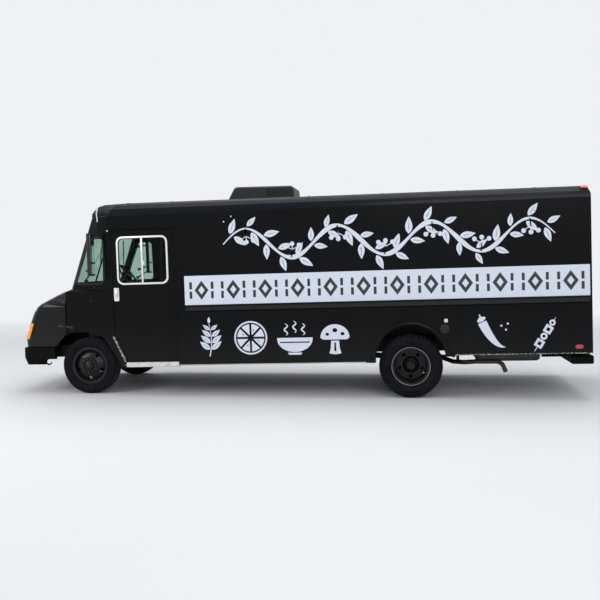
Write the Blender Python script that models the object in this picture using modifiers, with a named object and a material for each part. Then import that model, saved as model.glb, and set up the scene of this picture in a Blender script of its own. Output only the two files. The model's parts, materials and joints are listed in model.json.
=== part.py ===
"""A walk-in step van fitted out as a food truck: a ladder chassis, a hollow cab and load box with sliding
doors, rear doors and a serving hatch, a tilting nose, a steered front axle and twin rear wheels.

Metres. +X is forward, +Y is the driver's (left) side and +Z is up. The box and frame stand raked, with
their rear end high, so they are modelled in a level frame that hangs from the empty "raked_body", with
its origin on the ground just behind the front axle. Axles and wheels hang from the empty "ground", whose
origin is below the front axle.
"""

from math import asin, atan2, cos, degrees, pi, radians, sin, tan

import bmesh
import bpy
from mathutils import Matrix, Vector

# The vehicle as a whole
WHEELBASE = 4.561
AXLE_LEAD = 0.04
BODY_LIFT = 0.02
RAKE = radians(1.108)
HALF_WIDTH = 1.2
REAR_X = -6.874
EAVES_Z = 2.495
GAP = 0.0003
DOOR_GAP = 0.006

# Wheels and tyres. The turned profiles give (offset outward, radius).
RIM_SEAT_RADIUS = 0.2375
RIM_LIP = 0.0225
RIM_FLANGE_RADIUS = RIM_SEAT_RADIUS + RIM_LIP
RIM_HALF_WIDTH = 0.095
RIM_WALL = 0.009
FLANGE_THICKNESS = 0.010
HAND_HOLES = 5
HAND_HOLE_RADIUS = 0.026
FRONT_SIDEWALL = 0.167
REAR_SIDEWALL = 0.1912
FRONT_TYRE_RADIUS = RIM_SEAT_RADIUS + FRONT_SIDEWALL
REAR_TYRE_RADIUS = RIM_SEAT_RADIUS + REAR_SIDEWALL
TYRE_WIDTH = 0.226
WHEEL_STEPS = 24
LUGS = 24
LUG_DEPTH = 0.010
FRONT_WHEEL_Y = 0.945
REAR_OUTER_WHEEL_Y = 1.045
DUAL_SPACING = 0.27
SPINDLE_RADIUS = 0.04
SPINDLE_CLEARANCE = 0.003

# Front axle, steering and springs
KINGPIN_Y = 0.80
KINGPIN_HEIGHT = 0.17
TIE_ROD_X = -0.17
TIE_ROD_Z = 0.27
TIE_ROD_RADIUS = 0.016
BEAM_HALF = 0.04
BEAM_DEPTH = 0.10
BEAM_KNEE_Y = 0.62
BOSS_RADIUS = 0.045
BOSS_LIP = 0.002
KNUCKLE_LUG = 0.03
KNUCKLE_PLATE = 0.025
SPRING_HALF = 0.60
SPRING_WIDTH = 0.07
SPRING_THICKNESS = 0.035
EYE_RADIUS = 0.025
FRONT_SEAT_Z = 0.36
FRONT_EYE_Z = 0.395
REAR_EYE_Z = 0.505
REAR_SPRING_Y = 0.525
AXLE_TUBE_RADIUS = 0.055
AXLE_TUBE_HALF = 0.62
DIFFERENTIAL_RADIUS = 0.17

# Side walls of the load box, with the rub rail and the rear wheel arch
WALL = 0.04
WALL_FRONT_X = -1.335
SKIRT_Z = 0.385
REAR_SKIRT_Z = 0.468
RAIL_Z = 1.172
RAIL_HALF_HEIGHT = 0.047
RAIL_DEPTH = 0.028
RAIL_FRONT_X = -1.45
RAIL_REAR_X = -6.83
REAR_ARCH_Z = 0.412
REAR_ARCH_RADIUS = REAR_TYRE_RADIUS + 0.0373
ARCH_STEPS = 18
FLARE_WIDTH = 0.058
FLARE_DEPTH = 0.034

# Cab shell: the plan narrows from the door posts to the windscreen corners
CAB_WALL = 0.035
CAB_BACK_X = -0.62
CAB_SIDE_Y = HALF_WIDTH - 0.05
CAB_SHOULDER_X = -0.385
CAB_CORNER_Y = CAB_SIDE_Y - 0.12
CAB_CORNER_RADIUS = 0.11
CAB_BOW = 0.07
COWL_CORNER_Y = CAB_SIDE_Y - 0.08
COWL_CORNER_RADIUS = 0.02
CAB_LEAST_RADIUS = 0.006
COWL_BOW = 0.0005
SEAM_X = 0.349
COWL_Z = 1.45
SCREEN_FOOT = (0.284, 1.485)
SCREEN_HEAD = (-0.072, EAVES_Z)
FRONT_ARCH_Z = 2 * FRONT_TYRE_RADIUS + 0.059
FRONT_ARCH_TOP_X = (0.2125 - FRONT_TYRE_RADIUS, FRONT_TYRE_RADIUS - 0.0595)
FRONT_ARCH_SLOPES = (0.609, 0.952)
FRONT_ARCH_RADII = (0.33, 0.30)
FRONT_ARCH_FOOT_Z = 0.2
WINDSCREEN_HALF = CAB_CORNER_Y - 0.10
WINDSCREEN_Z = (1.57, 2.40)
SCREEN_POST_HALF = 0.02
SCREEN_INSET = 0.012
SCREEN_THICKNESS = 0.008
QUARTER_WINDOW_Z = (1.557, 2.20)
QUARTER_WINDOW_X = (-0.262, 0.195, -0.04)
QUARTER_WINDOW_RADIUS = 0.04
ENGINE_BAY_HALF = 0.38
ENGINE_BAY_Z = (0.3, 1.20)

# Sliding doors, the step below them and the rail above
DOOR_FRONT_X = -0.40
DOOR_TOP_Z = 2.30
DOOR_KNEE_Z = 0.82
DOOR_FOOT_X = -0.597
DOOR_FOOT_Z = 0.42
DOOR_THICKNESS = 0.035
DOOR_OVERLAP = 0.035
DOOR_TRAVEL = 0.78
DOOR_WINDOW = (-1.19, -0.50, 1.555, 2.18)
DOOR_WINDOW_RADIUS = 0.07
WINDOW_FRAME = 0.025
WINDOW_DIVIDER_X = -0.843
WINDOW_DIVIDER_HALF = 0.012
SILL_Z = (0.371, 0.445)
POST_END_X = -0.36

# Mirrors, on three arms each
MIRROR_X = (-0.165, -0.115)
MIRROR_Y = (HALF_WIDTH - 0.03, HALF_WIDTH + 0.15)
MIRROR_Z = (1.67, 2.26)
MIRROR_ARM_Y = MIRROR_Y[0] + 0.07
MIRROR_ARM_RADIUS = 0.011
MIRROR_ARMS = (
    # foot x, foot height, height at the mirror
    (-0.02, 1.74, 1.79), (-0.03, 2.12, 2.15), (0.01, 1.60, 1.72),
)

# Roof
ROOF_WALL = 0.04
ROOF_SHOULDER_X = (-0.40, -0.30)
ROOF_SHOULDER_STEP = 0.05
ROOF_RISES = (
    # height above the eaves, inset from the walls
    (0.0, 0.0), (0.045, 0.004), (0.087, 0.03), (0.142, 0.085), (0.167, 0.15), (0.179, 0.26), (0.19, 0.55),
)
ROOF_CROWN = ROOF_RISES[-1][0]
ROOF_FALL = 0.0045
ROOF_LEVEL_X = -3.0
AC_SIZE = (1.0, 0.70, 0.215)
AC_X = -2.405
AC_LOUVRES = 9
AC_LOUVRE = (0.018, 0.11)
AC_LOUVRE_PITCH = 0.042
AC_LOUVRE_X = -2.845

# Floor, wheel boxes and step wells
FLOOR_Z = 0.76
FLOOR_THICKNESS = 0.05
FLOOR_SILLS_X = (-6.60, -5.75, -3.40, -2.40, -1.45)
FLOOR_SILL_HALF = 0.03
WHEEL_BOX_WALL = 0.03
WHEEL_BOX_HALF = REAR_ARCH_RADIUS + WHEEL_BOX_WALL + 0.01
WHEEL_BOX_TOP = REAR_ARCH_Z + REAR_ARCH_RADIUS + WHEEL_BOX_WALL + 0.006
WHEEL_BOX_Y = 0.62
STEP_Y = 0.82
STEP_Z = 0.43
PLATE = 0.02

# Nose: its front corner in side view, section by section
NOSE_BACK_X = 0.356
NOSE_SIDE_Y = COWL_CORNER_Y
NOSE_SECTIONS = (
    # height, corner x, corner's inset from the nose's sides
    (0.668, 1.030, 0.085), (0.781, 1.039, 0.085), (1.005, 0.964, 0.085), (1.111, 0.920, 0.08),
    (1.163, 0.894, 0.08), (1.237, 0.842, 0.08), (1.280, 0.784, 0.085), (1.337, 0.671, 0.09),
    (1.394, 0.560, 0.105), (1.446, 0.452, 0.13),
)
NOSE_WALL = 0.02
NOSE_BOW = 0.04
NOSE_RADIUS = 0.13
NOSE_CROWN_Z = 1.3
FENDER_LIP = 0.045
FENDER_LIP_DEPTH = 0.014
TURN_LAMP = ((0.905, 1.000), (0.985, 0.778))
TURN_LAMP_HALF = 0.029
TURN_LAMP_DEPTH = 0.010
HOOD_HINGE = (1.082, 0.682)
HOOD_HINGE_Y = 0.45
GRILLE_HALF = NOSE_SIDE_Y - 0.17
GRILLE_Z = (0.735, 0.99)
LAMP_RADIUS = 0.09
LAMP_Y = GRILLE_HALF - 0.165
LAMP_X = (0.985, 1.045)
SLAT_HALF = LAMP_Y - LAMP_RADIUS - 0.085
SLAT_PITCH = 0.042
SLAT_MARGIN = 0.025

# Bumpers
BUMPER_X = 1.12
BUMPER_Z = (0.41, 0.655)
BUMPER_SIDE_Y = NOSE_SIDE_Y + 0.02
BUMPER_BACK_X = 0.53
BUMPER_WALL = 0.045
BUMPER_TUCK = 0.032
BUMPER_TUCK_HEIGHT = 0.10
BUMPER_CORNER = 0.10
BUMPER_FLAT_HALF = 0.40
BUMPER_CREST_RADIUS = 1.2
BUMPER_NOTCH = ((0.3, 0.3), (0.72, 0.3), (0.68, 0.49), (0.3, 0.49))
REAR_BUMPER_X = (-6.90, -6.62)
REAR_BUMPER_Z = (0.32, 0.43)
REAR_BUMPER_Y = HALF_WIDTH - 0.07
REAR_BUMPER_EDGE = 0.012

# Rear doors
REAR_FRAME = 0.045
REAR_OPENING_Y = 0.76
REAR_OPENING_Z = (0.775, 2.30)
REAR_DOOR = 0.035
REAR_WINDOW = (0.20, 0.60, 1.45, 2.05)
REAR_WINDOW_RADIUS = 0.05
REAR_HINGE_HEIGHTS = (0.98, 1.657, 2.12)
REAR_GLASS_X = (REAR_X + 0.012, REAR_X + 0.018)
TAIL_LAMP_Y = HALF_WIDTH - 0.22
TAIL_LAMP_HEIGHTS = (0.89, 1.02, 1.15)
TAIL_LAMP_RADIUS = 0.052
TAIL_LAMP_DEPTH = 0.022
HINGE_RADIUS = 0.014
HINGE_LENGTH = 0.07
HINGE_SIDES = 8
HINGE_STAND_OFF = 0.002

# Serving hatch and shelf, on the curb side
HATCH_X = (-4.40, -2.30)
HATCH_Z = (1.30, 2.16)
HATCH_RIM = (0.05, 0.009)
HATCH_HINGE = (-(HALF_WIDTH + HINGE_RADIUS + HINGE_STAND_OFF), HATCH_Z[1] + 0.012)
LEAF_HINGES_X = (HATCH_X[0] + 0.3, HATCH_X[1] - 0.3)
SHELF_Z = 1.262
SHELF_DEPTH = 0.34
SHELF_THICKNESS = 0.022
SHELF_HINGE = (-(HALF_WIDTH + RAIL_DEPTH + HINGE_RADIUS + 0.006), SHELF_Z)

# Chassis
RAIL_Y = 0.43
FRAME_RAIL = (0.07, 0.18)
FRAME_BOTTOM_Z = 0.45
FRAME_TOP_Z = FRAME_BOTTOM_Z + FRAME_RAIL[1]
FRAME_X = (-6.60, 0.98)
CROSSMEMBER_X = (-6.50, -5.35, -3.60, -2.60, -1.55)
CROSSMEMBER_HALF = 0.035
CROSSMEMBER_DEPTH = (0.085, 0.012)
FRONT_CROSSMEMBER_X = (0.86, 0.93)
HANGER_HALF = 0.035

# Driveline, exhaust and fuel tank, each a few (x, y, z) spans or points in the raked frame
ENGINE = ((-0.42, 0.60), (-0.30, 0.30), (0.49, 1.14))
GEARBOX = ((-1.20, -0.40), (-0.17, 0.17), (0.46, FLOOR_Z - FLOOR_THICKNESS - 0.01))
RADIATOR = ((0.68, 0.75), (-0.40, 0.40), (0.66, 1.12))
FAN_HUB_Z = 0.85
FAN_HUB_RADIUS = 0.07
ENGINE_MOUNT = ((0.20, 0.30), (0.52, 0.58))
SHAFT_RADIUS = 0.042
SHAFT_Z = 0.50
SHAFT_BEARING = (-2.60, 0.475)
EXHAUST_RADIUS = 0.032
EXHAUST_ROUTE = (
    (0.10, 0.352, 0.54), (-0.30, 0.345, 0.40), (-1.40, 0.27, 0.39), (-2.00, 0.25, 0.40), (-2.90, 0.25, 0.40),
    (-3.70, 0.27, 0.46), (-4.10, 0.28, 0.495), (-4.80, 0.28, 0.480), (-4.98, 0.36, 0.337), (-5.12, 0.62, 0.312),
    (-5.26, 0.84, 0.330), (-5.40, 0.90, 0.345), (-5.70, 0.90, 0.34), (-5.76, 0.90, 0.30), (-5.80, 0.90, 0.20),
)
MUFFLER = ((-2.95, -2.05), (0.15, 0.36), (0.325, 0.475))
EXHAUST_STRAP = ((-5.20, -5.17), (0.44, 0.66))
TANK = ((-6.35, -5.45), (-0.36, 0.36), (0.27, 0.60))
TANK_STRAPS_X = (-6.15, -5.65)
TANK_STRAP_Z = (0.50, 0.54)

# Cab and kitchen interior
DASH_TOP_Z = 1.40
DASH_DEPTH = 0.20
DASH_BACK_X = -0.06
DASH_HALF = CAB_CORNER_Y - 0.11
STEERING_Y = 0.45
STEERING_HUB = (-0.385, 1.638)
STEERING_FOOT = (0.05, 1.33)
STEERING_TILT = 54.7
STEERING_WHEEL_RADIUS = 0.205
STEERING_RIM_RADIUS = 0.014
SEAT_X = (-1.08, -0.64)
SEAT_Y = (0.22, 0.70)
SEAT_Z = (1.12, 1.26)
SEAT_BACK = 0.71
SEAT_RECLINE = 10
COVER_HALF = 0.36
COVER_TOP_Z = 1.18
COVER_WALL = 0.025
TOE_BOARD = 0.025
COUNTER_X = (-4.55, -2.25)
COUNTER_EDGE_Y = 0.62
COUNTER_TOP_Z = (1.235, 1.275)
COUNTER_BASE_X = (-3.90, -2.40)
BENCH_X = (-6.45, -2.45)
BENCH_EDGE_Y = 0.56
BENCH_TOP_Z = (1.60, 1.64)
BENCH_BASE_X = (-3.92, -2.50)
CABINET_SETBACK = 0.04
CABINET_FOOT_Z = 1.0


def clear_scene():
    for obj in list(bpy.data.objects):
        bpy.data.objects.remove(obj, do_unlink=True)


def new_collection(name):
    collection = bpy.data.collections.new(name)
    bpy.context.scene.collection.children.link(collection)
    return collection


def material(name, colour, roughness, metallic=0.0, alpha=1.0):
    made = bpy.data.materials.new(name)
    made.use_nodes = True
    shader = made.node_tree.nodes["Principled BSDF"]
    shader.inputs["Base Color"].default_value = (*colour, 1.0)
    shader.inputs["Roughness"].default_value = roughness
    shader.inputs["Metallic"].default_value = metallic
    shader.inputs["Alpha"].default_value = alpha
    made.diffuse_color = (*colour, alpha)
    return made


clear_scene()
PARTS = new_collection("food_truck")

MATERIALS = {
    name: material(name, *values)
    for name, values in {
        "black_paint": ((0.012, 0.012, 0.014), 0.25),
        "black_plastic": ((0.02, 0.02, 0.022), 0.6),
        "roof_paint": ((0.05, 0.05, 0.055), 0.35),
        "chassis_paint": ((0.025, 0.025, 0.025), 0.7),
        "rubber": ((0.02, 0.02, 0.02), 0.85),
        "aluminium": ((0.75, 0.75, 0.73), 0.35, 1.0),
        "steel": ((0.55, 0.56, 0.57), 0.3, 1.0),
        "cast_iron": ((0.12, 0.11, 0.10), 0.75, 0.6),
        "glass": ((0.55, 0.70, 0.62), 0.05, 0.0, 0.35),
        "interior": ((0.55, 0.55, 0.54), 0.6),
        "seat_vinyl": ((0.06, 0.06, 0.065), 0.55),
    }.items()
}


# Frames: a point of the ground frame as the raked body sees it


def to_body(x, z):
    x, z = x + AXLE_LEAD, z - BODY_LIFT
    return x * cos(RAKE) - z * sin(RAKE), x * sin(RAKE) + z * cos(RAKE)


REAR_WHEEL_X, REAR_WHEEL_Z = to_body(-WHEELBASE, REAR_TYRE_RADIUS)
FRONT_END_X = BUMPER_X * cos(RAKE) + BUMPER_Z[1] * sin(RAKE)
REAR_END_X = REAR_BUMPER_X[0] * cos(RAKE) + (REAR_BUMPER_Z[0] + REAR_BUMPER_EDGE) * sin(RAKE)
REAR_HINGE_X = REAR_X - HINGE_RADIUS - HINGE_STAND_OFF
ORIGIN_X = -(FRONT_END_X + REAR_END_X) / 2


def empty(name, location, parent=None, turn=0.0):
    made = bpy.data.objects.new(name, None)
    made.empty_display_size = 0.2
    made.location = location
    made.rotation_euler[1] = turn
    made.parent = parent
    PARTS.objects.link(made)
    return made


TRUCK = empty("truck", (ORIGIN_X, 0, 0))
GROUND = empty("ground", (AXLE_LEAD, 0, 0), TRUCK)
BODY = empty("raked_body", (0, 0, BODY_LIFT), TRUCK, RAKE)


# Modelling tools


def object_of(bm, name="tool"):
    """An object whose faces all point out, from a finished bmesh."""
    bmesh.ops.remove_doubles(bm, verts=bm.verts, dist=1e-5)
    bmesh.ops.delete(bm, geom=[edge for edge in bm.edges if not edge.link_faces], context="EDGES")
    bmesh.ops.recalc_face_normals(bm, faces=bm.faces)
    mesh = bpy.data.meshes.new(name)
    bm.to_mesh(mesh)
    bm.free()
    made = bpy.data.objects.new(name, mesh)
    PARTS.objects.link(made)
    return made


def baked(obj):
    """The object as its modifiers or curve settings make it, as a plain mesh in place."""
    bpy.context.view_layer.update()
    graph = bpy.context.evaluated_depsgraph_get()
    mesh = bpy.data.meshes.new_from_object(obj.evaluated_get(graph))
    mesh.transform(obj.matrix_world)
    name = obj.name
    bpy.data.objects.remove(obj, do_unlink=True)
    bm = bmesh.new()
    bm.from_mesh(mesh)
    bpy.data.meshes.remove(mesh)
    return object_of(bm, name)


def box(x, y, z):
    """A box from its three spans."""
    bm = bmesh.new()
    bmesh.ops.create_cube(bm, size=1)
    spans = [tuple(sorted(span)) for span in (x, y, z)]
    bmesh.ops.scale(bm, vec=[hi - lo for lo, hi in spans], verts=bm.verts)
    bmesh.ops.translate(bm, vec=[(hi + lo) / 2 for lo, hi in spans], verts=bm.verts)
    return object_of(bm)


def rounded(obj, width, segments=2):
    bevel = obj.modifiers.new("edge", "BEVEL")
    bevel.width = width
    bevel.segments = segments
    bevel.limit_method = "ANGLE"
    bevel.angle_limit = radians(40)
    return baked(obj)


def cylinder(start, end, radius, segments=12, end_radius=None):
    bm = bmesh.new()
    axis = Vector(end) - Vector(start)
    bmesh.ops.create_cone(
        bm, cap_ends=True, segments=segments, depth=axis.length,
        radius1=radius, radius2=radius if end_radius is None else end_radius,
    )
    turn = axis.to_track_quat("Z", "Y").to_matrix().to_4x4()
    middle = Matrix.Translation((Vector(start) + Vector(end)) / 2)
    bmesh.ops.transform(bm, matrix=middle @ turn, verts=bm.verts)
    return object_of(bm)


PLANES = {
    # outline axes first, then the axis along which it is extruded
    "X": Matrix(((0, 0, 1, 0), (1, 0, 0, 0), (0, 1, 0, 0), (0, 0, 0, 1))),
    "Y": Matrix(((1, 0, 0, 0), (0, 0, 1, 0), (0, 1, 0, 0), (0, 0, 0, 1))),
    "Z": Matrix.Identity(4),
}


def plate(outline, along, start, end, holes=()):
    """A flat outline with its holes, extruded along an axis. Outlines are (y, z), (x, z) or (x, y)."""
    curve = bpy.data.curves.new("outline", "CURVE")
    curve.dimensions = "2D"
    curve.fill_mode = "BOTH"
    curve.extrude = abs(end - start) / 2
    for points in (outline, *holes):
        spline = curve.splines.new("POLY")
        spline.points.add(len(points) - 1)
        for point, (u, v) in zip(spline.points, points):
            point.co = (u, v, 0, 1)
        spline.use_cyclic_u = True
    made = bpy.data.objects.new("plate", curve)
    PARTS.objects.link(made)
    made.matrix_world = PLANES[along] @ Matrix.Translation((0, 0, (start + end) / 2))
    made = baked(made)
    bm = bmesh.new()
    bm.from_mesh(made.data)
    bmesh.ops.dissolve_limit(bm, angle_limit=radians(0.1), verts=bm.verts, edges=bm.edges)
    bm.to_mesh(made.data)
    bm.free()
    return made


def tube(points, radius, sides=12):
    """A round bar or pipe along straight runs between points."""
    curve = bpy.data.curves.new("route", "CURVE")
    curve.dimensions = "3D"
    curve.bevel_depth = radius
    curve.bevel_resolution = sides // 4 - 1
    curve.use_fill_caps = True
    spline = curve.splines.new("POLY")
    spline.points.add(len(points) - 1)
    for point, place in zip(spline.points, points):
        point.co = (*place, 1)
    made = bpy.data.objects.new("tube", curve)
    PARTS.objects.link(made)
    return baked(made)


def turned(profile, centre, side=1, steps=WHEEL_STEPS):
    """A closed profile of (offset outward, radius) turned about a cross axis through centre."""
    mesh = bpy.data.meshes.new("profile")
    count = len(profile)
    mesh.from_pydata(
        [(radius, 0, offset) for offset, radius in profile], [(i, (i + 1) % count) for i in range(count)], []
    )
    made = bpy.data.objects.new("turned", mesh)
    PARTS.objects.link(made)
    screw = made.modifiers.new("turn", "SCREW")
    screw.steps = steps
    screw.render_steps = steps
    screw.use_merge_vertices = True
    screw.merge_threshold = 0.0001
    made.matrix_world = Matrix.Translation(centre) @ Matrix.Rotation(-side * pi / 2, 4, "X")
    return baked(made)


def loft(rings):
    """A solid through closed rings with equal numbers of points."""
    bm = bmesh.new()
    loops = [[bm.verts.new(point) for point in ring] for ring in rings]
    count = len(rings[0])
    for lower, upper in zip(loops, loops[1:]):
        for i in range(count):
            j = (i + 1) % count
            bm.faces.new((lower[i], lower[j], upper[j], upper[i]))
    bm.faces.new(loops[0])
    bm.faces.new(loops[-1])
    bmesh.ops.triangulate(bm, faces=[face for face in bm.faces if len(face.verts) == 4])
    return object_of(bm)


def combined(base, others, operation):
    for other in others:
        modifier = base.modifiers.new("combine", "BOOLEAN")
        modifier.operation = operation
        modifier.solver = "EXACT"
        modifier.object = other
        base = baked(base)
        bpy.data.objects.remove(other, do_unlink=True)
    return base


def joined(base, *others):
    return combined(base, others, "UNION")


def cut(base, *others):
    return combined(base, others, "DIFFERENCE")


def common(base, *others):
    return combined(base, others, "INTERSECT")


def moved(obj, matrix):
    obj.data.transform(matrix)
    if matrix.determinant() < 0:
        obj.data.flip_normals()
    return obj


def fillet(corners, segments=4):
    """A closed outline through (u, v, radius) corners, with each round one as an arc."""
    outline = []
    count = len(corners)
    for i, (u, v, radius) in enumerate(corners):
        point = Vector((u, v))
        if not radius:
            outline.append((u, v))
            continue
        before = (Vector(corners[i - 1][:2]) - point).normalized()
        after = (Vector(corners[(i + 1) % count][:2]) - point).normalized()
        half = before.angle(after) / 2
        centre = point + (before + after).normalized() * (radius / sin(half))
        start = point + before * (radius / tan(half)) - centre
        end = point + after * (radius / tan(half)) - centre
        first = atan2(start.y, start.x)
        turn = (atan2(end.y, end.x) - first + pi) % (2 * pi) - pi
        for step in range(segments + 1):
            angle = first + turn * step / segments
            outline.append((centre.x + radius * cos(angle), centre.y + radius * sin(angle)))
    return outline


def arc(centre, radius, start, end, segments):
    """Points of an arc from start to end, in degrees."""
    angles = [radians(start + (end - start) * step / segments) for step in range(segments + 1)]
    return [(centre[0] + radius * cos(a), centre[1] + radius * sin(a)) for a in angles]


def window(x0, x1, z0, z1, radius):
    return fillet([(x0, z0, radius), (x1, z0, radius), (x1, z1, radius), (x0, z1, radius)])


def finish(obj, name, finish_name, parent, smooth=35):
    """Names the solid, gives it its material and hangs it from a frame or from a joint's empty."""
    obj.name = name
    obj.data.name = name
    obj.data.materials.clear()
    obj.data.materials.append(MATERIALS[finish_name])
    obj.data.shade_smooth()
    obj.data.set_sharp_from_angle(angle=radians(smooth))
    frame = parent if parent in (BODY, GROUND) else parent.parent
    pivot = Vector() if parent is frame else Vector(parent.location)
    while frame not in (BODY, GROUND):
        pivot += Vector(frame.location)
        frame = frame.parent
    obj.data.transform(Matrix.Translation(-pivot))
    obj.parent = parent
    return obj


# Running gear: chassis frame, axles and springs


def spring_eyes(axle_x, axle_z, half):
    """The body-frame places of a leaf spring's two eyes, front then rear."""
    return [to_body(axle_x + end * half, axle_z) for end in (1, -1)]


def build_frame():
    width = FRAME_RAIL[0]
    top = FRAME_TOP_Z
    rails = [
        box(FRAME_X, (side * RAIL_Y - width / 2, side * RAIL_Y + width / 2), (FRAME_BOTTOM_Z, top))
        for side in (1, -1)
    ]
    frame = joined(*rails[:1], box(FRONT_CROSSMEMBER_X, (-RAIL_Y, RAIL_Y), (FRAME_BOTTOM_Z + 0.02, top - 0.06)))
    frame = joined(frame, rails[1])
    for x in CROSSMEMBER_X:
        frame = joined(
            frame, box((x - CROSSMEMBER_HALF, x + CROSSMEMBER_HALF), (-RAIL_Y, RAIL_Y),
                       (top - CROSSMEMBER_DEPTH[0], top - CROSSMEMBER_DEPTH[1])),
        )
    hangers = (
        # axle x, eye height, spring y, bracket's half width and top
        (0.0, FRONT_EYE_Z, RAIL_Y, width / 2 - 0.004, FRAME_BOTTOM_Z + 0.01),
        (-WHEELBASE, REAR_EYE_Z, REAR_SPRING_Y, REAR_SPRING_Y - RAIL_Y - width / 2 + 0.01, top - 0.02),
    )
    for axle_x, eye_z, y, half, bracket_top in hangers:
        for eye_x, eye_body_z in spring_eyes(axle_x, eye_z, SPRING_HALF):
            for side in (1, -1):
                foot = eye_body_z + EYE_RADIUS + GAP
                frame = joined(
                    frame,
                    box((eye_x - HANGER_HALF, eye_x + HANGER_HALF), (side * (y - half), side * (y + half)),
                        (foot, bracket_top)),
                )
    finish(frame, "chassis_frame", "chassis_paint", BODY)


def leaf_spring(axle_x, eye_z, seat_z, y):
    """One leaf pack with its eyes, sagging from the eyes to its seat on the axle."""
    sag = eye_z - seat_z - SPRING_THICKNESS / 2
    stations = [-1 + 0.25 * i for i in range(9)]
    upper = [(axle_x + s * SPRING_HALF, eye_z - sag * (1 - s * s) + SPRING_THICKNESS / 2 * (1 - 0.4 * abs(s)))
             for s in stations]
    lower = [(axle_x + s * SPRING_HALF, eye_z - sag * (1 - s * s) - SPRING_THICKNESS / 2 * (1 - 0.4 * abs(s)))
             for s in reversed(stations)]
    half = SPRING_WIDTH / 2
    spring = plate(upper + lower, "Y", y - half, y + half)
    for end in (1, -1):
        x = axle_x + end * SPRING_HALF
        spring = joined(spring, cylinder((x, y - half + 0.001, eye_z), (x, y + half - 0.001, eye_z), EYE_RADIUS, 8))
    return spring


def cross_bar(axis, start, end, radius, segments=12):
    """A round bar along Y, about an (x, z) axis."""
    return cylinder((axis[0], start, axis[1]), (axis[0], end, axis[1]), radius, segments)


def build_front_axle():
    low, high = FRONT_TYRE_RADIUS - KINGPIN_HEIGHT / 2, FRONT_TYRE_RADIUS + KINGPIN_HEIGHT / 2
    end, knee = KINGPIN_Y - BOSS_RADIUS - 0.002, BEAM_KNEE_Y
    half = [
        (knee, FRONT_SEAT_Z - BEAM_DEPTH), (end, low), (KINGPIN_Y, low - 0.001), (KINGPIN_Y, high + 0.001), (end, high),
        (knee, FRONT_SEAT_Z),
    ]
    outline = half + [(-y, z) for y, z in reversed(half)]
    axle = plate(outline, "X", -BEAM_HALF, BEAM_HALF)
    for side in (1, -1):
        y = side * KINGPIN_Y
        axle = joined(axle, cylinder((0, y, low - BOSS_LIP), (0, y, high + BOSS_LIP), BOSS_RADIUS, 16))
        axle = joined(axle, leaf_spring(0.0, FRONT_EYE_Z, FRONT_SEAT_Z - 0.004, side * RAIL_Y))
    finish(axle, "front_axle", "cast_iron", GROUND)


def build_rear_axle():
    """A tube with the differential's bowl in its middle, a spindle at each end and the rear springs on top."""
    axis = (-WHEELBASE, REAR_TYRE_RADIUS)
    reach = REAR_OUTER_WHEEL_Y + REAR_HUB_END - SPINDLE_CLEARANCE
    axle = cross_bar(axis, -AXLE_TUBE_HALF, AXLE_TUBE_HALF, AXLE_TUBE_RADIUS)
    shares = ((0.0, 1.0), (0.41, 0.88), (0.68, 0.59), (0.76, 0.26))
    bowl = [(DIFFERENTIAL_RADIUS * y, DIFFERENTIAL_RADIUS * r) for y, r in shares]
    profile = [(-y, r) for y, r in reversed(bowl[1:])] + bowl
    profile += [(bowl[-1][0], 0.0), (-bowl[-1][0], 0.0)]
    axle = joined(axle, turned(profile, (-WHEELBASE, 0, REAR_TYRE_RADIUS), 1, 16))
    for side in (1, -1):
        spindle = cross_bar(axis, side * (AXLE_TUBE_HALF - 0.02), side * reach, SPINDLE_RADIUS)
        seat = REAR_TYRE_RADIUS + AXLE_TUBE_RADIUS - 0.004
        axle = joined(axle, spindle, leaf_spring(-WHEELBASE, REAR_EYE_Z, seat, side * REAR_SPRING_Y))
    finish(axle, "rear_axle", "cast_iron", GROUND)


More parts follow.
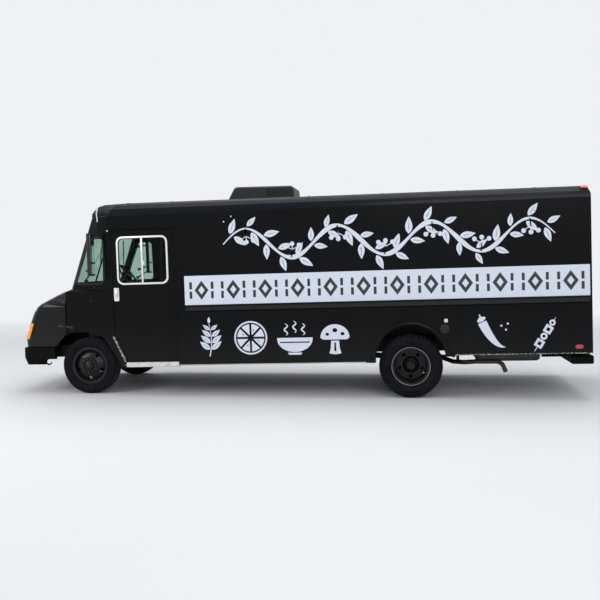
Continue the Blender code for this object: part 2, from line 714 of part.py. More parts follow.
def build_knuckles():
    low, high = FRONT_TYRE_RADIUS - KINGPIN_HEIGHT / 2, FRONT_TYRE_RADIUS + KINGPIN_HEIGHT / 2
    lug = KNUCKLE_LUG
    back_y = KINGPIN_Y + BOSS_RADIUS + 0.008
    for side, name in ((1, "left"), (-1, "right")):
        pivot = empty("steer_" + name, (0, side * KINGPIN_Y, FRONT_TYRE_RADIUS), GROUND)
        knuckle = box((-BOSS_RADIUS, BOSS_RADIUS), (side * back_y, side * (back_y + KNUCKLE_PLATE)),
                      (low - lug, high + lug))
        for bottom, top in ((low - lug, low - BOSS_LIP - GAP), (high + BOSS_LIP + GAP, high + lug)):
            knuckle = joined(
                knuckle,
                cylinder((0, side * KINGPIN_Y, bottom), (0, side * KINGPIN_Y, top), BOSS_RADIUS),
                box((-0.03, 0.03), (side * KINGPIN_Y, side * (back_y + 0.01)), (bottom + 0.001, top - 0.001)),
            )
        reach = FRONT_WHEEL_Y + FRONT_HUB_END - SPINDLE_CLEARANCE
        knuckle = joined(
            knuckle,
            cross_bar((0, FRONT_TYRE_RADIUS), side * (back_y + 0.01), side * reach, SPINDLE_RADIUS),
            box((TIE_ROD_X - 0.025, 0.0), (side * (back_y + 0.002), side * (back_y + 0.022)),
                (low - lug + 0.002, low + 0.02)),
            box((TIE_ROD_X - 0.025, TIE_ROD_X + 0.025), (side * (KINGPIN_Y - 0.05), side * (back_y + 0.021)),
                (low - lug + 0.003, low + 0.019)),
        )
        finish(knuckle, "knuckle_" + name, "cast_iron", pivot)
    arm_foot = low - lug + 0.003
    pivot = empty("tie_rod_slide", (TIE_ROD_X, 0, TIE_ROD_Z), GROUND)
    rod = tube([(TIE_ROD_X, -KINGPIN_Y + 0.03, TIE_ROD_Z), (TIE_ROD_X, KINGPIN_Y - 0.03, TIE_ROD_Z)], TIE_ROD_RADIUS)
    for side in (1, -1):
        y = side * (KINGPIN_Y - 0.025)
        rod = joined(rod, cylinder((TIE_ROD_X, y, TIE_ROD_Z - 0.022), (TIE_ROD_X, y, arm_foot - GAP), 0.024))
    finish(rod, "tie_rod", "chassis_paint", pivot)


def tyre_profile(radius, half):
    """Half of a tyre's section and its mirror image, from bead to tread and back."""
    outer_half = TYRE_WIDTH / 2
    seat = half - FLANGE_THICKNESS - GAP
    side = [
        (seat, RIM_SEAT_RADIUS + GAP), (seat, RIM_FLANGE_RADIUS + 0.006),
        (outer_half - 0.006, RIM_FLANGE_RADIUS + 0.04), (outer_half, radius - 0.06),
        (outer_half - 0.011, radius - 0.017), (outer_half - 0.036, radius),
    ]
    return side + [(-y, r) for y, r in reversed(side)]


def rim_half(half):
    """The barrel of a rim: outer line and inner line, from one flange to the other."""
    outer = [
        (half, RIM_FLANGE_RADIUS), (half - FLANGE_THICKNESS, RIM_FLANGE_RADIUS),
        (half - FLANGE_THICKNESS, RIM_SEAT_RADIUS), (-half + FLANGE_THICKNESS, RIM_SEAT_RADIUS),
        (-half + FLANGE_THICKNESS, RIM_FLANGE_RADIUS), (-half, RIM_FLANGE_RADIUS),
    ]
    return outer, RIM_SEAT_RADIUS - RIM_WALL


# How far the spindles' bores reach inside the hubs, from the middle of the front or rear outer wheel
FRONT_HUB_END = 0.118
REAR_HUB_END = -0.03


def hand_holed(rim, centre, side, radius, start, end):
    """The rim with a ring of hand holes through its disc."""
    for i in range(HAND_HOLES):
        angle = 2 * pi * (i + 0.5) / HAND_HOLES + pi / 2
        axis = (centre[0] + radius * cos(angle), centre[2] + radius * sin(angle))
        y = centre[1]
        rim = cut(rim, cross_bar(axis, y + side * start, y + side * end, HAND_HOLE_RADIUS, 8))
    return rim


def build_front_wheels():
    bore = SPINDLE_RADIUS + GAP
    half = RIM_HALF_WIDTH
    outer, inner = rim_half(half)
    # The disc bulges outward to a broad flat hub face
    disc = [
        (-half, inner), (0.02, inner), (0.04, 0.205), (0.066, 0.165), (0.09, 0.12), (0.09, bore),
        (FRONT_HUB_END, bore), (FRONT_HUB_END, 0.0), (0.137, 0.0), (0.137, 0.035), (0.128, 0.058), (0.106, 0.066),
        (0.104, 0.128), (0.080, 0.174), (0.053, 0.214), (half, inner),
    ]
    for side, name in ((1, "left"), (-1, "right")):
        steer = bpy.data.objects["steer_" + name]
        centre = (0, side * FRONT_WHEEL_Y, FRONT_TYRE_RADIUS)
        pivot = empty("spin_front_" + name, (0, side * (FRONT_WHEEL_Y - KINGPIN_Y), 0), steer)
        rim = hand_holed(turned(outer + disc, centre, side), centre, side, 0.178, 0.0, half)
        finish(rim, "front_rim_" + name, "black_paint", pivot)
        finish(turned(tyre_profile(FRONT_TYRE_RADIUS, half), centre, side), "front_tyre_" + name, "rubber", pivot)


def lugged_tyre(centre, side):
    """A drive tyre whose shoulders and tread edge are notched between its lugs."""
    profile = tyre_profile(REAR_TYRE_RADIUS, RIM_HALF_WIDTH)
    count = len(profile)
    shoulder = {4, 5, count - 6, count - 5}
    rings = []
    for step in range(2 * LUGS):
        angle = pi * step / LUGS
        depth = LUG_DEPTH * (step % 2)
        ring = []
        for i, (y, r) in enumerate(profile):
            reach = r - depth if i in shoulder else r
            ring.append((centre[0] + reach * cos(angle), centre[1] + side * y, centre[2] + reach * sin(angle)))
        rings.append(ring)
    bm = bmesh.new()
    loops = [[bm.verts.new(point) for point in ring] for ring in rings]
    for a in range(len(loops)):
        for i in range(count):
            j = (i + 1) % count
            this, following = loops[a], loops[(a + 1) % len(loops)]
            bm.faces.new((this[i], this[j], following[j], following[i]))
    return object_of(bm)


def build_rear_wheels():
    bore = SPINDLE_RADIUS + GAP
    half = RIM_HALF_WIDTH
    outer, inner = rim_half(half)
    flange = -DUAL_SPACING / 2
    # Both rims bolt back to back at the flange; the profile is given about the outer wheel's middle
    dish = [
        (flange + 0.012, 0.205), (flange + 0.012, 0.115), (flange + 0.060, 0.095), (flange + 0.075, 0.065),
        (flange + 0.12, 0.055), (flange + 0.12, 0.0), (REAR_HUB_END, 0.0), (REAR_HUB_END, bore),
    ]
    inner_middle = -DUAL_SPACING
    profile = [(half, RIM_FLANGE_RADIUS)] + outer[1:]
    profile += [
        (-half, 0.236), (inner_middle + half, 0.236),
    ]
    profile += [(inner_middle + y, r) for y, r in outer]
    profile += [
        (inner_middle - half, inner), (flange - 0.03, inner - 0.012), (flange - 0.012, 0.205),
        (flange - 0.012, 0.11), (flange - 0.012, bore),
    ]
    profile += list(reversed(dish))
    profile += [(flange + 0.035, inner - 0.012), (half, inner)]
    for side, name in ((1, "left"), (-1, "right")):
        centre = (-WHEELBASE, side * REAR_OUTER_WHEEL_Y, REAR_TYRE_RADIUS)
        pivot = empty("spin_rear_" + name, centre, GROUND)
        rims = hand_holed(turned(profile, centre, side), centre, side, 0.158, flange - 0.05, flange + 0.05)
        finish(rims, "rear_rims_" + name, "black_paint", pivot)
        inboard = (centre[0], centre[1] - side * DUAL_SPACING, centre[2])
        finish(lugged_tyre(centre, side), f"rear_tyre_{name}_outer", "rubber", pivot)
        tyre = turned(tyre_profile(REAR_TYRE_RADIUS, half), inboard, side)
        finish(tyre, f"rear_tyre_{name}_inner", "rubber", pivot)


def build_driveline():
    """The engine as one plain block with its gearbox and radiator, and the propeller shaft behind it."""
    fan_hub = cylinder((ENGINE[0][1] - 0.01, 0, FAN_HUB_Z), (RADIATOR[0][0] + 0.01, 0, FAN_HUB_Z), FAN_HUB_RADIUS)
    mount_x, mount_z = ENGINE_MOUNT
    mount_ends = (ENGINE[1][1] - 0.01, RAIL_Y - FRAME_RAIL[0] / 2 - GAP)
    mounts = [box(mount_x, [side * y for y in mount_ends], mount_z) for side in (1, -1)]
    engine = joined(rounded(box(*ENGINE), 0.03, 1), box(*GEARBOX), fan_hub, box(*RADIATOR), *mounts)
    finish(engine, "engine_block", "cast_iron", BODY)
    end_x, end_z = to_body(-WHEELBASE + DIFFERENTIAL_RADIUS + 0.02, REAR_TYRE_RADIUS)
    start_x = GEARBOX[0][0] - GAP
    bearing_x, bearing_z = SHAFT_BEARING
    shaft = tube([
        (start_x, 0, SHAFT_Z), (start_x - 0.10, 0, SHAFT_Z), (bearing_x, 0, bearing_z), (end_x + 0.08, 0, end_z),
        (end_x, 0, end_z),
    ], SHAFT_RADIUS)
    hanger = box((bearing_x - 0.03, bearing_x + 0.03), (-0.05, 0.05),
                 (bearing_z, FRAME_TOP_Z - CROSSMEMBER_DEPTH[0] - GAP))
    finish(joined(shaft, hanger), "driveshaft", "chassis_paint", BODY)


def build_exhaust_and_tank():
    strap = box(*EXHAUST_STRAP, (EXHAUST_ROUTE[-6][2], FRAME_BOTTOM_Z - GAP))
    exhaust = joined(tube(EXHAUST_ROUTE, EXHAUST_RADIUS), rounded(box(*MUFFLER), 0.05, 2), strap)
    finish(exhaust, "exhaust", "steel", BODY)
    strap_y = RAIL_Y - FRAME_RAIL[0] / 2 - GAP
    straps = [box((x - 0.03, x + 0.03), (-strap_y, strap_y), TANK_STRAP_Z) for x in TANK_STRAPS_X]
    finish(joined(rounded(box(*TANK), 0.05, 2), *straps), "fuel_tank", "steel", BODY)


# Load box: floor, walls, roof and rear end


def build_floor():
    inner_y = HALF_WIDTH - WALL - GAP
    back = REAR_X + REAR_FRAME + GAP
    bottom = FLOOR_Z - FLOOR_THICKNESS
    floor = box((back, DOOR_FOOT_X), (-inner_y, inner_y), (bottom, FLOOR_Z))
    well_back = WALL_FRONT_X - DOOR_OVERLAP - 0.02
    for side in (1, -1):
        outside = side * (CAB_SIDE_Y - DOOR_THICKNESS - 0.012)
        slot = side * (HALF_WIDTH + 0.1)
        wheels = (REAR_WHEEL_X - WHEEL_BOX_HALF, REAR_WHEEL_X + WHEEL_BOX_HALF)
        well = (well_back, DOOR_FOOT_X + 0.004)
        floor = cut(
            floor,
            # The closed doors' travel keeps a pocket along the wall, and the step well opens the floor
            box((well_back - DOOR_TRAVEL - 0.06, 0), (outside, slot), (0, 1)),
            box((well_back, 0), (side * STEP_Y, slot), (0, 1)),
        )
        step = box(well, (side * (STEP_Y - PLATE), outside), (STEP_Z - PLATE, FLOOR_Z))
        hollow = box((well[0] + PLATE, well[1] - PLATE), (side * STEP_Y, slot), (STEP_Z, 1))
        floor = joined(floor, cut(step, hollow))
        cover = box(wheels, (side * WHEEL_BOX_Y, side * inner_y), (bottom + 0.005, WHEEL_BOX_TOP))
        floor = joined(floor, cover)
        inside = WHEEL_BOX_WALL
        floor = cut(floor, box((wheels[0] + inside, wheels[1] - inside), (side * (WHEEL_BOX_Y + inside), slot),
                               (0, WHEEL_BOX_TOP - inside)))
    for x in FLOOR_SILLS_X:
        sill = box((x - FLOOR_SILL_HALF, x + FLOOR_SILL_HALF), (-inner_y + 0.1, inner_y - 0.1),
                   (FRAME_TOP_Z + GAP, bottom + 0.005))
        floor = joined(floor, sill)
    finish(floor, "floor", "aluminium", BODY)


def rear_arch_span():
    """The angles at which the rear arch meets the skirt, ahead of the wheel and behind it."""
    front = degrees(asin((SKIRT_Z - REAR_ARCH_Z) / REAR_ARCH_RADIUS))
    rear = degrees(asin((REAR_SKIRT_Z - REAR_ARCH_Z) / REAR_ARCH_RADIUS))
    return front, 180 - rear


def wall_outline():
    front, rear = rear_arch_span()
    top = EAVES_Z - GAP
    arch = arc((REAR_WHEEL_X, REAR_ARCH_Z), REAR_ARCH_RADIUS, rear, front, ARCH_STEPS)
    return [(WALL_FRONT_X, SKIRT_Z), (WALL_FRONT_X, top), (REAR_X, top), (REAR_X, REAR_SKIRT_Z), *arch]


def build_side_wall(side):
    """A wall skin with its post, arch, flare and rub rail, on the given side."""
    outer, inner = side * HALF_WIDTH, side * (HALF_WIDTH - WALL)
    holes = [box_outline(HATCH_X, HATCH_Z)] if side < 0 else []
    wall = plate(wall_outline(), "Y", inner, outer, holes)
    section = [
        (side * (HALF_WIDTH - 0.01 + (RAIL_DEPTH + 0.01) * cos(a)), RAIL_Z + RAIL_HALF_HEIGHT * sin(a))
        for a in (radians(-90 + 22.5 * step) for step in range(9))
    ]
    rail = plate(section, "X", RAIL_FRONT_X, RAIL_REAR_X)
    front, rear = rear_arch_span()
    front, rear = front + 0.4, rear - 0.4
    centre = (REAR_WHEEL_X, REAR_ARCH_Z)
    # The flare is a half-round moulding bent along the arch
    crown = [(REAR_ARCH_RADIUS + 0.003, -0.008)]
    crown += [
        (REAR_ARCH_RADIUS + 0.003 + FLARE_WIDTH * (1 - cos(a)) / 2, FLARE_DEPTH * (0.35 + 0.65 * sin(a)))
        for a in (pi * step / 6 for step in range(7))
    ]
    crown.append((REAR_ARCH_RADIUS + 0.003 + FLARE_WIDTH, -0.008))
    paths = [arc(centre, radius, front, rear, ARCH_STEPS) for radius, _ in crown]
    rings = [
        [(*path[step], side * (HALF_WIDTH + depth)) for path, (_, depth) in zip(paths, crown)]
        for step in range(ARCH_STEPS + 1)
    ]
    flare = loft([[(x, y, z) for x, z, y in ring] for ring in rings])
    return joined(wall, rail, flare)


def box_outline(x, z):
    return [(x[0], z[0]), (x[1], z[0]), (x[1], z[1]), (x[0], z[1])]


def build_walls():
    finish(build_side_wall(1), "left_wall", "black_paint", BODY)
    wall = build_side_wall(-1)
    face = -HALF_WIDTH
    # The hatch hangs from hinge barrels above its opening, and the shelf from barrels below it
    for x in LEAF_HINGES_X:
        wall = joined(wall, *fixed_barrels(x, HATCH_HINGE, face))
        wall = joined(wall, *fixed_barrels(x, SHELF_HINGE, face))
    finish(wall, "right_wall", "black_paint", BODY)


def fixed_barrels(x, hinge, face):
    """The two fixed barrels of a hinge along the wall, each with the strap that carries it."""
    y, z = hinge
    pieces = []
    for side in (1, -1):
        near, far = x + side * (HINGE_LENGTH / 2 + GAP), x + side * 1.5 * HINGE_LENGTH
        strap = HINGE_RADIUS * 0.7
        pieces.append(cylinder((near, y, z), (far, y, z), HINGE_RADIUS, HINGE_SIDES))
        pieces.append(box((near + side * 0.001, far - side * 0.001), (y, face + 0.005), (z - strap, z + strap)))
    return pieces


def hung_leaf(x, hinge, leaf_y, leaf_z):
    """A moving barrel with the strap that joins it to its leaf."""
    y, z = hinge
    barrel = cylinder((x - HINGE_LENGTH / 2, y, z), (x + HINGE_LENGTH / 2, y, z), HINGE_RADIUS, HINGE_SIDES)
    half = HINGE_LENGTH / 2 - 0.001
    return joined(barrel, box((x - half, x + half), leaf_y, leaf_z))


def build_hatch_and_shelf():
    y, z = HATCH_HINGE
    pivot = empty("hatch_hinge", (sum(HATCH_X) / 2, y, z), BODY)
    span = (HATCH_X[0] + DOOR_GAP, HATCH_X[1] - DOOR_GAP)
    low, high = HATCH_Z[0] + DOOR_GAP, HATCH_Z[1] - DOOR_GAP
    hatch = box(span, (-HALF_WIDTH, -HALF_WIDTH + DOOR_THICKNESS), (low, high))
    rim, depth = HATCH_RIM
    frame = plate(box_outline(span, (low, high)), "Y", -HALF_WIDTH + 0.001, -HALF_WIDTH - depth,
                  [box_outline((span[0] + rim, span[1] - rim), (low + rim, high - rim))])
    hatch = joined(hatch, frame)
    for x in LEAF_HINGES_X:
        hatch = joined(hatch, hung_leaf(x, HATCH_HINGE, (y - 0.006, y + 0.008), (high - 0.10, z)))
    finish(hatch, "serving_hatch", "black_paint", pivot)
    y, z = SHELF_HINGE
    pivot = empty("shelf_hinge", (sum(HATCH_X) / 2, y, z), BODY)
    half = SHELF_THICKNESS / 2
    shelf = rounded(box(span, (y - half, y + half), (z - SHELF_DEPTH, z - 0.022)), 0.004, 1)
    for x in LEAF_HINGES_X:
        shelf = joined(shelf, hung_leaf(x, SHELF_HINGE, (y - 0.006, y + 0.006), (z - 0.08, z)))
    finish(shelf, "serving_shelf", "steel", pivot)


def cab_corner_x(z):
    """The windscreen corner's line in side view."""
    share = (z - SCREEN_FOOT[1]) / (SCREEN_HEAD[1] - SCREEN_FOOT[1])
    return SCREEN_FOOT[0] + share * (SCREEN_HEAD[0] - SCREEN_FOOT[0])


def cab_ring(z, corner_x, bow, corner_y, radius, inset=0.0, back=CAB_BACK_X):
    """A plan section of the cab at a height: straight sides, a taper, round corners and a bowed front."""
    side, corner_y, radius = CAB_SIDE_Y - inset, corner_y - inset, max(radius - inset, CAB_LEAST_RADIUS)
    nose = corner_x - inset + bow
    outline = fillet([
        (back, -side, 0), (CAB_SHOULDER_X, -side, 0), (corner_x - inset, -corner_y, radius), (nose, 0, 0),
        (corner_x - inset, corner_y, radius), (CAB_SHOULDER_X, side, 0), (back, side, 0),
    ], 4)
    return [(x, y, z) for x, y in outline]


def cab_volume(inset, low, high, back=CAB_BACK_X):
    """The cab's outer form, or one set inside it, from a lower to an upper height."""
    levels = [
        # height, corner x, bow of the front, corner y, its radius
        (low, SEAM_X, COWL_BOW, COWL_CORNER_Y, COWL_CORNER_RADIUS),
        (COWL_Z, SEAM_X, COWL_BOW, COWL_CORNER_Y, COWL_CORNER_RADIUS),
        (SCREEN_FOOT[1], SCREEN_FOOT[0], CAB_BOW, CAB_CORNER_Y, CAB_CORNER_RADIUS),
        (high, cab_corner_x(high), CAB_BOW, CAB_CORNER_Y, CAB_CORNER_RADIUS),
    ]
    return loft([cab_ring(*level, inset, back) for level in levels])


def front_arch():
    """The front wheel arch in side view: a low flat top with straight flanks, closed below the sills."""
    rear_x, front_x = FRONT_ARCH_TOP_X
    rear_slope, front_slope = FRONT_ARCH_SLOPES
    foot = FRONT_ARCH_FOOT_Z
    drop = FRONT_ARCH_Z - foot
    return fillet([
        (rear_x - rear_slope * drop, foot, 0), (rear_x, FRONT_ARCH_Z, FRONT_ARCH_RADII[0]),
        (front_x, FRONT_ARCH_Z, FRONT_ARCH_RADII[1]), (front_x + front_slope * drop, foot, 0),
    ], 6)


def door_opening():
    """The sliding doors' opening in side view, run out past the cab's rear end."""
    return [
        (DOOR_FRONT_X, DOOR_TOP_Z + 0.4), (DOOR_FRONT_X, DOOR_KNEE_Z), (DOOR_FOOT_X, DOOR_FOOT_Z),
        (DOOR_FOOT_X - 0.12, DOOR_FOOT_Z - 0.22), (CAB_BACK_X - 0.28, DOOR_FOOT_Z - 0.22),
        (CAB_BACK_X - 0.28, DOOR_TOP_Z + 0.4),
    ]


def windscreen_cutter(trim=0.0):
    y, (low, high) = WINDSCREEN_HALF - trim, WINDSCREEN_Z
    return plate(window(-y, y, low + trim, high - trim, 0.06), "X", -0.35, 0.6)


def quarter_outline(trim=0.0):
    rear, foot, head = QUARTER_WINDOW_X
    low, high = QUARTER_WINDOW_Z
    return fillet([
        (u, v, QUARTER_WINDOW_RADIUS)
        for u, v in (
            (rear + trim, low + trim), (foot - trim, low + trim), (head - trim, high - trim), (rear + trim, high - trim),
        )
    ])


def build_cab():
    top = EAVES_Z - GAP
    shell = cab_volume(0, SKIRT_Z, top)
    shell = cut(
        shell,
        cab_volume(CAB_WALL, SKIRT_Z - 0.1, top + 0.1, CAB_BACK_X - 0.13),
        plate(door_opening(), "Y", -1.5, 1.5),
        plate(front_arch(), "Y", -1.5, 1.5),
        windscreen_cutter(),
        plate(quarter_outline(), "Y", -1.5, 1.5),
        box((0.2, 0.6), (-ENGINE_BAY_HALF, ENGINE_BAY_HALF), ENGINE_BAY_Z),
    )
    # The windscreen's centre post stands in front of its pane
    post = common(
        cab_volume(0, COWL_Z, top),
        box((-0.35, 0.6), (-SCREEN_POST_HALF, SCREEN_POST_HALF), (WINDSCREEN_Z[0] - 0.02, WINDSCREEN_Z[1] + 0.02)),
    )
    shell = joined(shell, cut(post, cab_volume(SCREEN_INSET - GAP, COWL_Z - 0.1, top + 0.1, CAB_BACK_X - 0.13)))
    sill_end = (DOOR_FOOT_X + 0.007, DOOR_FOOT_X + 0.095)
    for side in (1, -1):
        outer, inner = side * HALF_WIDTH, side * (HALF_WIDTH - WALL)
        # Each return joins the cab's narrower side to the door rail above, and to the step's sill below
        return_y = (side * (CAB_SIDE_Y - CAB_WALL + 0.004), side * (HALF_WIDTH - 0.001))
        shell = joined(
            shell,
            box((WALL_FRONT_X + GAP, POST_END_X), (inner, outer), (DOOR_TOP_Z, top)),
            box((DOOR_FRONT_X + 0.003, POST_END_X - 0.002), return_y, (DOOR_TOP_Z + 0.001, top - 0.001)),
            box((WALL_FRONT_X + GAP, sill_end[1] + 0.002), (side * (CAB_SIDE_Y + 0.005), outer), SILL_Z),
            box(sill_end, return_y, (SILL_Z[0] + 0.001, SILL_Z[1] - 0.001)),
        )
    finish(shell, "cab_shell", "black_paint", BODY)

    pane = cut(
        cab_volume(SCREEN_INSET, COWL_Z - 0.15, top - 0.02),
        cab_volume(SCREEN_INSET + SCREEN_THICKNESS, COWL_Z - 0.25, top, CAB_BACK_X - 0.13),
    )
    spare = pane.copy()
    spare.data = pane.data.copy()
    PARTS.objects.link(spare)
    finish(common(pane, windscreen_cutter(GAP)), "windscreen", "glass", BODY)
    for side, name in ((1, "left"), (-1, "right")):
        sheet = spare.copy()
        sheet.data = spare.data.copy()
        PARTS.objects.link(sheet)
        cutter = plate(quarter_outline(GAP), "Y", side * (CAB_CORNER_Y - 0.2), side * (HALF_WIDTH + 0.1))
        finish(common(sheet, cutter), "quarter_glass_" + name, "glass", BODY)
    bpy.data.objects.remove(spare, do_unlink=True)


def build_cab_floor():
    """The toe board over the front wheels, with the engine cover in its middle."""
    low, high = FLOOR_Z - 0.03, FRONT_ARCH_Z + 0.04
    back, heel = DOOR_FOOT_X + 0.006, DOOR_FOOT_X + 0.127
    toe = heel + (high - low) * 0.78
    profile = [
        (back, low), (heel, low), (toe, high - TOE_BOARD), (SEAM_X + 0.25, high - TOE_BOARD), (SEAM_X + 0.25, high),
        (toe - 0.015, high), (heel - 0.012, FLOOR_Z), (back, FLOOR_Z),
    ]
    board = plate(profile, "Y", -HALF_WIDTH - 0.1, HALF_WIDTH + 0.1)
    half, inner = COVER_HALF, COVER_HALF - COVER_WALL
    cover = box((back - 0.001, 0.5), (-half, half), (low + 0.01, COVER_TOP_Z))
    hollow = box((back + COVER_WALL, 0.7), (-inner, inner), (0.3, COVER_TOP_Z - COVER_WALL))
    board = cut(joined(board, cover), hollow)
    room = cab_volume(CAB_WALL + GAP, 0.3, EAVES_Z, CAB_BACK_X - 0.08)
    finish(common(board, room), "cab_floor", "interior", BODY)


def roof_rise(x, rise):
    """The height of a roof ring at x: the crown falls slightly to the rear."""
    return EAVES_Z + rise + ROOF_FALL * (x - ROOF_LEVEL_X) * max(rise, 0) / ROOF_CROWN


def roof_ring(rise, inset):
    corner_x = cab_corner_x(EAVES_Z) - inset
    half = HALF_WIDTH - inset
    corner_y = CAB_CORNER_Y - 0.6 * inset
    back = REAR_X + 0.3 * inset
    rear_x, front_x = ROOF_SHOULDER_X
    step = ROOF_SHOULDER_STEP
    outline = fillet([
        (back, -half, 0), (rear_x - inset, -half, 0), (front_x - inset, step - half, 0),
        (corner_x, -corner_y, CAB_CORNER_RADIUS), (corner_x + CAB_BOW, 0, 0),
        (corner_x, corner_y, CAB_CORNER_RADIUS), (front_x - inset, half - step, 0), (rear_x - inset, half, 0),
        (back, half, 0),
    ], 4)
    return [(x, y, roof_rise(x, rise)) for x, y in outline]


def build_roof():
    skin = loft([roof_ring(rise, inset) for rise, inset in ROOF_RISES])
    levels = [(-0.1, ROOF_WALL)] + [(rise - 0.6 * ROOF_WALL, inset + ROOF_WALL) for rise, inset in ROOF_RISES[1:-1]]
    finish(cut(skin, loft([roof_ring(rise, inset) for rise, inset in levels])), "roof", "roof_paint", BODY)
    length, width, height = AC_SIZE
    back, front = AC_X - length / 2, AC_X + length / 2
    base = roof_rise(front, ROOF_CROWN) + GAP
    outline = fillet([
        (back, roof_rise(back, ROOF_CROWN) + GAP, 0), (front, base, 0), (front - 0.12, base + height, 0.07),
        (back + 0.01, base + height - 0.015, 0.05),
    ])
    unit = rounded(plate(outline, "Y", -width / 2, width / 2), 0.02, 1)
    slot, slot_height = AC_LOUVRE
    middle = base + height * 0.5
    for i in range(AC_LOUVRES):
        x = AC_LOUVRE_X + i * AC_LOUVRE_PITCH
        for side in (1, -1):
            unit = cut(unit, box((x - slot / 2, x + slot / 2), (side * (width / 2 - 0.02), side * width),
                                 (middle - slot_height / 2, middle + slot_height / 2)))
    finish(unit, "roof_ac_unit", "black_plastic", BODY)


def upright_barrel(y, start, end):
    return cylinder((REAR_HINGE_X, y, start), (REAR_HINGE_X, y, end), HINGE_RADIUS, HINGE_SIDES)


def build_rear():
    inner_y = HALF_WIDTH - WALL - GAP
    front = REAR_X + REAR_FRAME
    outline = [(-inner_y, REAR_SKIRT_Z), (inner_y, REAR_SKIRT_Z), (inner_y, EAVES_Z - GAP), (-inner_y, EAVES_Z - GAP)]
    hole = [
        (-REAR_OPENING_Y, REAR_OPENING_Z[0]), (REAR_OPENING_Y, REAR_OPENING_Z[0]),
        (REAR_OPENING_Y, REAR_OPENING_Z[1]), (-REAR_OPENING_Y, REAR_OPENING_Z[1]),
    ]
    frame = plate(outline, "X", REAR_X, front, [hole])
    for side, name in ((1, "left"), (-1, "right")):
        hinge_y = side * (REAR_OPENING_Y - DOOR_GAP / 2)
        pivot = empty("rear_hinge_" + name, (REAR_HINGE_X, hinge_y, REAR_OPENING_Z[0]), BODY)
        low, high = REAR_OPENING_Z[0] + DOOR_GAP, REAR_OPENING_Z[1] - DOOR_GAP
        y0, y1, z0, z1 = REAR_WINDOW
        pane = [(side * y, z) for y, z in window(y0, y1, z0, z1, REAR_WINDOW_RADIUS)]
        leaf = plate(
            [(side * DOOR_GAP, low), (side * (REAR_OPENING_Y - DOOR_GAP), low),
             (side * (REAR_OPENING_Y - DOOR_GAP), high), (side * DOOR_GAP, high)],
            "X", REAR_X, REAR_X + REAR_DOOR, [pane],
        )
        glass = window(y0 + GAP, y1 - GAP, z0 + GAP, z1 - GAP, REAR_WINDOW_RADIUS)
        finish(plate([(side * y, z) for y, z in glass], "X", *REAR_GLASS_X), "rear_glass_" + name, "glass", pivot)
        strap = (REAR_HINGE_X - 0.006, REAR_X + 0.006)
        for z in REAR_HINGE_HEIGHTS:
            barrel = upright_barrel(hinge_y, z - HINGE_LENGTH / 2, z + HINGE_LENGTH / 2)
            half = HINGE_LENGTH / 2 - 0.001
            tongue = box(strap, (side * (REAR_OPENING_Y - 0.09), hinge_y), (z - half, z + half))
            leaf = joined(leaf, barrel, tongue)
            for end in (1, -1):
                near = z + end * (HINGE_LENGTH / 2 + GAP)
                far = z + end * HINGE_LENGTH
                frame = joined(
                    frame,
                    upright_barrel(hinge_y, near, far),
                    box(strap, (hinge_y, side * (REAR_OPENING_Y + 0.06)), (near + end * 0.001, far - end * 0.001)),
                )
        finish(leaf, "rear_door_" + name, "black_paint", pivot)
        for z in TAIL_LAMP_HEIGHTS:
            lamp = cylinder((REAR_X + 0.01, side * TAIL_LAMP_Y, z), (REAR_X - TAIL_LAMP_DEPTH, side * TAIL_LAMP_Y, z),
                            TAIL_LAMP_RADIUS, 16)
            frame = joined(frame, lamp)
    finish(frame, "rear_frame", "black_paint", BODY)

    bumper = rounded(box(REAR_BUMPER_X, (-REAR_BUMPER_Y, REAR_BUMPER_Y), REAR_BUMPER_Z), REAR_BUMPER_EDGE, 1)
    for side in (1, -1):
        bumper = joined(
            bumper,
            box((REAR_BUMPER_X[1] - 0.04, REAR_BUMPER_X[1] + 0.27), (side * (RAIL_Y - 0.03), side * (RAIL_Y + 0.03)),
                (REAR_BUMPER_Z[0] + 0.02, FRAME_BOTTOM_Z - GAP)),
        )
    finish(bumper, "rear_bumper", "chassis_paint", BODY)


# Nose and front bumper


def nose_ring(z, corner_x, corner_inset, inset, back):
    corner_y = NOSE_SIDE_Y - corner_inset
    outline = fillet([
        (back, -(NOSE_SIDE_Y - inset), 0), (corner_x - inset, -(corner_y - inset), NOSE_RADIUS - inset),
        (corner_x - inset + NOSE_BOW, 0, 0), (corner_x - inset, corner_y - inset, NOSE_RADIUS - inset),
        (back, NOSE_SIDE_Y - inset, 0),
    ], 4)
    return [(x, y, z) for x, y in outline]


def nose_volume(inset, back=NOSE_BACK_X):
    """The nose's form, or one set inside it (or outside it, with a negative inset)."""
    rings = []
    for i, (z, x, corner_inset) in enumerate(NOSE_SECTIONS):
        height = z - 0.05 if i == 0 and inset > 0 else z - inset
        shoulder = max(z - NOSE_CROWN_Z, 0) * 0.45
        ring = nose_ring(height, x, corner_inset, inset, back)
        rings.append([(px, py * (1 - shoulder), pz) for px, py, pz in ring])
    if inset <= 0:
        z, x, corner_inset = NOSE_SECTIONS[-1]
        crown = nose_ring(z - inset + 0.006, x - 0.06, corner_inset + 0.16, inset, back)
        rings.append([(px, py * 0.85, pz) for px, py, pz in crown])
    return loft(rings)


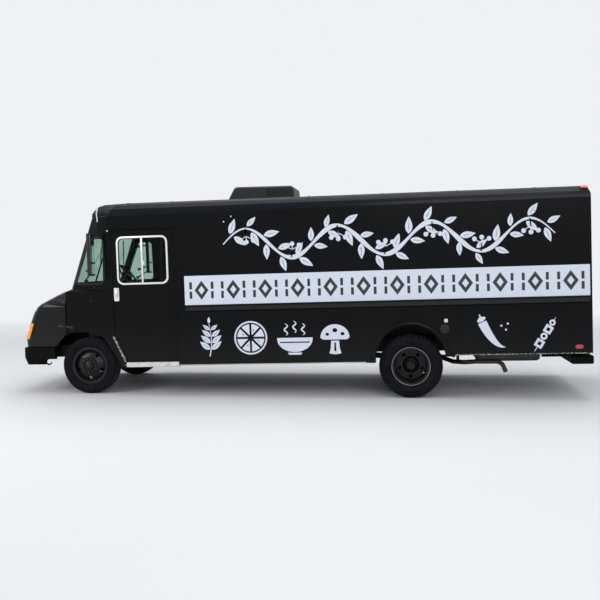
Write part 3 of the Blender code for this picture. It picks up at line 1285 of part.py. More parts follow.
def fender_lip():
    """A raised lip along the arch, ahead of the front wheel."""
    arch = front_arch()
    front_x = FRONT_ARCH_TOP_X[1]
    corner = [point for point in arch if point[0] > front_x and point[1] > FRONT_ARCH_FOOT_Z]
    low = NOSE_SECTIONS[0][0] + 0.004
    slope = FRONT_ARCH_SLOPES[1]
    foot = (corner[-1][0] + slope * (corner[-1][1] - low), low)
    inner = [(x - 0.004, z - 0.004) for x, z in (*corner, foot)]
    outer = [(x + FENDER_LIP * 0.78, z + FENDER_LIP * 0.62) for x, z in (*corner, foot)]
    band = plate(inner + outer[::-1], "Y", -HALF_WIDTH, HALF_WIDTH)
    lip = cut(common(nose_volume(-FENDER_LIP_DEPTH), band), nose_volume(NOSE_WALL / 2, NOSE_BACK_X - 0.1))
    return cut(lip, box((-0.1, NOSE_BACK_X), (-HALF_WIDTH, HALF_WIDTH), (0, 2)))


def turn_lamps():
    """The two turn lamps, proud of the nose's corners, as one mesh."""
    (top_x, top_z), (foot_x, foot_z) = TURN_LAMP
    half = TURN_LAMP_HALF
    outline = [(top_x - half, top_z), (top_x + half, top_z), (foot_x + half, foot_z), (foot_x - half, foot_z)]
    sides = plate(outline, "Y", -HALF_WIDTH, HALF_WIDTH)
    lenses = cut(common(nose_volume(-TURN_LAMP_DEPTH), sides), nose_volume(NOSE_WALL / 2, NOSE_BACK_X - 0.1))
    middle = GRILLE_HALF + 0.015
    return cut(lenses, box((0.6, 1.3), (-middle, middle), (0.5, 1.3)))


def grille_outline(trim=0.0):
    low, high = GRILLE_Z
    return window(-GRILLE_HALF + trim, GRILLE_HALF - trim, low + trim, high - trim, 0.03)


def bumper_outline(inset):
    """The bumper's plan: short sides, round corners and a face that bows slightly about its flat middle."""
    face, side, corner = BUMPER_X - inset, BUMPER_SIDE_Y - inset, BUMPER_CORNER - 0.8 * inset
    half = [
        (BUMPER_BACK_X - 2 * inset, side, 0), (BUMPER_X - BUMPER_CORNER - inset, side - 0.02, corner),
        (face, BUMPER_FLAT_HALF, BUMPER_CREST_RADIUS),
    ]
    return fillet([(x, -y, radius) for x, y, radius in half] + half[::-1], 5)


def bumper_volume(inset, low, high):
    """The bumper's form, or one set inside it: upright above, tucked in towards its lower edge."""
    knee = BUMPER_Z[0] + BUMPER_TUCK_HEIGHT
    rings = []
    for z in (low, knee, high):
        tuck = BUMPER_TUCK * max(knee - z, 0) / BUMPER_TUCK_HEIGHT
        rings.append([(x, y, z) for x, y in bumper_outline(inset + tuck)])
    return loft(rings)


def build_nose():
    pivot = empty("hood_hinge", (HOOD_HINGE[0], 0, HOOD_HINGE[1]), BODY)
    hood = cut(
        nose_volume(0),
        nose_volume(NOSE_WALL, NOSE_BACK_X - 0.1),
        plate(front_arch(), "Y", -1.5, 1.5),
        plate(grille_outline(), "X", 0.8, 1.3),
    )
    hood = joined(hood, fender_lip(), turn_lamps())
    hinge_x, hinge_z = HOOD_HINGE
    for side in (1, -1):
        y = side * HOOD_HINGE_Y
        hood = joined(
            hood,
            cross_bar(HOOD_HINGE, y - HINGE_LENGTH / 2, y + HINGE_LENGTH / 2, HINGE_RADIUS, HINGE_SIDES),
            box((hinge_x - 0.05, hinge_x), (y - HINGE_LENGTH / 2 + 0.001, y + HINGE_LENGTH / 2 - 0.001),
                (hinge_z - HINGE_RADIUS * 0.7, hinge_z + HINGE_RADIUS * 0.7)),
        )
    finish(hood, "hood", "black_paint", pivot)

    grille = cut(nose_volume(0.004), nose_volume(0.03, NOSE_BACK_X - 0.1))
    grille = common(grille, plate(grille_outline(GAP), "X", 0.85, 1.25))
    low, high = GRILLE_Z
    count = int((high - low - SLAT_MARGIN) / SLAT_PITCH)
    for step in range(count):
        z = low + SLAT_MARGIN + (step + 0.5) * (high - low - 2 * SLAT_MARGIN) / count
        for end in (1, -1):
            slot = box((0.8, 1.3), (end * 0.02, end * SLAT_HALF), (z - SLAT_PITCH * 0.27, z + SLAT_PITCH * 0.27))
            grille = cut(grille, slot)
    lamp_z = (low + high) / 2
    for side in (1, -1):
        y = side * LAMP_Y
        grille = joined(grille, cylinder((LAMP_X[0], y, lamp_z + 0.004), (LAMP_X[1], y, lamp_z), LAMP_RADIUS, 20))
    finish(grille, "grille", "black_plastic", pivot)

    low, high = BUMPER_Z
    bumper = cut(
        bumper_volume(0.0, low, high),
        bumper_volume(BUMPER_WALL, low - 0.02, high + 0.05),
        plate(BUMPER_NOTCH, "Y", -1.5, 1.5),
    )
    rail_face = RAIL_Y + FRAME_RAIL[0] / 2 + GAP
    for side in (1, -1):
        bumper = joined(
            bumper,
            box((BUMPER_NOTCH[1][0], BUMPER_X - 0.03), (side * rail_face, side * (rail_face + 0.03)),
                (FRAME_BOTTOM_Z + 0.02, FRAME_TOP_Z - 0.03)),
        )
        for end in (1, -1):
            near = side * HOOD_HINGE_Y + end * (HINGE_LENGTH / 2 + GAP)
            far = near + end * HINGE_LENGTH
            bumper = joined(
                bumper,
                cross_bar(HOOD_HINGE, near, far, HINGE_RADIUS, HINGE_SIDES),
                box((hinge_x - 0.012, hinge_x + 0.012), (near + end * 0.001, far - end * 0.001),
                    (high - 0.01, hinge_z)),
            )
    finish(bumper, "front_bumper", "black_plastic", BODY)


# Doors and cab interior


def door_outline():
    low = SILL_Z[1] - 0.03
    back = WALL_FRONT_X - DOOR_OVERLAP
    high = DOOR_TOP_Z + DOOR_OVERLAP
    front = DOOR_FRONT_X - DOOR_GAP
    return [
        (front, high), (front, DOOR_KNEE_Z), (DOOR_FOOT_X - DOOR_GAP, DOOR_FOOT_Z), (DOOR_FOOT_X - DOOR_GAP, low),
        (back, low), (back, high),
    ]


def door_window(grow, radius=DOOR_WINDOW_RADIUS):
    x0, x1, z0, z1 = DOOR_WINDOW
    return window(x0 - grow, x1 + grow, z0 - grow, z1 + grow, radius)


def build_doors():
    _, _, z0, z1 = DOOR_WINDOW
    outer, inner = CAB_SIDE_Y, CAB_SIDE_Y - DOOR_THICKNESS
    bar_x = (WINDOW_DIVIDER_X - WINDOW_DIVIDER_HALF, WINDOW_DIVIDER_X + WINDOW_DIVIDER_HALF)
    for side, name in ((1, "driver"), (-1, "passenger")):
        slide = empty(name + "_door_slide", (DOOR_FRONT_X, side * outer, SILL_Z[1]), BODY)
        door = plate(door_outline(), "Y", side * inner, side * outer, [door_window(0)])
        frame = plate(door_window(WINDOW_FRAME, DOOR_WINDOW_RADIUS + 0.02), "Y", side * (outer - 0.002),
                      side * (outer + 0.004), [door_window(-0.001)])
        bar = box(bar_x, (side * (outer - 0.008), side * (outer + 0.003)), (z0 - 0.005, z1 + 0.005))
        finish(joined(door, frame, bar), name + "_door", "black_paint", slide)
        pane = plate(door_window(-GAP), "Y", side * (outer - 0.016), side * (outer - 0.0085))
        finish(pane, name + "_door_glass", "glass", slide)


def steering_wheel():
    """A rim on three spokes, square to the column."""
    radius, bar = STEERING_WHEEL_RADIUS, STEERING_RIM_RADIUS
    section = [(bar * cos(a), radius + bar * sin(a)) for a in (pi * i / 3 for i in range(6))]
    wheel = joined(
        turned(section, (0, 0, 0), 1, WHEEL_STEPS),
        box((-radius, radius), (-0.010, 0.010), (-0.02, 0.02)),
        box((-0.02, 0.02), (-0.010, 0.010), (-radius, 0.0)),
        cylinder((0, -0.05, 0), (0, 0.03, 0), 0.05),
    )
    hub_x, hub_z = STEERING_HUB
    tilt = Matrix.Translation((hub_x, STEERING_Y, hub_z)) @ Matrix.Rotation(radians(-STEERING_TILT), 4, "Y")
    return moved(wheel, tilt @ Matrix.Rotation(pi / 2, 4, "X"))


def build_interior():
    front = SEAM_X - CAB_WALL
    dash = rounded(box((DASH_BACK_X, front - 0.02), (-DASH_HALF, DASH_HALF), (DASH_TOP_Z - DASH_DEPTH, DASH_TOP_Z)),
                   0.03, 1)
    lip = box((front - 0.06, front - GAP), (0.04 - DASH_HALF, DASH_HALF - 0.04),
              (DASH_TOP_Z - DASH_DEPTH + 0.03, DASH_TOP_Z - 0.07))
    foot_x, foot_z = STEERING_FOOT
    hub_x, hub_z = STEERING_HUB
    column = tube([(foot_x, STEERING_Y, foot_z), (hub_x + 0.025, STEERING_Y, hub_z - 0.018)], 0.025)
    finish(joined(dash, lip, column, steering_wheel()), "dashboard", "black_plastic", BODY)

    (back, front), (near, far), (low, high) = SEAT_X, SEAT_Y, SEAT_Z
    recline = Matrix.Translation((back - 0.01, 0, low + 0.08)) @ Matrix.Rotation(radians(-SEAT_RECLINE), 4, "Y")
    backrest = moved(box((-0.06, 0.06), (near + 0.01, far - 0.01), (-0.03, SEAT_BACK - 0.03)), recline)
    seat = joined(
        rounded(box(SEAT_X, SEAT_Y, SEAT_Z), 0.04, 2),
        rounded(backrest, 0.04, 2),
        box((back + 0.06, front - 0.08), (near + 0.10, far - 0.10), (FLOOR_Z + GAP, low + 0.02)),
    )
    finish(seat, "driver_seat", "seat_vinyl", BODY)

    wall_y = HALF_WIDTH - WALL - GAP
    cabinet_y = wall_y - 0.02
    counter_foot = COUNTER_TOP_Z[0] - 0.275
    counter = joined(
        box(COUNTER_X, (-wall_y, -COUNTER_EDGE_Y), COUNTER_TOP_Z),
        box((COUNTER_X[0] + 0.05, COUNTER_X[1] - 0.05), (-cabinet_y, -COUNTER_EDGE_Y - CABINET_SETBACK),
            (counter_foot, COUNTER_TOP_Z[0] + 0.005)),
        box(COUNTER_BASE_X, (-cabinet_y, -COUNTER_EDGE_Y - CABINET_SETBACK), (FLOOR_Z + GAP, CABINET_FOOT_Z)),
    )
    finish(counter, "serving_counter", "steel", BODY)
    bench = joined(
        box(BENCH_X, (BENCH_EDGE_Y, wall_y), BENCH_TOP_Z),
        box((BENCH_X[0] + 0.05, BENCH_X[1] - 0.05), (BENCH_EDGE_Y + CABINET_SETBACK, cabinet_y),
            (WHEEL_BOX_TOP + 0.03, BENCH_TOP_Z[0] + 0.01)),
        box(BENCH_BASE_X, (BENCH_EDGE_Y + CABINET_SETBACK, cabinet_y), (FLOOR_Z + GAP, CABINET_FOOT_Z)),
    )
    finish(bench, "galley_bench", "steel", BODY)


def cab_side_point(x, z):
    """A point (y) on the tapering side of the cab, and its outward direction in plan."""
    run = cab_corner_x(max(z, SCREEN_FOOT[1])) - CAB_SHOULDER_X
    slope = (CAB_SIDE_Y - CAB_CORNER_Y) / run
    return CAB_SIDE_Y - slope * (x - CAB_SHOULDER_X), Vector((slope, 1, 0)).normalized()


def build_mirrors():
    for side, name in ((1, "left"), (-1, "right")):
        turn = Matrix.Diagonal((1, side, 1))
        mirror = rounded(box(MIRROR_X, [side * y for y in MIRROR_Y], MIRROR_Z), 0.012, 1)
        for foot_x, foot_z, head_z in MIRROR_ARMS:
            foot_y, out = cab_side_point(foot_x, foot_z)
            foot = Vector((foot_x, foot_y, foot_z))
            pad = [foot + out * reach for reach in (0.0025, 0.016)]
            head = Vector((sum(MIRROR_X) / 2, MIRROR_ARM_Y, head_z))
            route = [foot + out * 0.012, foot + out * 0.05, head]
            mirror = joined(
                mirror,
                tube([turn @ point for point in route], MIRROR_ARM_RADIUS, 8),
                cylinder(turn @ pad[0], turn @ pad[1], 0.024),
            )
        finish(mirror, "mirror_" + name, "black_plastic", BODY)


build_frame()
build_front_axle()
build_rear_axle()
build_knuckles()
build_front_wheels()
build_rear_wheels()
build_driveline()
build_exhaust_and_tank()
build_floor()
build_walls()
build_hatch_and_shelf()
build_cab()
build_cab_floor()
build_roof()
build_rear()
build_nose()
build_doors()
build_interior()
build_mirrors()
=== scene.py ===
"""The looks of a black step van fitted out as a food truck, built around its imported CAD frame."""

import json
from math import cos, pi, radians, sin, tau

import bmesh
import bpy
from bpy.props import FloatProperty, FloatVectorProperty, IntProperty, PointerProperty
from mathutils import Matrix, Vector
from mathutils.bvhtree import BVHTree
from mathutils.geometry import tessellate_polygon


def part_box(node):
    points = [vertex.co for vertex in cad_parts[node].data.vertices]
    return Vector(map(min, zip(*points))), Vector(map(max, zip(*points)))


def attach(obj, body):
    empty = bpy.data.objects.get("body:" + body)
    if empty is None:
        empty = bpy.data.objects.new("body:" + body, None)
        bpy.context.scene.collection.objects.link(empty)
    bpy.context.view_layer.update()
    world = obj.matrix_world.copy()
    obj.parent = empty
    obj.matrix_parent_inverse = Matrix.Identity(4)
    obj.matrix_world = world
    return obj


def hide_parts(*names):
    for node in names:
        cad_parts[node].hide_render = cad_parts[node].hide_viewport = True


bl_info = {
    "name": "Food truck looks",
    "version": (1, 0, 0),
    "blender": (4, 5, 0),
    "location": "View3D > Sidebar > Truck",
    "description": "Dresses the packed frame of a step van fitted out as a food truck",
    "category": "Object",
}

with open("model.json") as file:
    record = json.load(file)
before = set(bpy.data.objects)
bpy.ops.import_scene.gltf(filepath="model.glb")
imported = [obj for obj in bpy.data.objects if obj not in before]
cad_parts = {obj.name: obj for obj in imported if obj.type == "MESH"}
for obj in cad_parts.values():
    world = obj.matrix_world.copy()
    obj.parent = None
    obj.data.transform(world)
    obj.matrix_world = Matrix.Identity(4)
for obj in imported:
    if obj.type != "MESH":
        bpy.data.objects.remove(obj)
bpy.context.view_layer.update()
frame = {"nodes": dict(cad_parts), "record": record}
NODES = frame["nodes"]
SIDES = ((1, "left"), (-1, "right"))
DOORS = ((1, "driver"), (-1, "passenger"))

# The body's own axes, x forward and z up, start under the middle of the front axle.
# They lean with the truck's stance.
RAKE = radians(1.108)
BODY_X = 2.87992
BODY_LIFT = 0.02
BODY = Matrix.Translation((BODY_X, 0, BODY_LIFT)) @ Matrix.Rotation(RAKE, 4, "Y")
AHEAD = BODY.to_3x3() @ Vector((1, 0, 0))
ASTERN = -AHEAD

# The body, in its own axes
WALL_Y = 1.2
CAB_Y = 1.15
WALL_FRONT_X = -1.335
WALL_REAR_X = -6.874
RAIL_Z = 1.172
SKIRT_Z = 0.385
REAR_SKIRT_Z = 0.468
REAR_ARCH = ((-4.528, 0.412), 0.466)
HATCH = (-4.394, -2.306, 1.306, 2.154)
DOOR_WINDOW = (-1.19, -0.50, 1.555, 2.18)
REAR_WINDOW = (0.208, 0.592, 1.458, 2.042)
DASH_FACE_X = -0.0605
BENCH_TOP_Z = 1.6405
STEP_TOP_Z = 0.43
# Places clear of the body, from which a ray is cast at it
BESIDE_Y = 1.6
BEFORE_X = 1.2

# Galley: the planes of the bench's and the counter's fronts
BENCH_FACE = 0.60
COUNTER_FACE = 0.66

# Wheels: radii, and places along the axle
FRONT_TYRE = 0.4045
REAR_TYRE = 0.4287
RIM_SEAT = 0.2378
RIM_HALF = 0.095
RIM_RADIUS = 0.256
FRONT_HUB_FACE = 0.105
REAR_DISC_FACE = -0.1225

# Turned profiles, as (along the axis, radius)
LOCK_RING = ((0.088, 0.2335), (0.094, 0.2335), (0.096, 0.2305), (0.094, 0.2275), (0.088, 0.2275))
HUB_CAP = ((0.136, 0.020), (0.1415, 0.020), (0.1425, 0.016), (0.1425, 0))
BUTTON = ((-0.001, 0), (-0.001, 0.010), (0.004, 0.010), (0.006, 0.007), (0.006, 0))

BACKDROP = (0.86, 0.88, 0.90, 1)
FILM = 0.0006
FILM_LIFT = 0.0003


# Sizes and colours that a user would change


def length_of(name, description, default):
    return FloatProperty(name=name, description=description, default=default, unit="LENGTH")


def colour_of(name, description, default):
    return FloatVectorProperty(
        name=name, description=description, default=(*default, 1), subtype="COLOR", size=4
    )


class TruckSizes(bpy.types.PropertyGroup):
    """Sizes of the dressing, in metres"""

    rivet_pitch: length_of("Rivet pitch", "Distance between the rivets of a row", 0.085)
    rivet_radius: length_of("Rivet radius", "Radius of a rivet's head", 0.0055)
    tread_depth: length_of("Tread depth", "Height of the drive tyres' blocks", 0.015)
    tread_blocks: IntProperty(name="Tread blocks", description="Blocks round a drive tyre", default=44)
    wheel_nuts: IntProperty(name="Wheel nuts", description="Nuts on a wheel", default=10)
    trim_radius: length_of("Rubber trim", "Radius of the rubber round the fixed panes", 0.009)
    vine_leaf: length_of("Leaf length", "Length of a leaf of the painted vine", 0.20)


class TruckColours(bpy.types.PropertyGroup):
    """Colours of the dressing"""

    enamel: colour_of("Enamel", "The body's black enamel", (0.0024, 0.0029, 0.0040))
    grime: colour_of("Grime", "Road dust on the lower body", (0.050, 0.047, 0.038))
    vinyl: colour_of("White vinyl", "The white band and its ornament", (0.70, 0.745, 0.84))
    amber: colour_of("Amber", "Turn lamps", (0.93, 0.36, 0.02))
    red: colour_of("Red", "Tail and marker lamps", (0.62, 0.010, 0.030))
    pane: colour_of("Pane", "Tint of the safety glass", (0.56, 0.70, 0.63))


def sizes():
    return bpy.context.scene.truck_sizes


def colours():
    return bpy.context.scene.truck_colours


# Shader maths


class Signal:
    """A number inside a material. Python's operators on it add Math nodes."""

    def __init__(self, finish, socket):
        self.finish, self.socket = finish, socket

    def maths(self, operation, *others):
        return self.finish.node(
            "ShaderNodeMath", {"operation": operation}, {i: v for i, v in enumerate(others)},
        )

    def __add__(self, other):
        return self.maths("ADD", self, other)

    __radd__ = __add__

    def __sub__(self, other):
        return self.maths("SUBTRACT", self, other)

    def __rsub__(self, other):
        return self.maths("SUBTRACT", other, self)

    def __mul__(self, other):
        return self.maths("MULTIPLY", self, other)

    __rmul__ = __mul__

    def __truediv__(self, other):
        return self.maths("DIVIDE", self, other)

    def __pow__(self, other):
        return self.maths("POWER", self, other)

    def __gt__(self, other):
        return self.maths("GREATER_THAN", self, other)

    def __lt__(self, other):
        return self.maths("LESS_THAN", self, other)

    def at_most(self, other):
        return self.maths("MINIMUM", self, other)

    def at_least(self, other):
        return self.maths("MAXIMUM", self, other)

    def size(self):
        return self.maths("ABSOLUTE", self)

    def sine(self):
        return self.maths("SINE", self)

    def clamped(self):
        return self.at_most(1.0).at_least(0.0)

    def between(self, low, high):
        """0 below low, 1 above high, and straight in between."""
        return ((self - low) / (high - low)).clamped()


class Finish:
    """A material with one Principled shader, and the nodes that vary it."""

    def __init__(self, name, constants=None):
        self.material = bpy.data.materials.new(name)
        self.material.use_nodes = True
        self.tree = self.material.node_tree
        self.shader = self.tree.nodes["Principled BSDF"]
        for socket, value in (constants or {}).items():
            self.shader.inputs[socket].default_value = value

    def node(self, kind, settings=None, inputs=None, output=0):
        """Adds a node: its settings first, then the values or links of its sockets."""
        made = self.tree.nodes.new(kind)
        for name, value in (settings or {}).items():
            setattr(made, name, value)
        for name, value in (inputs or {}).items():
            self.feed(made.inputs[name], value)
        return Signal(self, made.outputs[output])

    def feed(self, socket, value):
        if isinstance(value, Signal):
            self.tree.links.new(value.socket, socket)
        else:
            socket.default_value = value

    def drive(self, **sockets):
        """Feeds the shader's own sockets: colour, roughness, metallic, normal or glow."""
        names = {
            "colour": "Base Color", "roughness": "Roughness", "metallic": "Metallic", "normal": "Normal",
            "glow": "Emission Color",
        }
        for name, value in sockets.items():
            self.feed(self.shader.inputs[names[name]], value)

    def place(self, output="Object"):
        return self.node("ShaderNodeTexCoord", output=output)

    def axes(self, output="Object"):
        """The three parts of the place on the piece, or of its normal."""
        split = self.tree.nodes.new("ShaderNodeSeparateXYZ")
        self.tree.links.new(self.place(output).socket, split.inputs[0])
        return [Signal(self, split.outputs[i]) for i in range(3)]

    def noise(self, scale, detail, rough, stretch=(1, 1, 1)):
        where = self.node("ShaderNodeMapping", {}, {"Vector": self.place(), "Scale": stretch})
        settings = {"Vector": where, "Scale": scale, "Detail": detail, "Roughness": rough}
        return self.node("ShaderNodeTexNoise", {}, settings)

    def mixed(self, factor, first, second):
        """One colour, or another by the factor."""
        return self.node("ShaderNodeMix", {"data_type": "RGBA"}, {0: factor, 6: first, 7: second}, output=2)

    def bump(self, height, strength, distance, under=None):
        inputs = {"Height": height, "Strength": strength, "Distance": distance}
        if under is not None:
            inputs["Normal"] = under
        return self.node("ShaderNodeBump", {}, inputs)

    def slot_in(self, other, factor):
        """This finish where the factor is 0 and another, made in this tree by a function, where it is 1."""
        shader = self.tree.nodes.new("ShaderNodeBsdfPrincipled")
        first, self.shader = self.shader, shader
        other(self)
        mix = self.tree.nodes.new("ShaderNodeMixShader")
        self.feed(mix.inputs[0], factor)
        self.tree.links.new(first.outputs[0], mix.inputs[1])
        self.tree.links.new(shader.outputs[0], mix.inputs[2])
        self.tree.links.new(mix.outputs[0], self.tree.nodes["Material Output"].inputs["Surface"])


FINISHES = {}


def finish_named(name):
    """The material of that name, made the first time it is asked for."""
    if name not in FINISHES:
        made = brushed_steel(name, *METALS[name]) if name in METALS else MAKERS[name]()
        FINISHES[name] = made.material
    return FINISHES[name]


def grey(value):
    return (value, value, value, 1)


def road_dust(finish, low=0.25, high=1.15):
    """Road dust: thick at the skirts, gone above the rub rail, and streaked by the noise."""
    _, _, z = finish.axes()
    cloud = finish.noise(2.6, 6.0, 0.62)
    speckle = finish.noise(55.0, 3.0, 0.6)
    fade = 1.0 - z.between(low, high)
    return ((fade ** 1.5) * (0.30 + 0.9 * cloud) * (0.6 + 0.7 * speckle)).clamped()


def lining(finish):
    """The load space's white wall board."""
    panel = finish.noise(1.3, 2.0, 0.5)
    dirt = finish.noise(7.0, 5.0, 0.6)
    pebble = finish.noise(420.0, 1.0, 0.5)
    finish.drive(
        colour=finish.mixed(dirt.between(0.45, 0.8) * 0.5, (0.60, 0.60, 0.585, 1), (0.42, 0.41, 0.385, 1)),
        roughness=0.32 + 0.15 * panel, normal=finish.bump(pebble, 0.25, 0.0006),
    )


def in_wheel_well(finish):
    """1 inside the rear wheel boxes, where the floor takes painted shade and the walls no lining."""
    x, _, z = finish.axes()
    (arch_x, arch_z), reach = REAR_ARCH
    middle = place_on_body(arch_x, 0, arch_z)
    u, v = x - middle.x, z - middle.z
    return ((u * u + v * v) ** 0.5) < reach + 0.0035


def inward(finish):
    """1 on the faces that look into the load space or cab."""
    x, y, z = finish.axes()
    nx, ny, nz = finish.axes("Normal")
    side = ((y * ny) < -0.35) * (y.size() > 0.3) * (z > 0.80)
    ceiling = (nz < -0.4) * (z > 2.2)
    rear = (nx > 0.6) * (x < -3.6)
    return (side + ceiling + rear).clamped() * (1.0 - in_wheel_well(finish))


def enamel(name="enamel", dust=(0.25, 1.15), lined=False, warm=1.0, gloss=0.065, coat=0.07):
    paint, grime = colours().enamel, colours().grime
    finish = Finish(
        name, {"Coat Weight": coat, "Coat Roughness": 0.06, "Coat IOR": 1.4, "Specular IOR Level": gloss},
    )
    dusty = road_dust(finish, *dust)
    haze = finish.noise(0.9, 3.0, 0.5, (1, 1, 0.7))
    wipe = finish.noise(14.0, 4.0, 0.6, (0.25, 0.25, 3.0))
    base = finish.mixed(haze * 0.55, tuple(paint), (0.0062, 0.0064, 0.0068, 1))
    base = finish.mixed(dusty * 0.30 * warm, base, tuple(grime))
    waves = finish.noise(1.6, 1.0, 0.4, (1, 1, 1.6))
    peel = finish.noise(260.0, 2.0, 0.5)
    finish.drive(
        colour=base,
        roughness=(0.16 + 0.10 * wipe + 0.34 * dusty).clamped(),
        normal=finish.bump(peel, 0.06, 0.0004, finish.bump(waves, 0.22, 0.006)),
    )
    if lined:
        finish.slot_in(lining, inward(finish))
    return finish


def roof_skin():
    finish = Finish("roof_skin", {"Coat Weight": 0.05, "Coat Roughness": 0.2, "Specular IOR Level": 0.09})
    settled = finish.noise(3.1, 6.0, 0.62)
    specks = finish.noise(90.0, 2.0, 0.6)
    # Faces that look up turn paler and bluer: settled dust, and a painted sky sheen on the roof's top
    _, _, nz = finish.axes("Normal")
    up = nz.between(0.55, 0.98)
    dusty = (up * (0.25 + settled) * (0.55 + 0.8 * specks)).clamped()
    finish.drive(
        colour=finish.mixed(dusty * 0.32, (0.0035, 0.0055, 0.0090, 1), (0.040, 0.046, 0.054, 1)),
        roughness=(0.22 + 0.5 * dusty).clamped(),
        normal=finish.bump(finish.noise(1.4, 1.0, 0.4), 0.3, 0.008),
    )
    finish.slot_in(lining, inward(finish))
    return finish


def chassis_black():
    finish = Finish("chassis_black", {"Specular IOR Level": 0.16})
    rust = finish.noise(9.0, 6.0, 0.65).between(0.56, 0.74)
    dust = finish.noise(34.0, 4.0, 0.6)
    finish.drive(
        colour=finish.mixed(
            rust, finish.mixed(dust * 0.6, (0.011, 0.011, 0.011, 1), (0.034, 0.031, 0.027, 1)),
            (0.060, 0.028, 0.014, 1),
        ),
        roughness=0.55 + 0.3 * dust, normal=finish.bump(dust, 0.3, 0.0012),
    )
    return finish


def moulded_black(name="moulded_black", base=0.011, roughness=0.46, gloss=0.3, dust=0.35):
    finish = Finish(name, {"Specular IOR Level": gloss})
    grain = finish.noise(520.0, 2.0, 0.5)
    bloom = finish.noise(6.0, 4.0, 0.6)
    dusty = road_dust(finish, 0.2, 0.9)
    colour = finish.mixed(bloom * 0.5, grey(base), grey(base * 2.1))
    finish.drive(
        colour=finish.mixed(dusty * dust, colour, (0.060, 0.056, 0.047, 1)),
        roughness=(roughness + 0.12 * bloom + 0.2 * dusty).clamped(), normal=finish.bump(grain, 0.22, 0.0005),
    )
    return finish


def brushed_steel(name, colour, worn, along, rough):
    finish = Finish(name)
    brush = finish.noise(30.0, 4.0, 0.6, along)
    smear = finish.noise(3.0, 5.0, 0.6)
    finish.drive(
        colour=finish.mixed(smear.between(0.35, 0.75) * 0.6, colour, worn),
        metallic=1.0 - 0.12 * smear, roughness=rough + 0.14 * brush + 0.12 * smear,
        normal=finish.bump(brush, 0.05, 0.0004),
    )
    return finish


def cast_iron():
    finish = Finish("cast_iron", {"Specular IOR Level": 0.15})
    rust = finish.noise(12.0, 7.0, 0.66)
    pits = finish.noise(150.0, 3.0, 0.6)
    finish.drive(
        colour=finish.mixed(rust.between(0.46, 0.74), (0.0075, 0.0075, 0.0080, 1), (0.030, 0.018, 0.012, 1)),
        roughness=0.62 + 0.25 * rust, metallic=0.12 - 0.1 * rust, normal=finish.bump(pits, 0.4, 0.0014),
    )
    return finish


def safety_glass():
    finish = Finish("safety_glass", {"Transmission Weight": 1.0, "IOR": 1.15, "Specular IOR Level": 0.6})
    film = finish.noise(5.0, 5.0, 0.6)
    drops = finish.noise(140.0, 2.0, 0.6)
    finish.drive(
        colour=finish.mixed(film * 0.35, tuple(colours().pane), (0.48, 0.60, 0.54, 1)),
        roughness=(0.012 + 0.06 * film.between(0.5, 0.85) + 0.02 * drops).clamped(),
        normal=finish.bump(finish.noise(2.0, 1.0, 0.4), 0.03, 0.002),
    )
    return finish


def middle_of(node):
    low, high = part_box(node)
    return (low + high) / 2


def tyre_rubber(name="tyre_rubber", wheel=None, radius=0.4):
    """Rubber, paler on the outermost tread of that wheel's node: a painted highlight, with some wear."""
    finish = Finish(name, {"Specular IOR Level": 0.07})
    scuff = finish.noise(22.0, 6.0, 0.65)
    fine = finish.noise(310.0, 2.0, 0.55)
    dust = finish.noise(6.5, 5.0, 0.6)
    colour = finish.mixed(scuff.between(0.35, 0.75), (0.0036, 0.0045, 0.0068, 1), (0.0105, 0.0110, 0.0125, 1))
    if wheel:
        x, _, z = finish.axes()
        axle = middle_of(wheel)
        u, v = x - axle.x, z - axle.z
        # Painted highlight with some wear: the outermost tread is mixed towards a pale bluish grey
        worn = ((u * u + v * v) ** 0.5).between(radius - 0.013, radius - 0.003)
        colour = finish.mixed(worn * (0.45 + 0.5 * scuff), colour, (0.030, 0.033, 0.040, 1))
    finish.drive(
        colour=finish.mixed((dust.between(0.45, 0.8)) * 0.22, colour, (0.030, 0.030, 0.031, 1)),
        roughness=0.62 + 0.25 * scuff, normal=finish.bump(fine, 0.3, 0.0006, finish.bump(scuff, 0.2, 0.0012)),
    )
    return finish


def painted_shade_with_grit(scale, dark, light, rough, spread):
    """Painted shade with some road grit: how an inside finish is coloured from below, where little light
    reaches.
    """
    def underside(made):
        grit = made.noise(scale, 5.0, 0.62)
        made.drive(
            colour=made.mixed(grit, dark, light), roughness=rough + spread * grit,
            normal=made.bump(grit, 0.35, 0.002),
        )

    return underside


def inside_paint():
    """Light grey paint on the inside faces, and painted shade, dull black with some grit, on the faces that
    look down or ahead.
    """
    finish = Finish("inside_paint", {"Specular IOR Level": 0.35})
    marks = finish.noise(11.0, 6.0, 0.65)
    mat = finish.noise(300.0, 2.0, 0.6)
    finish.drive(
        colour=finish.mixed(marks.between(0.40, 0.75), (0.105, 0.105, 0.103, 1), (0.055, 0.053, 0.050, 1)),
        roughness=0.5 + 0.25 * marks, normal=finish.bump(mat, 0.3, 0.0008),
    )
    nx, _, nz = finish.axes("Normal")
    # Painted shade: dull black with grit where the faces look down or ahead
    below = painted_shade_with_grit(26.0, grey(0.006), (0.020, 0.018, 0.015, 1), 0.8, 0.1)
    finish.slot_in(below, ((nz < -0.2) + (nx > 0.25)).clamped())
    return finish


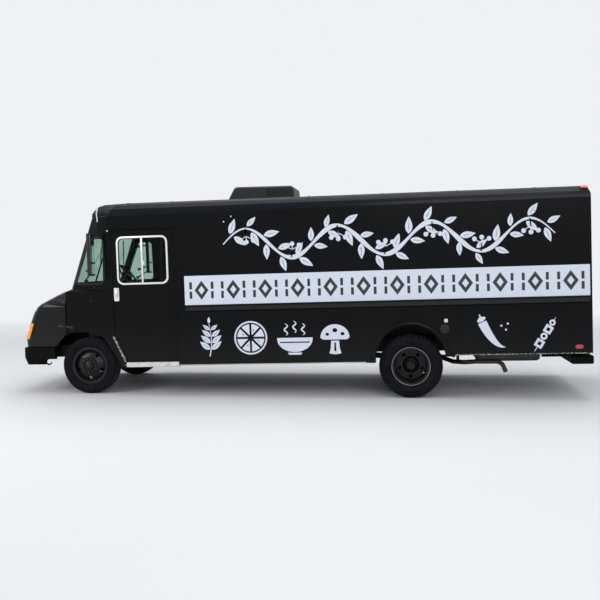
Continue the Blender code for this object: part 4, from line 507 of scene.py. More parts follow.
def tread_plate():
    """The floor's bare aluminium, checkered where it is walked on, with painted shade under it and in the
    wheel wells.
    """
    finish = Finish("tread_plate")
    x, y, _ = finish.axes()
    _, _, nz = finish.axes("Normal")
    run, cross = (x + y) * 21.0, (x - y) * 21.0
    row = ((run * pi).sine() * (cross * pi).sine()).size()
    raised = row.between(0.55, 0.85) * (nz > 0.5)
    scrape = finish.noise(30.0, 6.0, 0.62)
    finish.drive(
        colour=finish.mixed(scrape.between(0.4, 0.75), (0.47, 0.465, 0.45, 1), (0.24, 0.235, 0.225, 1)),
        roughness=0.34 + 0.3 * scrape, metallic=0.95 - 0.35 * scrape.between(0.5, 0.8),
        normal=finish.bump(raised, 0.5, 0.002),
    )

    # Painted shade: dull black with grit on the faces that look down and inside the wheel wells
    below = painted_shade_with_grit(20.0, grey(0.008), (0.026, 0.024, 0.020, 1), 0.75, 0.15)
    finish.slot_in(below, ((nz < -0.2) + in_wheel_well(finish)).clamped())
    return finish


def seat_vinyl():
    finish = Finish("seat_vinyl", {"Specular IOR Level": 0.4})
    hide = finish.node(
        "ShaderNodeTexVoronoi", {"feature": "DISTANCE_TO_EDGE"}, {"Vector": finish.place(), "Scale": 260.0},
    )
    wear = finish.noise(9.0, 5.0, 0.62)
    finish.drive(
        colour=finish.mixed(wear.between(0.4, 0.8), (0.018, 0.018, 0.020, 1), (0.052, 0.050, 0.048, 1)),
        roughness=0.42 + 0.22 * wear, normal=finish.bump(hide.at_most(0.12), 0.35, 0.0012),
    )
    return finish


def plain_vinyl(name, colour, shade, roughness=0.34):
    """Cut vinyl film: a little dust, a slight wave over the sheet metal."""
    finish = Finish(name, {"Coat Weight": 0.2, "Coat Roughness": 0.15})
    dust = finish.noise(5.0, 6.0, 0.62)
    fine = finish.noise(80.0, 3.0, 0.6)
    finish.drive(
        colour=finish.mixed((dust * 0.7 * fine).clamped(), colour, shade), roughness=roughness + 0.12 * dust,
        normal=finish.bump(finish.noise(1.6, 1.0, 0.4, (1, 1, 1.6)), 0.2, 0.004),
    )
    return finish


def lamp_lens(name, colour, deep, glow=0.0):
    """A moulded lens: ribs inside it, and a darker colour between them."""
    finish = Finish(name, {"Coat Weight": 0.8, "Coat Roughness": 0.03, "Emission Strength": glow})
    _, _, z = finish.axes()
    ribs = (z * 680.0).sine().between(-1.0, 1.0)
    cells = finish.noise(60.0, 2.0, 0.5)
    shade = finish.mixed(ribs * 0.5 + 0.2 * cells, colour, deep)
    finish.drive(
        colour=shade, glow=shade, roughness=0.10 + 0.12 * ribs, normal=finish.bump(ribs, 0.35, 0.0012),
    )
    return finish


def head_lens():
    """A sealed beam's fluted glass, with its bright reflector close behind."""
    finish = Finish("head_lens", {"Coat Weight": 1.0, "Coat Roughness": 0.02})
    _, y, z = finish.axes()
    flutes = (y * 420.0).sine().between(-1.0, 1.0)
    steps = (z * 210.0).sine().between(-0.2, 0.2)
    finish.drive(
        colour=finish.mixed(flutes * 0.6 + steps * 0.3, (0.80, 0.82, 0.84, 1), (0.42, 0.44, 0.46, 1)),
        metallic=0.55 + 0.3 * flutes, roughness=0.10 + 0.10 * steps,
        normal=finish.bump(flutes + steps, 0.6, 0.0016),
    )
    return finish


def mirror_glass():
    finish = Finish("mirror_glass", {"Specular IOR Level": 0.9})
    film = finish.noise(12.0, 5.0, 0.62)
    finish.drive(
        colour=finish.mixed(film * 0.5, (0.75, 0.77, 0.78, 1), (0.58, 0.60, 0.60, 1)),
        metallic=1.0 - 0.05 * film, roughness=0.02 + 0.05 * film,
    )
    return finish


def weathered_trim():
    """Old bright trim with the paint flaked off it in specks."""
    finish = Finish("weathered_trim", {"Specular IOR Level": 0.35})
    flakes = finish.noise(62.0, 5.0, 0.7).between(0.50, 0.56)
    dirt = finish.noise(12.0, 4.0, 0.6)
    finish.drive(
        colour=finish.mixed(flakes, (0.016, 0.016, 0.015, 1), (0.50, 0.49, 0.45, 1)), metallic=flakes * 0.5,
        roughness=0.45 + 0.3 * dirt, normal=finish.bump(flakes, 0.3, 0.0008),
    )
    return finish


def scuffed_sill():
    finish = Finish("scuffed_sill", {"Specular IOR Level": 0.4})
    scrape = finish.noise(24.0, 6.0, 0.68, (0.5, 1, 3.0))
    chips = finish.noise(70.0, 4.0, 0.65).between(0.60, 0.66)
    base = finish.mixed(scrape.between(0.42, 0.7), (0.80, 0.79, 0.74, 1), (0.46, 0.45, 0.41, 1))
    finish.drive(
        colour=finish.mixed(chips * 0.8, base, (0.10, 0.095, 0.085, 1)), metallic=0.25 + 0.2 * scrape,
        roughness=0.38 + 0.25 * scrape, normal=finish.bump(scrape, 0.3, 0.001),
    )
    return finish


# The metals: their colour, the colour where they are worn, the brushing's stretch, and the roughness
METALS = {
    "brushed_steel": ((0.53, 0.54, 0.545, 1), (0.36, 0.36, 0.355, 1), (1, 40, 40), 0.24),
    "bright_alloy": ((0.86, 0.86, 0.85, 1), (0.66, 0.66, 0.64, 1), (1, 6, 6), 0.20),
    "burnt_steel": ((0.085, 0.070, 0.058, 1), (0.045, 0.028, 0.018, 1), (2, 2, 2), 0.5),
    "wheel_fittings": ((0.050, 0.051, 0.054, 1), (0.022, 0.021, 0.020, 1), (3, 3, 3), 0.38),
    "worn_edge": ((0.30, 0.31, 0.32, 1), grey(0.10), (2, 2, 2), 0.40),
    "rim_black": ((0.060, 0.062, 0.066, 1), grey(0.020), (2, 2, 2), 0.42),
    "tank_grey": ((0.105, 0.112, 0.120, 1), grey(0.055), (1, 5, 5), 0.45),
    "skirt_edge": ((0.60, 0.60, 0.58, 1), (0.20, 0.195, 0.18, 1), (1, 5, 5), 0.36),
}

MAKERS = {
    "enamel": enamel,
    "enamel_lined": lambda: enamel("enamel_lined", lined=True),
    "wheel_enamel": lambda: enamel("wheel_enamel", dust=(0.0, 1.4), warm=0.35, gloss=0.2, coat=0.1),
    "hood_enamel": lambda: enamel("hood_enamel", gloss=0.16, coat=0.18),
    "roof_skin": roof_skin,
    "rail_black": lambda: moulded_black("rail_black", 0.0045, 0.34, 0.26, 0.06),
    "bumper_black": lambda: moulded_black("bumper_black", 0.0022, 0.50, 0.06, 0.04),
    "chassis_black": chassis_black,
    "moulded_black": moulded_black,
    "soft_black": lambda: moulded_black("soft_black", 0.006, 0.62),
    "dashboard_black": lambda: moulded_black("dashboard_black", 0.016, 0.55),
    "cast_iron": cast_iron,
    "safety_glass": safety_glass,
    "tyre_rubber": tyre_rubber,
    "steer_tyre": lambda: tyre_rubber("steer_tyre", "front_tyre_left", FRONT_TYRE),
    "drive_tyre": lambda: tyre_rubber("drive_tyre", "rear_tyre_left_outer", REAR_TYRE),
    "inside_paint": inside_paint,
    "tread_plate": tread_plate,
    "seat_vinyl": seat_vinyl,
    "white_vinyl": lambda: plain_vinyl("white_vinyl", tuple(colours().vinyl), (0.52, 0.54, 0.58, 1)),
    "black_vinyl": lambda: plain_vinyl("black_vinyl", (0.006, 0.006, 0.007, 1), (0.03, 0.03, 0.028, 1), 0.3),
    "bare_plate": lambda: plain_vinyl("bare_plate", (0.72, 0.73, 0.74, 1), (0.45, 0.45, 0.44, 1), 0.4),
    "amber_lens": lambda: lamp_lens("amber_lens", tuple(colours().amber), (0.70, 0.14, 0.006, 1), 0.12),
    "red_lens": lambda: lamp_lens("red_lens", tuple(colours().red), (0.25, 0.004, 0.010, 1), 0.05),
    "white_lens": lambda: lamp_lens("white_lens", (0.80, 0.80, 0.78, 1), (0.50, 0.50, 0.50, 1)),
    "mirror_glass": mirror_glass,
    "weathered_trim": weathered_trim,
    "scuffed_sill": scuffed_sill,
    "head_lens": head_lens,
}

# The finish of each of the record's material slots, and of the nodes that differ from their slot
SLOT_FINISHES = {
    "black_paint": "enamel", "roof_paint": "roof_skin", "chassis_paint": "chassis_black",
    "black_plastic": "moulded_black", "steel": "brushed_steel", "aluminium": "tread_plate",
    "cast_iron": "cast_iron", "glass": "safety_glass", "tyre": "tyre_rubber", "interior": "inside_paint",
    "seat_vinyl": "seat_vinyl",
}
NODE_FINISHES = {
    "left_wall": "enamel_lined", "right_wall": "enamel_lined", "rear_frame": "enamel_lined",
    "serving_hatch": "enamel_lined", "dashboard": "dashboard_black", "hood": "hood_enamel",
    "front_bumper": "bumper_black", "rear_bumper": "bumper_black", "exhaust": "burnt_steel",
    "fuel_tank": "tank_grey",
    **{f"front_rim_{name}": "wheel_enamel" for _, name in SIDES},
    **{f"rear_rims_{name}": "wheel_enamel" for _, name in SIDES},
}


# Making pieces


def place_on_body(x, y, z):
    return BODY @ Vector((x, y, z))


def piece(name, mesh, finish_name, body="root", smooth=40):
    """A finished piece: its mesh holds its place, it has its material, and it rides on its body."""
    if isinstance(mesh, bmesh.types.BMesh):
        made = bpy.data.meshes.new(name)
        mesh.to_mesh(made)
        mesh.free()
        mesh = made
    mesh.name = name
    obj = bpy.data.objects.new(name, mesh)
    bpy.context.scene.collection.objects.link(obj)
    mesh.materials.clear()
    mesh.materials.append(finish_named(finish_name))
    mesh.shade_smooth()
    mesh.set_sharp_from_angle(angle=radians(smooth))
    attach(obj, body)
    return obj


def bevelled(bm, width, segments=2, edges=None):
    edges = edges or [e for e in bm.edges if e.is_manifold and e.calc_face_angle(0) > radians(35)]
    bmesh.ops.bevel(
        bm, geom=edges, offset=width, segments=segments, profile=0.6, affect="EDGES", clamp_overlap=True,
    )
    return bm


def block(x, y, z, round_off=0.0, segments=2):
    """A box between two corners in the body's axes, with rounded edges."""
    bm = bmesh.new()
    sizes_ = [abs(b - a) for a, b in (x, y, z)]
    middle = [(a + b) / 2 for a, b in (x, y, z)]
    bmesh.ops.create_cube(bm, size=1, matrix=Matrix.Translation(middle) @ Matrix.Diagonal((*sizes_, 1)))
    if round_off:
        bevelled(bm, round_off, segments)
    bm.transform(BODY)
    return bm


def merged(*parts):
    """One mesh of several, each as it is."""
    whole = bmesh.new()
    for part in parts:
        held = bpy.data.meshes.new("held")
        part.to_mesh(held)
        part.free()
        whole.from_mesh(held)
        bpy.data.meshes.remove(held)
    return whole


def round_corners(corners, segments=5):
    """A closed outline of (u, v, radius) corners, each rounded off."""
    outline = []
    count = len(corners)
    for i, (u, v, radius) in enumerate(corners):
        here = Vector((u, v))
        if radius <= 0:
            outline.append(here)
            continue
        before, after = Vector(corners[i - 1][:2]) - here, Vector(corners[(i + 1) % count][:2]) - here
        half = before.angle(after) / 2
        reach = radius / max(abs(sin(half) / cos(half)), 1e-6)
        start, end = here + before.normalized() * reach, here + after.normalized() * reach
        centre = here + (before.normalized() + after.normalized()).normalized() * (radius / sin(half))
        for step in range(segments + 1):
            share = step / segments
            arm = (start - centre).lerp(end - centre, share)
            outline.append(centre + arm.normalized() * radius)
    return outline


def rounded_window(u0, u1, v0, v1, radius, segments=5):
    return round_corners([(u0, v0, radius), (u1, v0, radius), (u1, v1, radius), (u0, v1, radius)], segments)


def prism(outline, low, high, to_place, holes=()):
    """A flat solid: an outline with holes, drawn out between two depths, at to_place(u, v, depth)."""
    loops = [list(outline), *[list(hole) for hole in holes]]
    flat = [Vector((p[0], p[1], 0)) for loop in loops for p in loop]
    faces = tessellate_polygon([[Vector((p[0], p[1], 0)) for p in loop] for loop in loops])
    bm = bmesh.new()
    bottom = [bm.verts.new(to_place(p.x, p.y, low)) for p in flat]
    top = [bm.verts.new(to_place(p.x, p.y, high)) for p in flat]
    for face in faces:
        bm.faces.new([top[i] for i in face])
        bm.faces.new([bottom[i] for i in reversed(face)])
    start = 0
    for loop in loops:
        count = len(loop)
        for i in range(count):
            a, b = start + i, start + (i + 1) % count
            bm.faces.new((bottom[a], bottom[b], top[b], top[a]))
        start += count
    bmesh.ops.recalc_face_normals(bm, faces=bm.faces)
    return bm


def rectangle(u0, u1, v0, v1):
    return [Vector(p) for p in ((u0, v0), (u1, v0), (u1, v1), (u0, v1))]


def window(spans, grow, radius, segments=5):
    """A rounded outline round (u0, u1, v0, v1), that much larger on every side."""
    u0, u1, v0, v1 = spans
    return rounded_window(u0 - grow, u1 + grow, v0 - grow, v1 + grow, radius, segments)


def panel(spans, radius, depth, place, edge=0.0, segments=4, edge_segments=1, holes=()):
    """A flat piece with rounded corners and, with an edge, softened edges."""
    made = prism(rounded_window(*spans, radius, segments), *depth, place, holes)
    return bevelled(made, edge, edge_segments) if edge else made


# Ways to place (u, v, depth), the depth outwards from the face


def on_side(side, face=WALL_Y):
    """(x, z, depth) on a flat side of the body."""
    return lambda u, v, depth: place_on_body(u, side * (face + depth), v)


def on_cross(x, way):
    """(y, z, depth) on a plane across the body that looks ahead, or with way -1 astern."""
    return lambda u, v, depth: place_on_body(x + way * depth, u, v)


def on_top(z):
    """(x, y, depth) on a level face."""
    return lambda u, v, depth: place_on_body(u, v, z + depth)


def flat(u, v, depth):
    """Nowhere on the body: about the piece's own origin."""
    return Vector((u, v, depth))


on_rear = on_cross(WALL_REAR_X, -1)


def bridged(bm, rings, closed):
    """Joins rings of equally many corners with faces."""
    for a, b in zip(rings, rings[1:] + (rings[:1] if closed else [])):
        for s in range(len(a)):
            t = (s + 1) % len(a)
            bm.faces.new((a[s], a[t], b[t], b[s]))


def swept(points, radius, sides=8, closed=False, flat=1.0, up=None):
    """A tube along points, round or, with flat under 1, squashed across its up direction."""
    points = [Vector(p) for p in points]
    count = len(points)
    bm = bmesh.new()
    rings = []
    normal = None
    for i, here in enumerate(points):
        before = points[i - 1] if i or closed else here
        after = points[(i + 1) % count] if i < count - 1 or closed else here
        along = (after - before).normalized()
        if up is not None:
            normal = Vector(up)
        elif normal is None:
            normal = Vector((0, 0, 1)) if abs(along.z) < 0.9 else Vector((1, 0, 0))
        normal = (normal - along * normal.dot(along)).normalized()
        across = along.cross(normal)
        size = radius[i] if isinstance(radius, (list, tuple)) else radius
        turns = [tau * s / sides for s in range(sides)]
        rings.append([bm.verts.new(here + (normal * cos(t) * flat + across * sin(t)) * size) for t in turns])
    bridged(bm, rings, closed)
    if not closed:
        bm.faces.new(rings[0])
        bm.faces.new(list(reversed(rings[-1])))
    bmesh.ops.recalc_face_normals(bm, faces=bm.faces)
    return bm


def tube(points, place, radius, sides=8, **more):
    """A tube along points that place() puts on the body."""
    return swept([place(*p) for p in points], radius, sides, **more)


def turned(profile, centre, axis, steps=32):
    """A profile of (along, radius) turned about an axis; it may start and end on the axis."""
    axis = Vector(axis).normalized()
    side = axis.orthogonal().normalized()
    other = axis.cross(side)
    centre = Vector(centre)
    bm = bmesh.new()
    rings = []
    for along, radius in profile:
        middle = centre + axis * along
        if radius < 1e-6:
            rings.append([bm.verts.new(middle)])
        else:
            turns = [tau * s / steps for s in range(steps)]
            rings.append([bm.verts.new(middle + (side * cos(t) + other * sin(t)) * radius) for t in turns])
    closed = len(rings[0]) > 1 and len(rings[-1]) > 1
    for a, b in zip(rings, rings[1:] + (rings[:1] if closed else [])):
        for s in range(steps):
            t = (s + 1) % steps
            if len(a) > 1 and len(b) > 1:
                bm.faces.new((a[s], a[t], b[t], b[s]))
            elif len(b) > 1:
                bm.faces.new((a[0], b[t], b[s]))
            elif len(a) > 1:
                bm.faces.new((a[s], a[t], b[0]))
    bmesh.ops.recalc_face_normals(bm, faces=bm.faces)
    return bm


TREES = {}


def skin_of(node):
    """A CAD node's surface, to be cast on."""
    if node not in TREES:
        mesh = NODES[node].data
        TREES[node] = BVHTree.FromPolygons([v.co for v in mesh.vertices], [p.vertices for p in mesh.polygons])
    return TREES[node]


def touch(nodes, start, towards):
    """Where a ray from start first meets one of the nodes, and the surface's direction there."""
    towards = Vector(towards).normalized()
    hits = [skin_of(node).ray_cast(Vector(start), towards) for node in nodes]
    hits = [hit for hit in hits if hit[0] is not None]
    if not hits:
        raise RuntimeError(f"nothing of {nodes} lies ahead of {tuple(start)}")
    place, normal, _, _ = min(hits, key=lambda hit: hit[3])
    return place, normal if normal.dot(towards) < 0 else -normal


def touch_side(nodes, side, u, v):
    return touch(nodes, place_on_body(u, side * BESIDE_Y, v), (0, -side, 0))


def touch_front(nodes, u, v):
    return touch(nodes, place_on_body(BEFORE_X, u, v), ASTERN)


def lifted(spots, heights):
    """Places above spots of (place, normal) by one height, or by a height each."""
    if not isinstance(heights, (list, tuple)):
        heights = [heights] * len(spots)
    return [place + normal * height for (place, normal), height in zip(spots, heights)]


def patch(node, wanted, lift, thickness):
    """A thin shell over the faces of a CAD node that wanted(middle, normal) picks, lifted off them."""
    mesh = NODES[node].data
    bm = bmesh.new()
    made = {}
    for polygon in mesh.polygons:
        if wanted(polygon.center, polygon.normal):
            corners = []
            for index in polygon.vertices:
                co = mesh.vertices[index].co
                key = tuple(round(c, 5) for c in co)
                if key not in made:
                    made[key] = bm.verts.new(co)
                corners.append(made[key])
            if len(set(corners)) == len(corners):
                bm.faces.new(corners)
    if not bm.faces:
        raise RuntimeError(f"no face of {node} was picked")
    bm.normal_update()
    normals = {v: v.normal.copy() for v in bm.verts}
    for v, normal in normals.items():
        v.co += normal * lift
    outer = list(bm.faces)
    inner = bmesh.ops.duplicate(bm, geom=outer + list(bm.verts))
    pairs = {old: new for old, new in inner["vert_map"].items() if old in normals}
    rim = {e for f in outer for e in f.edges if len([g for g in e.link_faces if g in outer]) == 1}
    for old in pairs:
        old.co += normals[old] * thickness
    for edge in rim:
        a, b = edge.verts
        bm.faces.new((a, b, pairs[b], pairs[a]))
    bmesh.ops.recalc_face_normals(bm, faces=bm.faces)
    return bm


# Geometry Nodes: pieces set out along a line


def row_tree():
    """A node group that sets copies of a piece along the modified line, and gives them a material.

    Facing is the way that each copy's top looks; with Radial at 1 it looks away from Centre instead.
    """
    if "pieces_in_a_row" in bpy.data.node_groups:
        return bpy.data.node_groups["pieces_in_a_row"]
    tree = bpy.data.node_groups.new("pieces_in_a_row", "GeometryNodeTree")
    sockets = (
        ("Line", "INPUT", "NodeSocketGeometry"), ("Piece", "INPUT", "NodeSocketObject"),
        ("Pitch", "INPUT", "NodeSocketFloat"), ("Facing", "INPUT", "NodeSocketVector"),
        ("Centre", "INPUT", "NodeSocketVector"), ("Radial", "INPUT", "NodeSocketFloat"),
        ("Turn", "INPUT", "NodeSocketFloat"), ("Uneven", "INPUT", "NodeSocketFloat"),
        ("Seed", "INPUT", "NodeSocketInt"), ("Finish", "INPUT", "NodeSocketMaterial"),
        ("Pieces", "OUTPUT", "NodeSocketGeometry"),
    )
    for name, way, kind in sockets:
        tree.interface.new_socket(name, in_out=way, socket_type=kind)

    def node(kind, settings=None, inputs=None):
        made = tree.nodes.new(kind)
        for name, value in (settings or {}).items():
            setattr(made, name, value)
        for name, value in (inputs or {}).items():
            if isinstance(value, bpy.types.NodeSocket):
                tree.links.new(value, made.inputs[name])
            else:
                made.inputs[name].default_value = value
        return made

    given = node("NodeGroupInput").outputs
    line = node("GeometryNodeMeshToCurve", inputs={"Mesh": given["Line"]})
    spaced = node(
        "GeometryNodeResampleCurve", {"mode": "LENGTH"}, {"Curve": line.outputs[0], "Length": given["Pitch"]},
    )
    tangent = node("GeometryNodeInputTangent")
    position = node("GeometryNodeInputPosition")
    away = node(
        "ShaderNodeVectorMath", {"operation": "SUBTRACT"}, {0: position.outputs[0], 1: given["Centre"]},
    )
    facing = node("ShaderNodeMix", {"data_type": "VECTOR"},
                  {0: given["Radial"], 4: given["Facing"], 5: away.outputs[0]})
    stand = node("FunctionNodeAlignRotationToVector", {"axis": "Z"}, {"Vector": facing.outputs[1]})
    aim = node("FunctionNodeAlignRotationToVector", {"axis": "X", "pivot_axis": "Z"},
               {"Rotation": stand.outputs[0], "Vector": tangent.outputs[0]})
    spin = node("ShaderNodeCombineXYZ", inputs={"Z": given["Turn"]})
    spun = node("FunctionNodeRotateRotation", {"rotation_space": "LOCAL"},
                {"Rotation": aim.outputs[0], "Rotate By": spin.outputs[0]})
    chance = node("FunctionNodeRandomValue", {"data_type": "FLOAT"}, {"Seed": given["Seed"]})
    chance.inputs[2].default_value, chance.inputs[3].default_value = -1.0, 1.0
    swing = node(
        "ShaderNodeMath", {"operation": "MULTIPLY_ADD"}, {0: chance.outputs[1], 1: given["Uneven"], 2: 1.0},
    )
    shape = node("GeometryNodeObjectInfo", {"transform_space": "ORIGINAL"}, {"Object": given["Piece"]})
    points = node("GeometryNodeCurveToPoints", {"mode": "EVALUATED"}, {"Curve": spaced.outputs[0]})
    held = node("GeometryNodeStoreNamedAttribute", {"data_type": "QUATERNION", "domain": "POINT"},
                {"Geometry": spaced.outputs[0], "Name": "aim", "Value": spun.outputs[0]})
    tree.links.new(held.outputs[0], points.inputs["Curve"])
    aimed = node("GeometryNodeInputNamedAttribute", {"data_type": "QUATERNION"}, {"Name": "aim"})
    copies = node("GeometryNodeInstanceOnPoints", inputs={
        "Points": points.outputs[0], "Instance": shape.outputs["Geometry"], "Rotation": aimed.outputs[0],
        "Scale": swing.outputs[0],
    })
    real = node("GeometryNodeRealizeInstances", inputs={"Geometry": copies.outputs[0]})
    painted = node(
        "GeometryNodeSetMaterial", inputs={"Geometry": real.outputs[0], "Material": given["Finish"]},
    )
    out = node("NodeGroupOutput")
    tree.links.new(painted.outputs[0], out.inputs[0])
    return tree


def in_rows(
    lines, shape, pitch, finish_name, facing=(0, 0, 1), centre=None, turn=0.0, uneven=0.0, seed=1,
    closed=False,
):
    """Copies of a shape, a bmesh about its own origin with its top along z, set along lines of places."""
    pattern = bpy.data.meshes.new("pattern")
    shape.to_mesh(pattern)
    shape.free()
    model = bpy.data.objects.new("pattern", pattern)
    bpy.context.scene.collection.objects.link(model)
    bm = bmesh.new()
    for line in lines:
        made = [bm.verts.new(p) for p in line]
        pairs = list(zip(made, made[1:])) + ([(made[-1], made[0])] if closed else [])
        for a, b in pairs:
            bm.edges.new((a, b))
    rail = bpy.data.meshes.new("rail")
    bm.to_mesh(rail)
    bm.free()
    carrier = bpy.data.objects.new("rail", rail)
    bpy.context.scene.collection.objects.link(carrier)
    modifier = carrier.modifiers.new("rows", "NODES")
    tree = row_tree()
    modifier.node_group = tree
    values = {
        "Piece": model, "Pitch": pitch, "Facing": Vector(facing), "Centre": Vector(centre or (0, 0, 0)),
        "Radial": 1.0 if centre is not None else 0.0, "Turn": turn, "Uneven": uneven, "Seed": seed,
        "Finish": finish_named(finish_name),
    }
    for item in tree.interface.items_tree:
        if item.in_out == "INPUT" and item.name in values:
            modifier[item.identifier] = values[item.name]
    graph = bpy.context.evaluated_depsgraph_get()
    graph.update()
    mesh = bpy.data.meshes.new_from_object(carrier.evaluated_get(graph))
    carrier.modifiers.remove(modifier)
    for obj, data in ((carrier, rail), (model, pattern)):
        bpy.data.objects.remove(obj)
        bpy.data.meshes.remove(data)
    if not mesh.polygons:
        raise RuntimeError("a row came out empty")
    return mesh


def as_bmesh(mesh):
    bm = bmesh.new()
    bm.from_mesh(mesh)
    bpy.data.meshes.remove(mesh)
    return bm


def head_of(profile, sides):
    """A turned head that stands on z = 0, to be set out in rows."""
    return turned(profile, (0, 0, 0), (0, 0, 1), sides)


def dome(radius, height, sides=8):
    """A rivet's or screw's head."""
    return head_of([(-0.0005, 0), (-0.0005, radius), (height * 0.35, radius), (height * 0.8, radius * 0.72),
                    (height, 0)], sides)


def hexagon(across, height, stud=0.0, stud_radius=0.0):
    """A nut with chamfered corners, and the end of its stud."""
    radius = across / 2 / cos(pi / 6)
    parts = [
        head_of(
            [(-0.001, 0), (-0.001, radius), (height * 0.85, radius), (height, radius * 0.86), (height, 0)], 6,
        )
    ]
    if stud:
        low = height - 0.002
        parts.append(head_of([(low, 0), (low, stud_radius), (low + stud, stud_radius),
                              (height + stud, stud_radius * 0.75), (height + stud, 0)], 8))
    return merged(*parts)


def ring_of(shape, centre, axis, radius, count, finish_name, outward=False, turn=0.0):
    """Copies of a shape on a ring, one to a side; their tops look along the axis or, outward, from it."""
    axis = Vector(axis).normalized()
    side = axis.orthogonal().normalized()
    other = axis.cross(side)
    turns = [tau * i / count for i in range(count)]
    places = [Vector(centre) + (side * cos(t) + other * sin(t)) * radius for t in turns]
    pitch = 2 * radius * sin(pi / count)
    mesh = in_rows(
        [places], shape, pitch, finish_name, facing=axis, centre=centre if outward else None, closed=True,
        turn=turn,
    )
    return as_bmesh(mesh)


def rivets(
    name, lines, head, pitch, facing, finish_name="enamel", body="root", smooth=30,
):
    """A piece of heads set out along lines."""
    piece(name, in_rows(lines, head, pitch, finish_name, facing=facing), finish_name, body, smooth)


# Pieces, one Operator each


class TRUCK_OT_paint(bpy.types.Operator):
    """Give every node of the frame its finish"""

    bl_idname = "truck.paint_frame"
    bl_label = "Paint the frame"

    def execute(self, context):
        slot_of = {
            node: entry["slot"]
            for entry in frame["record"]["materials"]
            for node in entry.get("nodes", [])
        }
        for name, obj in NODES.items():
            slot = slot_of.get(name) or obj.data.materials[0].name.split(".")[0]
            finish_name = NODE_FINISHES.get(name) or SLOT_FINISHES[slot]
            for held in obj.material_slots:
                held.material = finish_named(finish_name)
        return {"FINISHED"}


def mirrored_profile(half):
    return half + [(-along, radius) for along, radius in reversed(half)]


def rib_tyre(centre, side):
    """A highway tyre: ringed sidewalls and a tread of five ribs with grooves between."""
    radius = FRONT_TYRE
    wall = [
        (0.0842, RIM_SEAT + 0.001), (0.0845, 0.262), (0.092, 0.270), (0.0965, 0.281), (0.1015, 0.289),
        (0.1022, 0.292),
        (0.1052, 0.300), (0.1085, 0.312), (0.1108, 0.326), (0.1122, 0.334), (0.1130, 0.337), (0.1130, 0.343),
        (0.1119, 0.346), (0.1106, 0.358), (0.1112, 0.361), (0.1108, 0.366), (0.1088, 0.368), (0.1052, 0.380),
        (0.1000, 0.390), (0.0925, 0.3975), (0.0885, radius - 0.0045),
    ]
    half_top, half_foot, depth = 0.0065, 0.0045, 0.0115
    for groove in (0.061, 0.0215):
        crown = radius - 0.0035 * (groove / 0.09) ** 2
        wall += [(groove + half_top, crown), (groove + half_foot, crown - depth),
                 (groove - half_foot, crown - depth), (groove - half_top, crown)]
    return turned(mirrored_profile(wall), centre, (0, side, 0), 96)


def lug_carcass(centre, side):
    radius = REAR_TYRE
    base = radius - sizes().tread_depth
    wall = [
        (0.0842, RIM_SEAT + 0.001), (0.0845, 0.262), (0.092, 0.270), (0.0975, 0.284), (0.1035, 0.291),
        (0.1042, 0.294),
        (0.1070, 0.304), (0.1102, 0.322), (0.1118, 0.336), (0.1128, 0.340), (0.1128, 0.348), (0.1115, 0.352),
        (0.1098, 0.366), (0.1072, 0.380), (0.1020, 0.394), (0.0945, base - 0.006), (0.080, base - 0.001),
        (0.030, base),
    ]
    return turned(mirrored_profile(wall), centre, (0, side, 0), 96)


def tread_block(length, width, height, skew=0.0, drop=0.0):
    """A tread block: along x round the tyre, its top on z, an end skewed, a side dropped for a shoulder."""
    bm = bmesh.new()
    corners = []
    for level, shrink in ((-0.006, 1.0), (height, 0.90)):
        for sx, sy in ((-1, -1), (1, -1), (1, 1), (-1, 1)):
            sink = drop if sy > 0 and level > 0 else 0.0
            corners.append(
                bm.verts.new((sx * length / 2 * shrink + sy * skew, sy * width / 2 * shrink, level - sink))
            )
    for face in ((3, 2, 1, 0), (4, 5, 6, 7), (0, 1, 5, 4), (1, 2, 6, 5), (2, 3, 7, 6), (3, 0, 4, 7)):
        bm.faces.new([corners[i] for i in face])
    return bm


def lug_tyre(centre, side):
    """A drive tyre: a round carcass under rings of tread blocks, with lugs down its shoulders."""
    radius = REAR_TYRE
    depth, count = sizes().tread_depth, sizes().tread_blocks
    base = radius - depth
    step = 2 * pi * base / count
    parts = [lug_carcass(centre, side)]
    # Where across the tread, width, skew, drop to the outside, height over the others
    for y, width, skew, drop, lift in (
        (0.0825, 0.037, 0.004, 0.0075, -0.0022), (0.045, 0.030, -0.006, 0.0, -0.0008),
        (0.0, 0.046, 0.008, 0.0, 0.0),
        (-0.045, 0.030, -0.006, 0.0, -0.0008), (-0.0825, 0.037, -0.004, 0.0075, -0.0022),
    ):
        block_ = tread_block(step * 0.70, width, depth + lift, skew, drop)
        middle = Vector(centre) + Vector((0, side * y, 0))
        # Half a turn puts the dropped side of a block on the outside of the other shoulder
        parts.append(
            ring_of(block_, middle, (0, 1, 0), base, count, "tyre_rubber", True, 0.0 if side * y >= 0 else pi)
        )
    # Large lugs and small ones: length, width, height, how far in from the tread, how far out
    for way in (1, -1):
        out = Vector((0, side * way, 0))
        for share, width, height, reach, shift in (
            (0.58, 0.030, 0.0098, 0.030, 0.098), (0.36, 0.018, 0.0062, 0.052, 0.1035),
        ):
            lug = tread_block(step * share, width, height, 0.004)
            parts.append(
                ring_of(lug, Vector(centre) + out * shift, out, radius - reach, count, "tyre_rubber")
            )
    return merged(*parts)


class TRUCK_OT_tyres(bpy.types.Operator):
    """Put treaded tyres on the rims in place of the frame's plain ones"""

    bl_idname = "truck.fit_tyres"
    bl_label = "Fit the tyres"

    def execute(self, context):
        for side, name in SIDES:
            tyres = [(f"front_tyre_{name}", f"wheel_front_{name}", rib_tyre, "steer_tyre")]
            tyres += [
                (f"rear_tyre_{name}_{row}", f"wheel_rear_{name}", lug_tyre, "drive_tyre")
                for row in ("outer", "inner")
            ]
            for node, body, make, finish_name in tyres:
                tyre = piece(
                    f"treaded_{node}", make(middle_of(node), side), finish_name, body, smooth=32,
                )
                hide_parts(node)
        return {"FINISHED"}


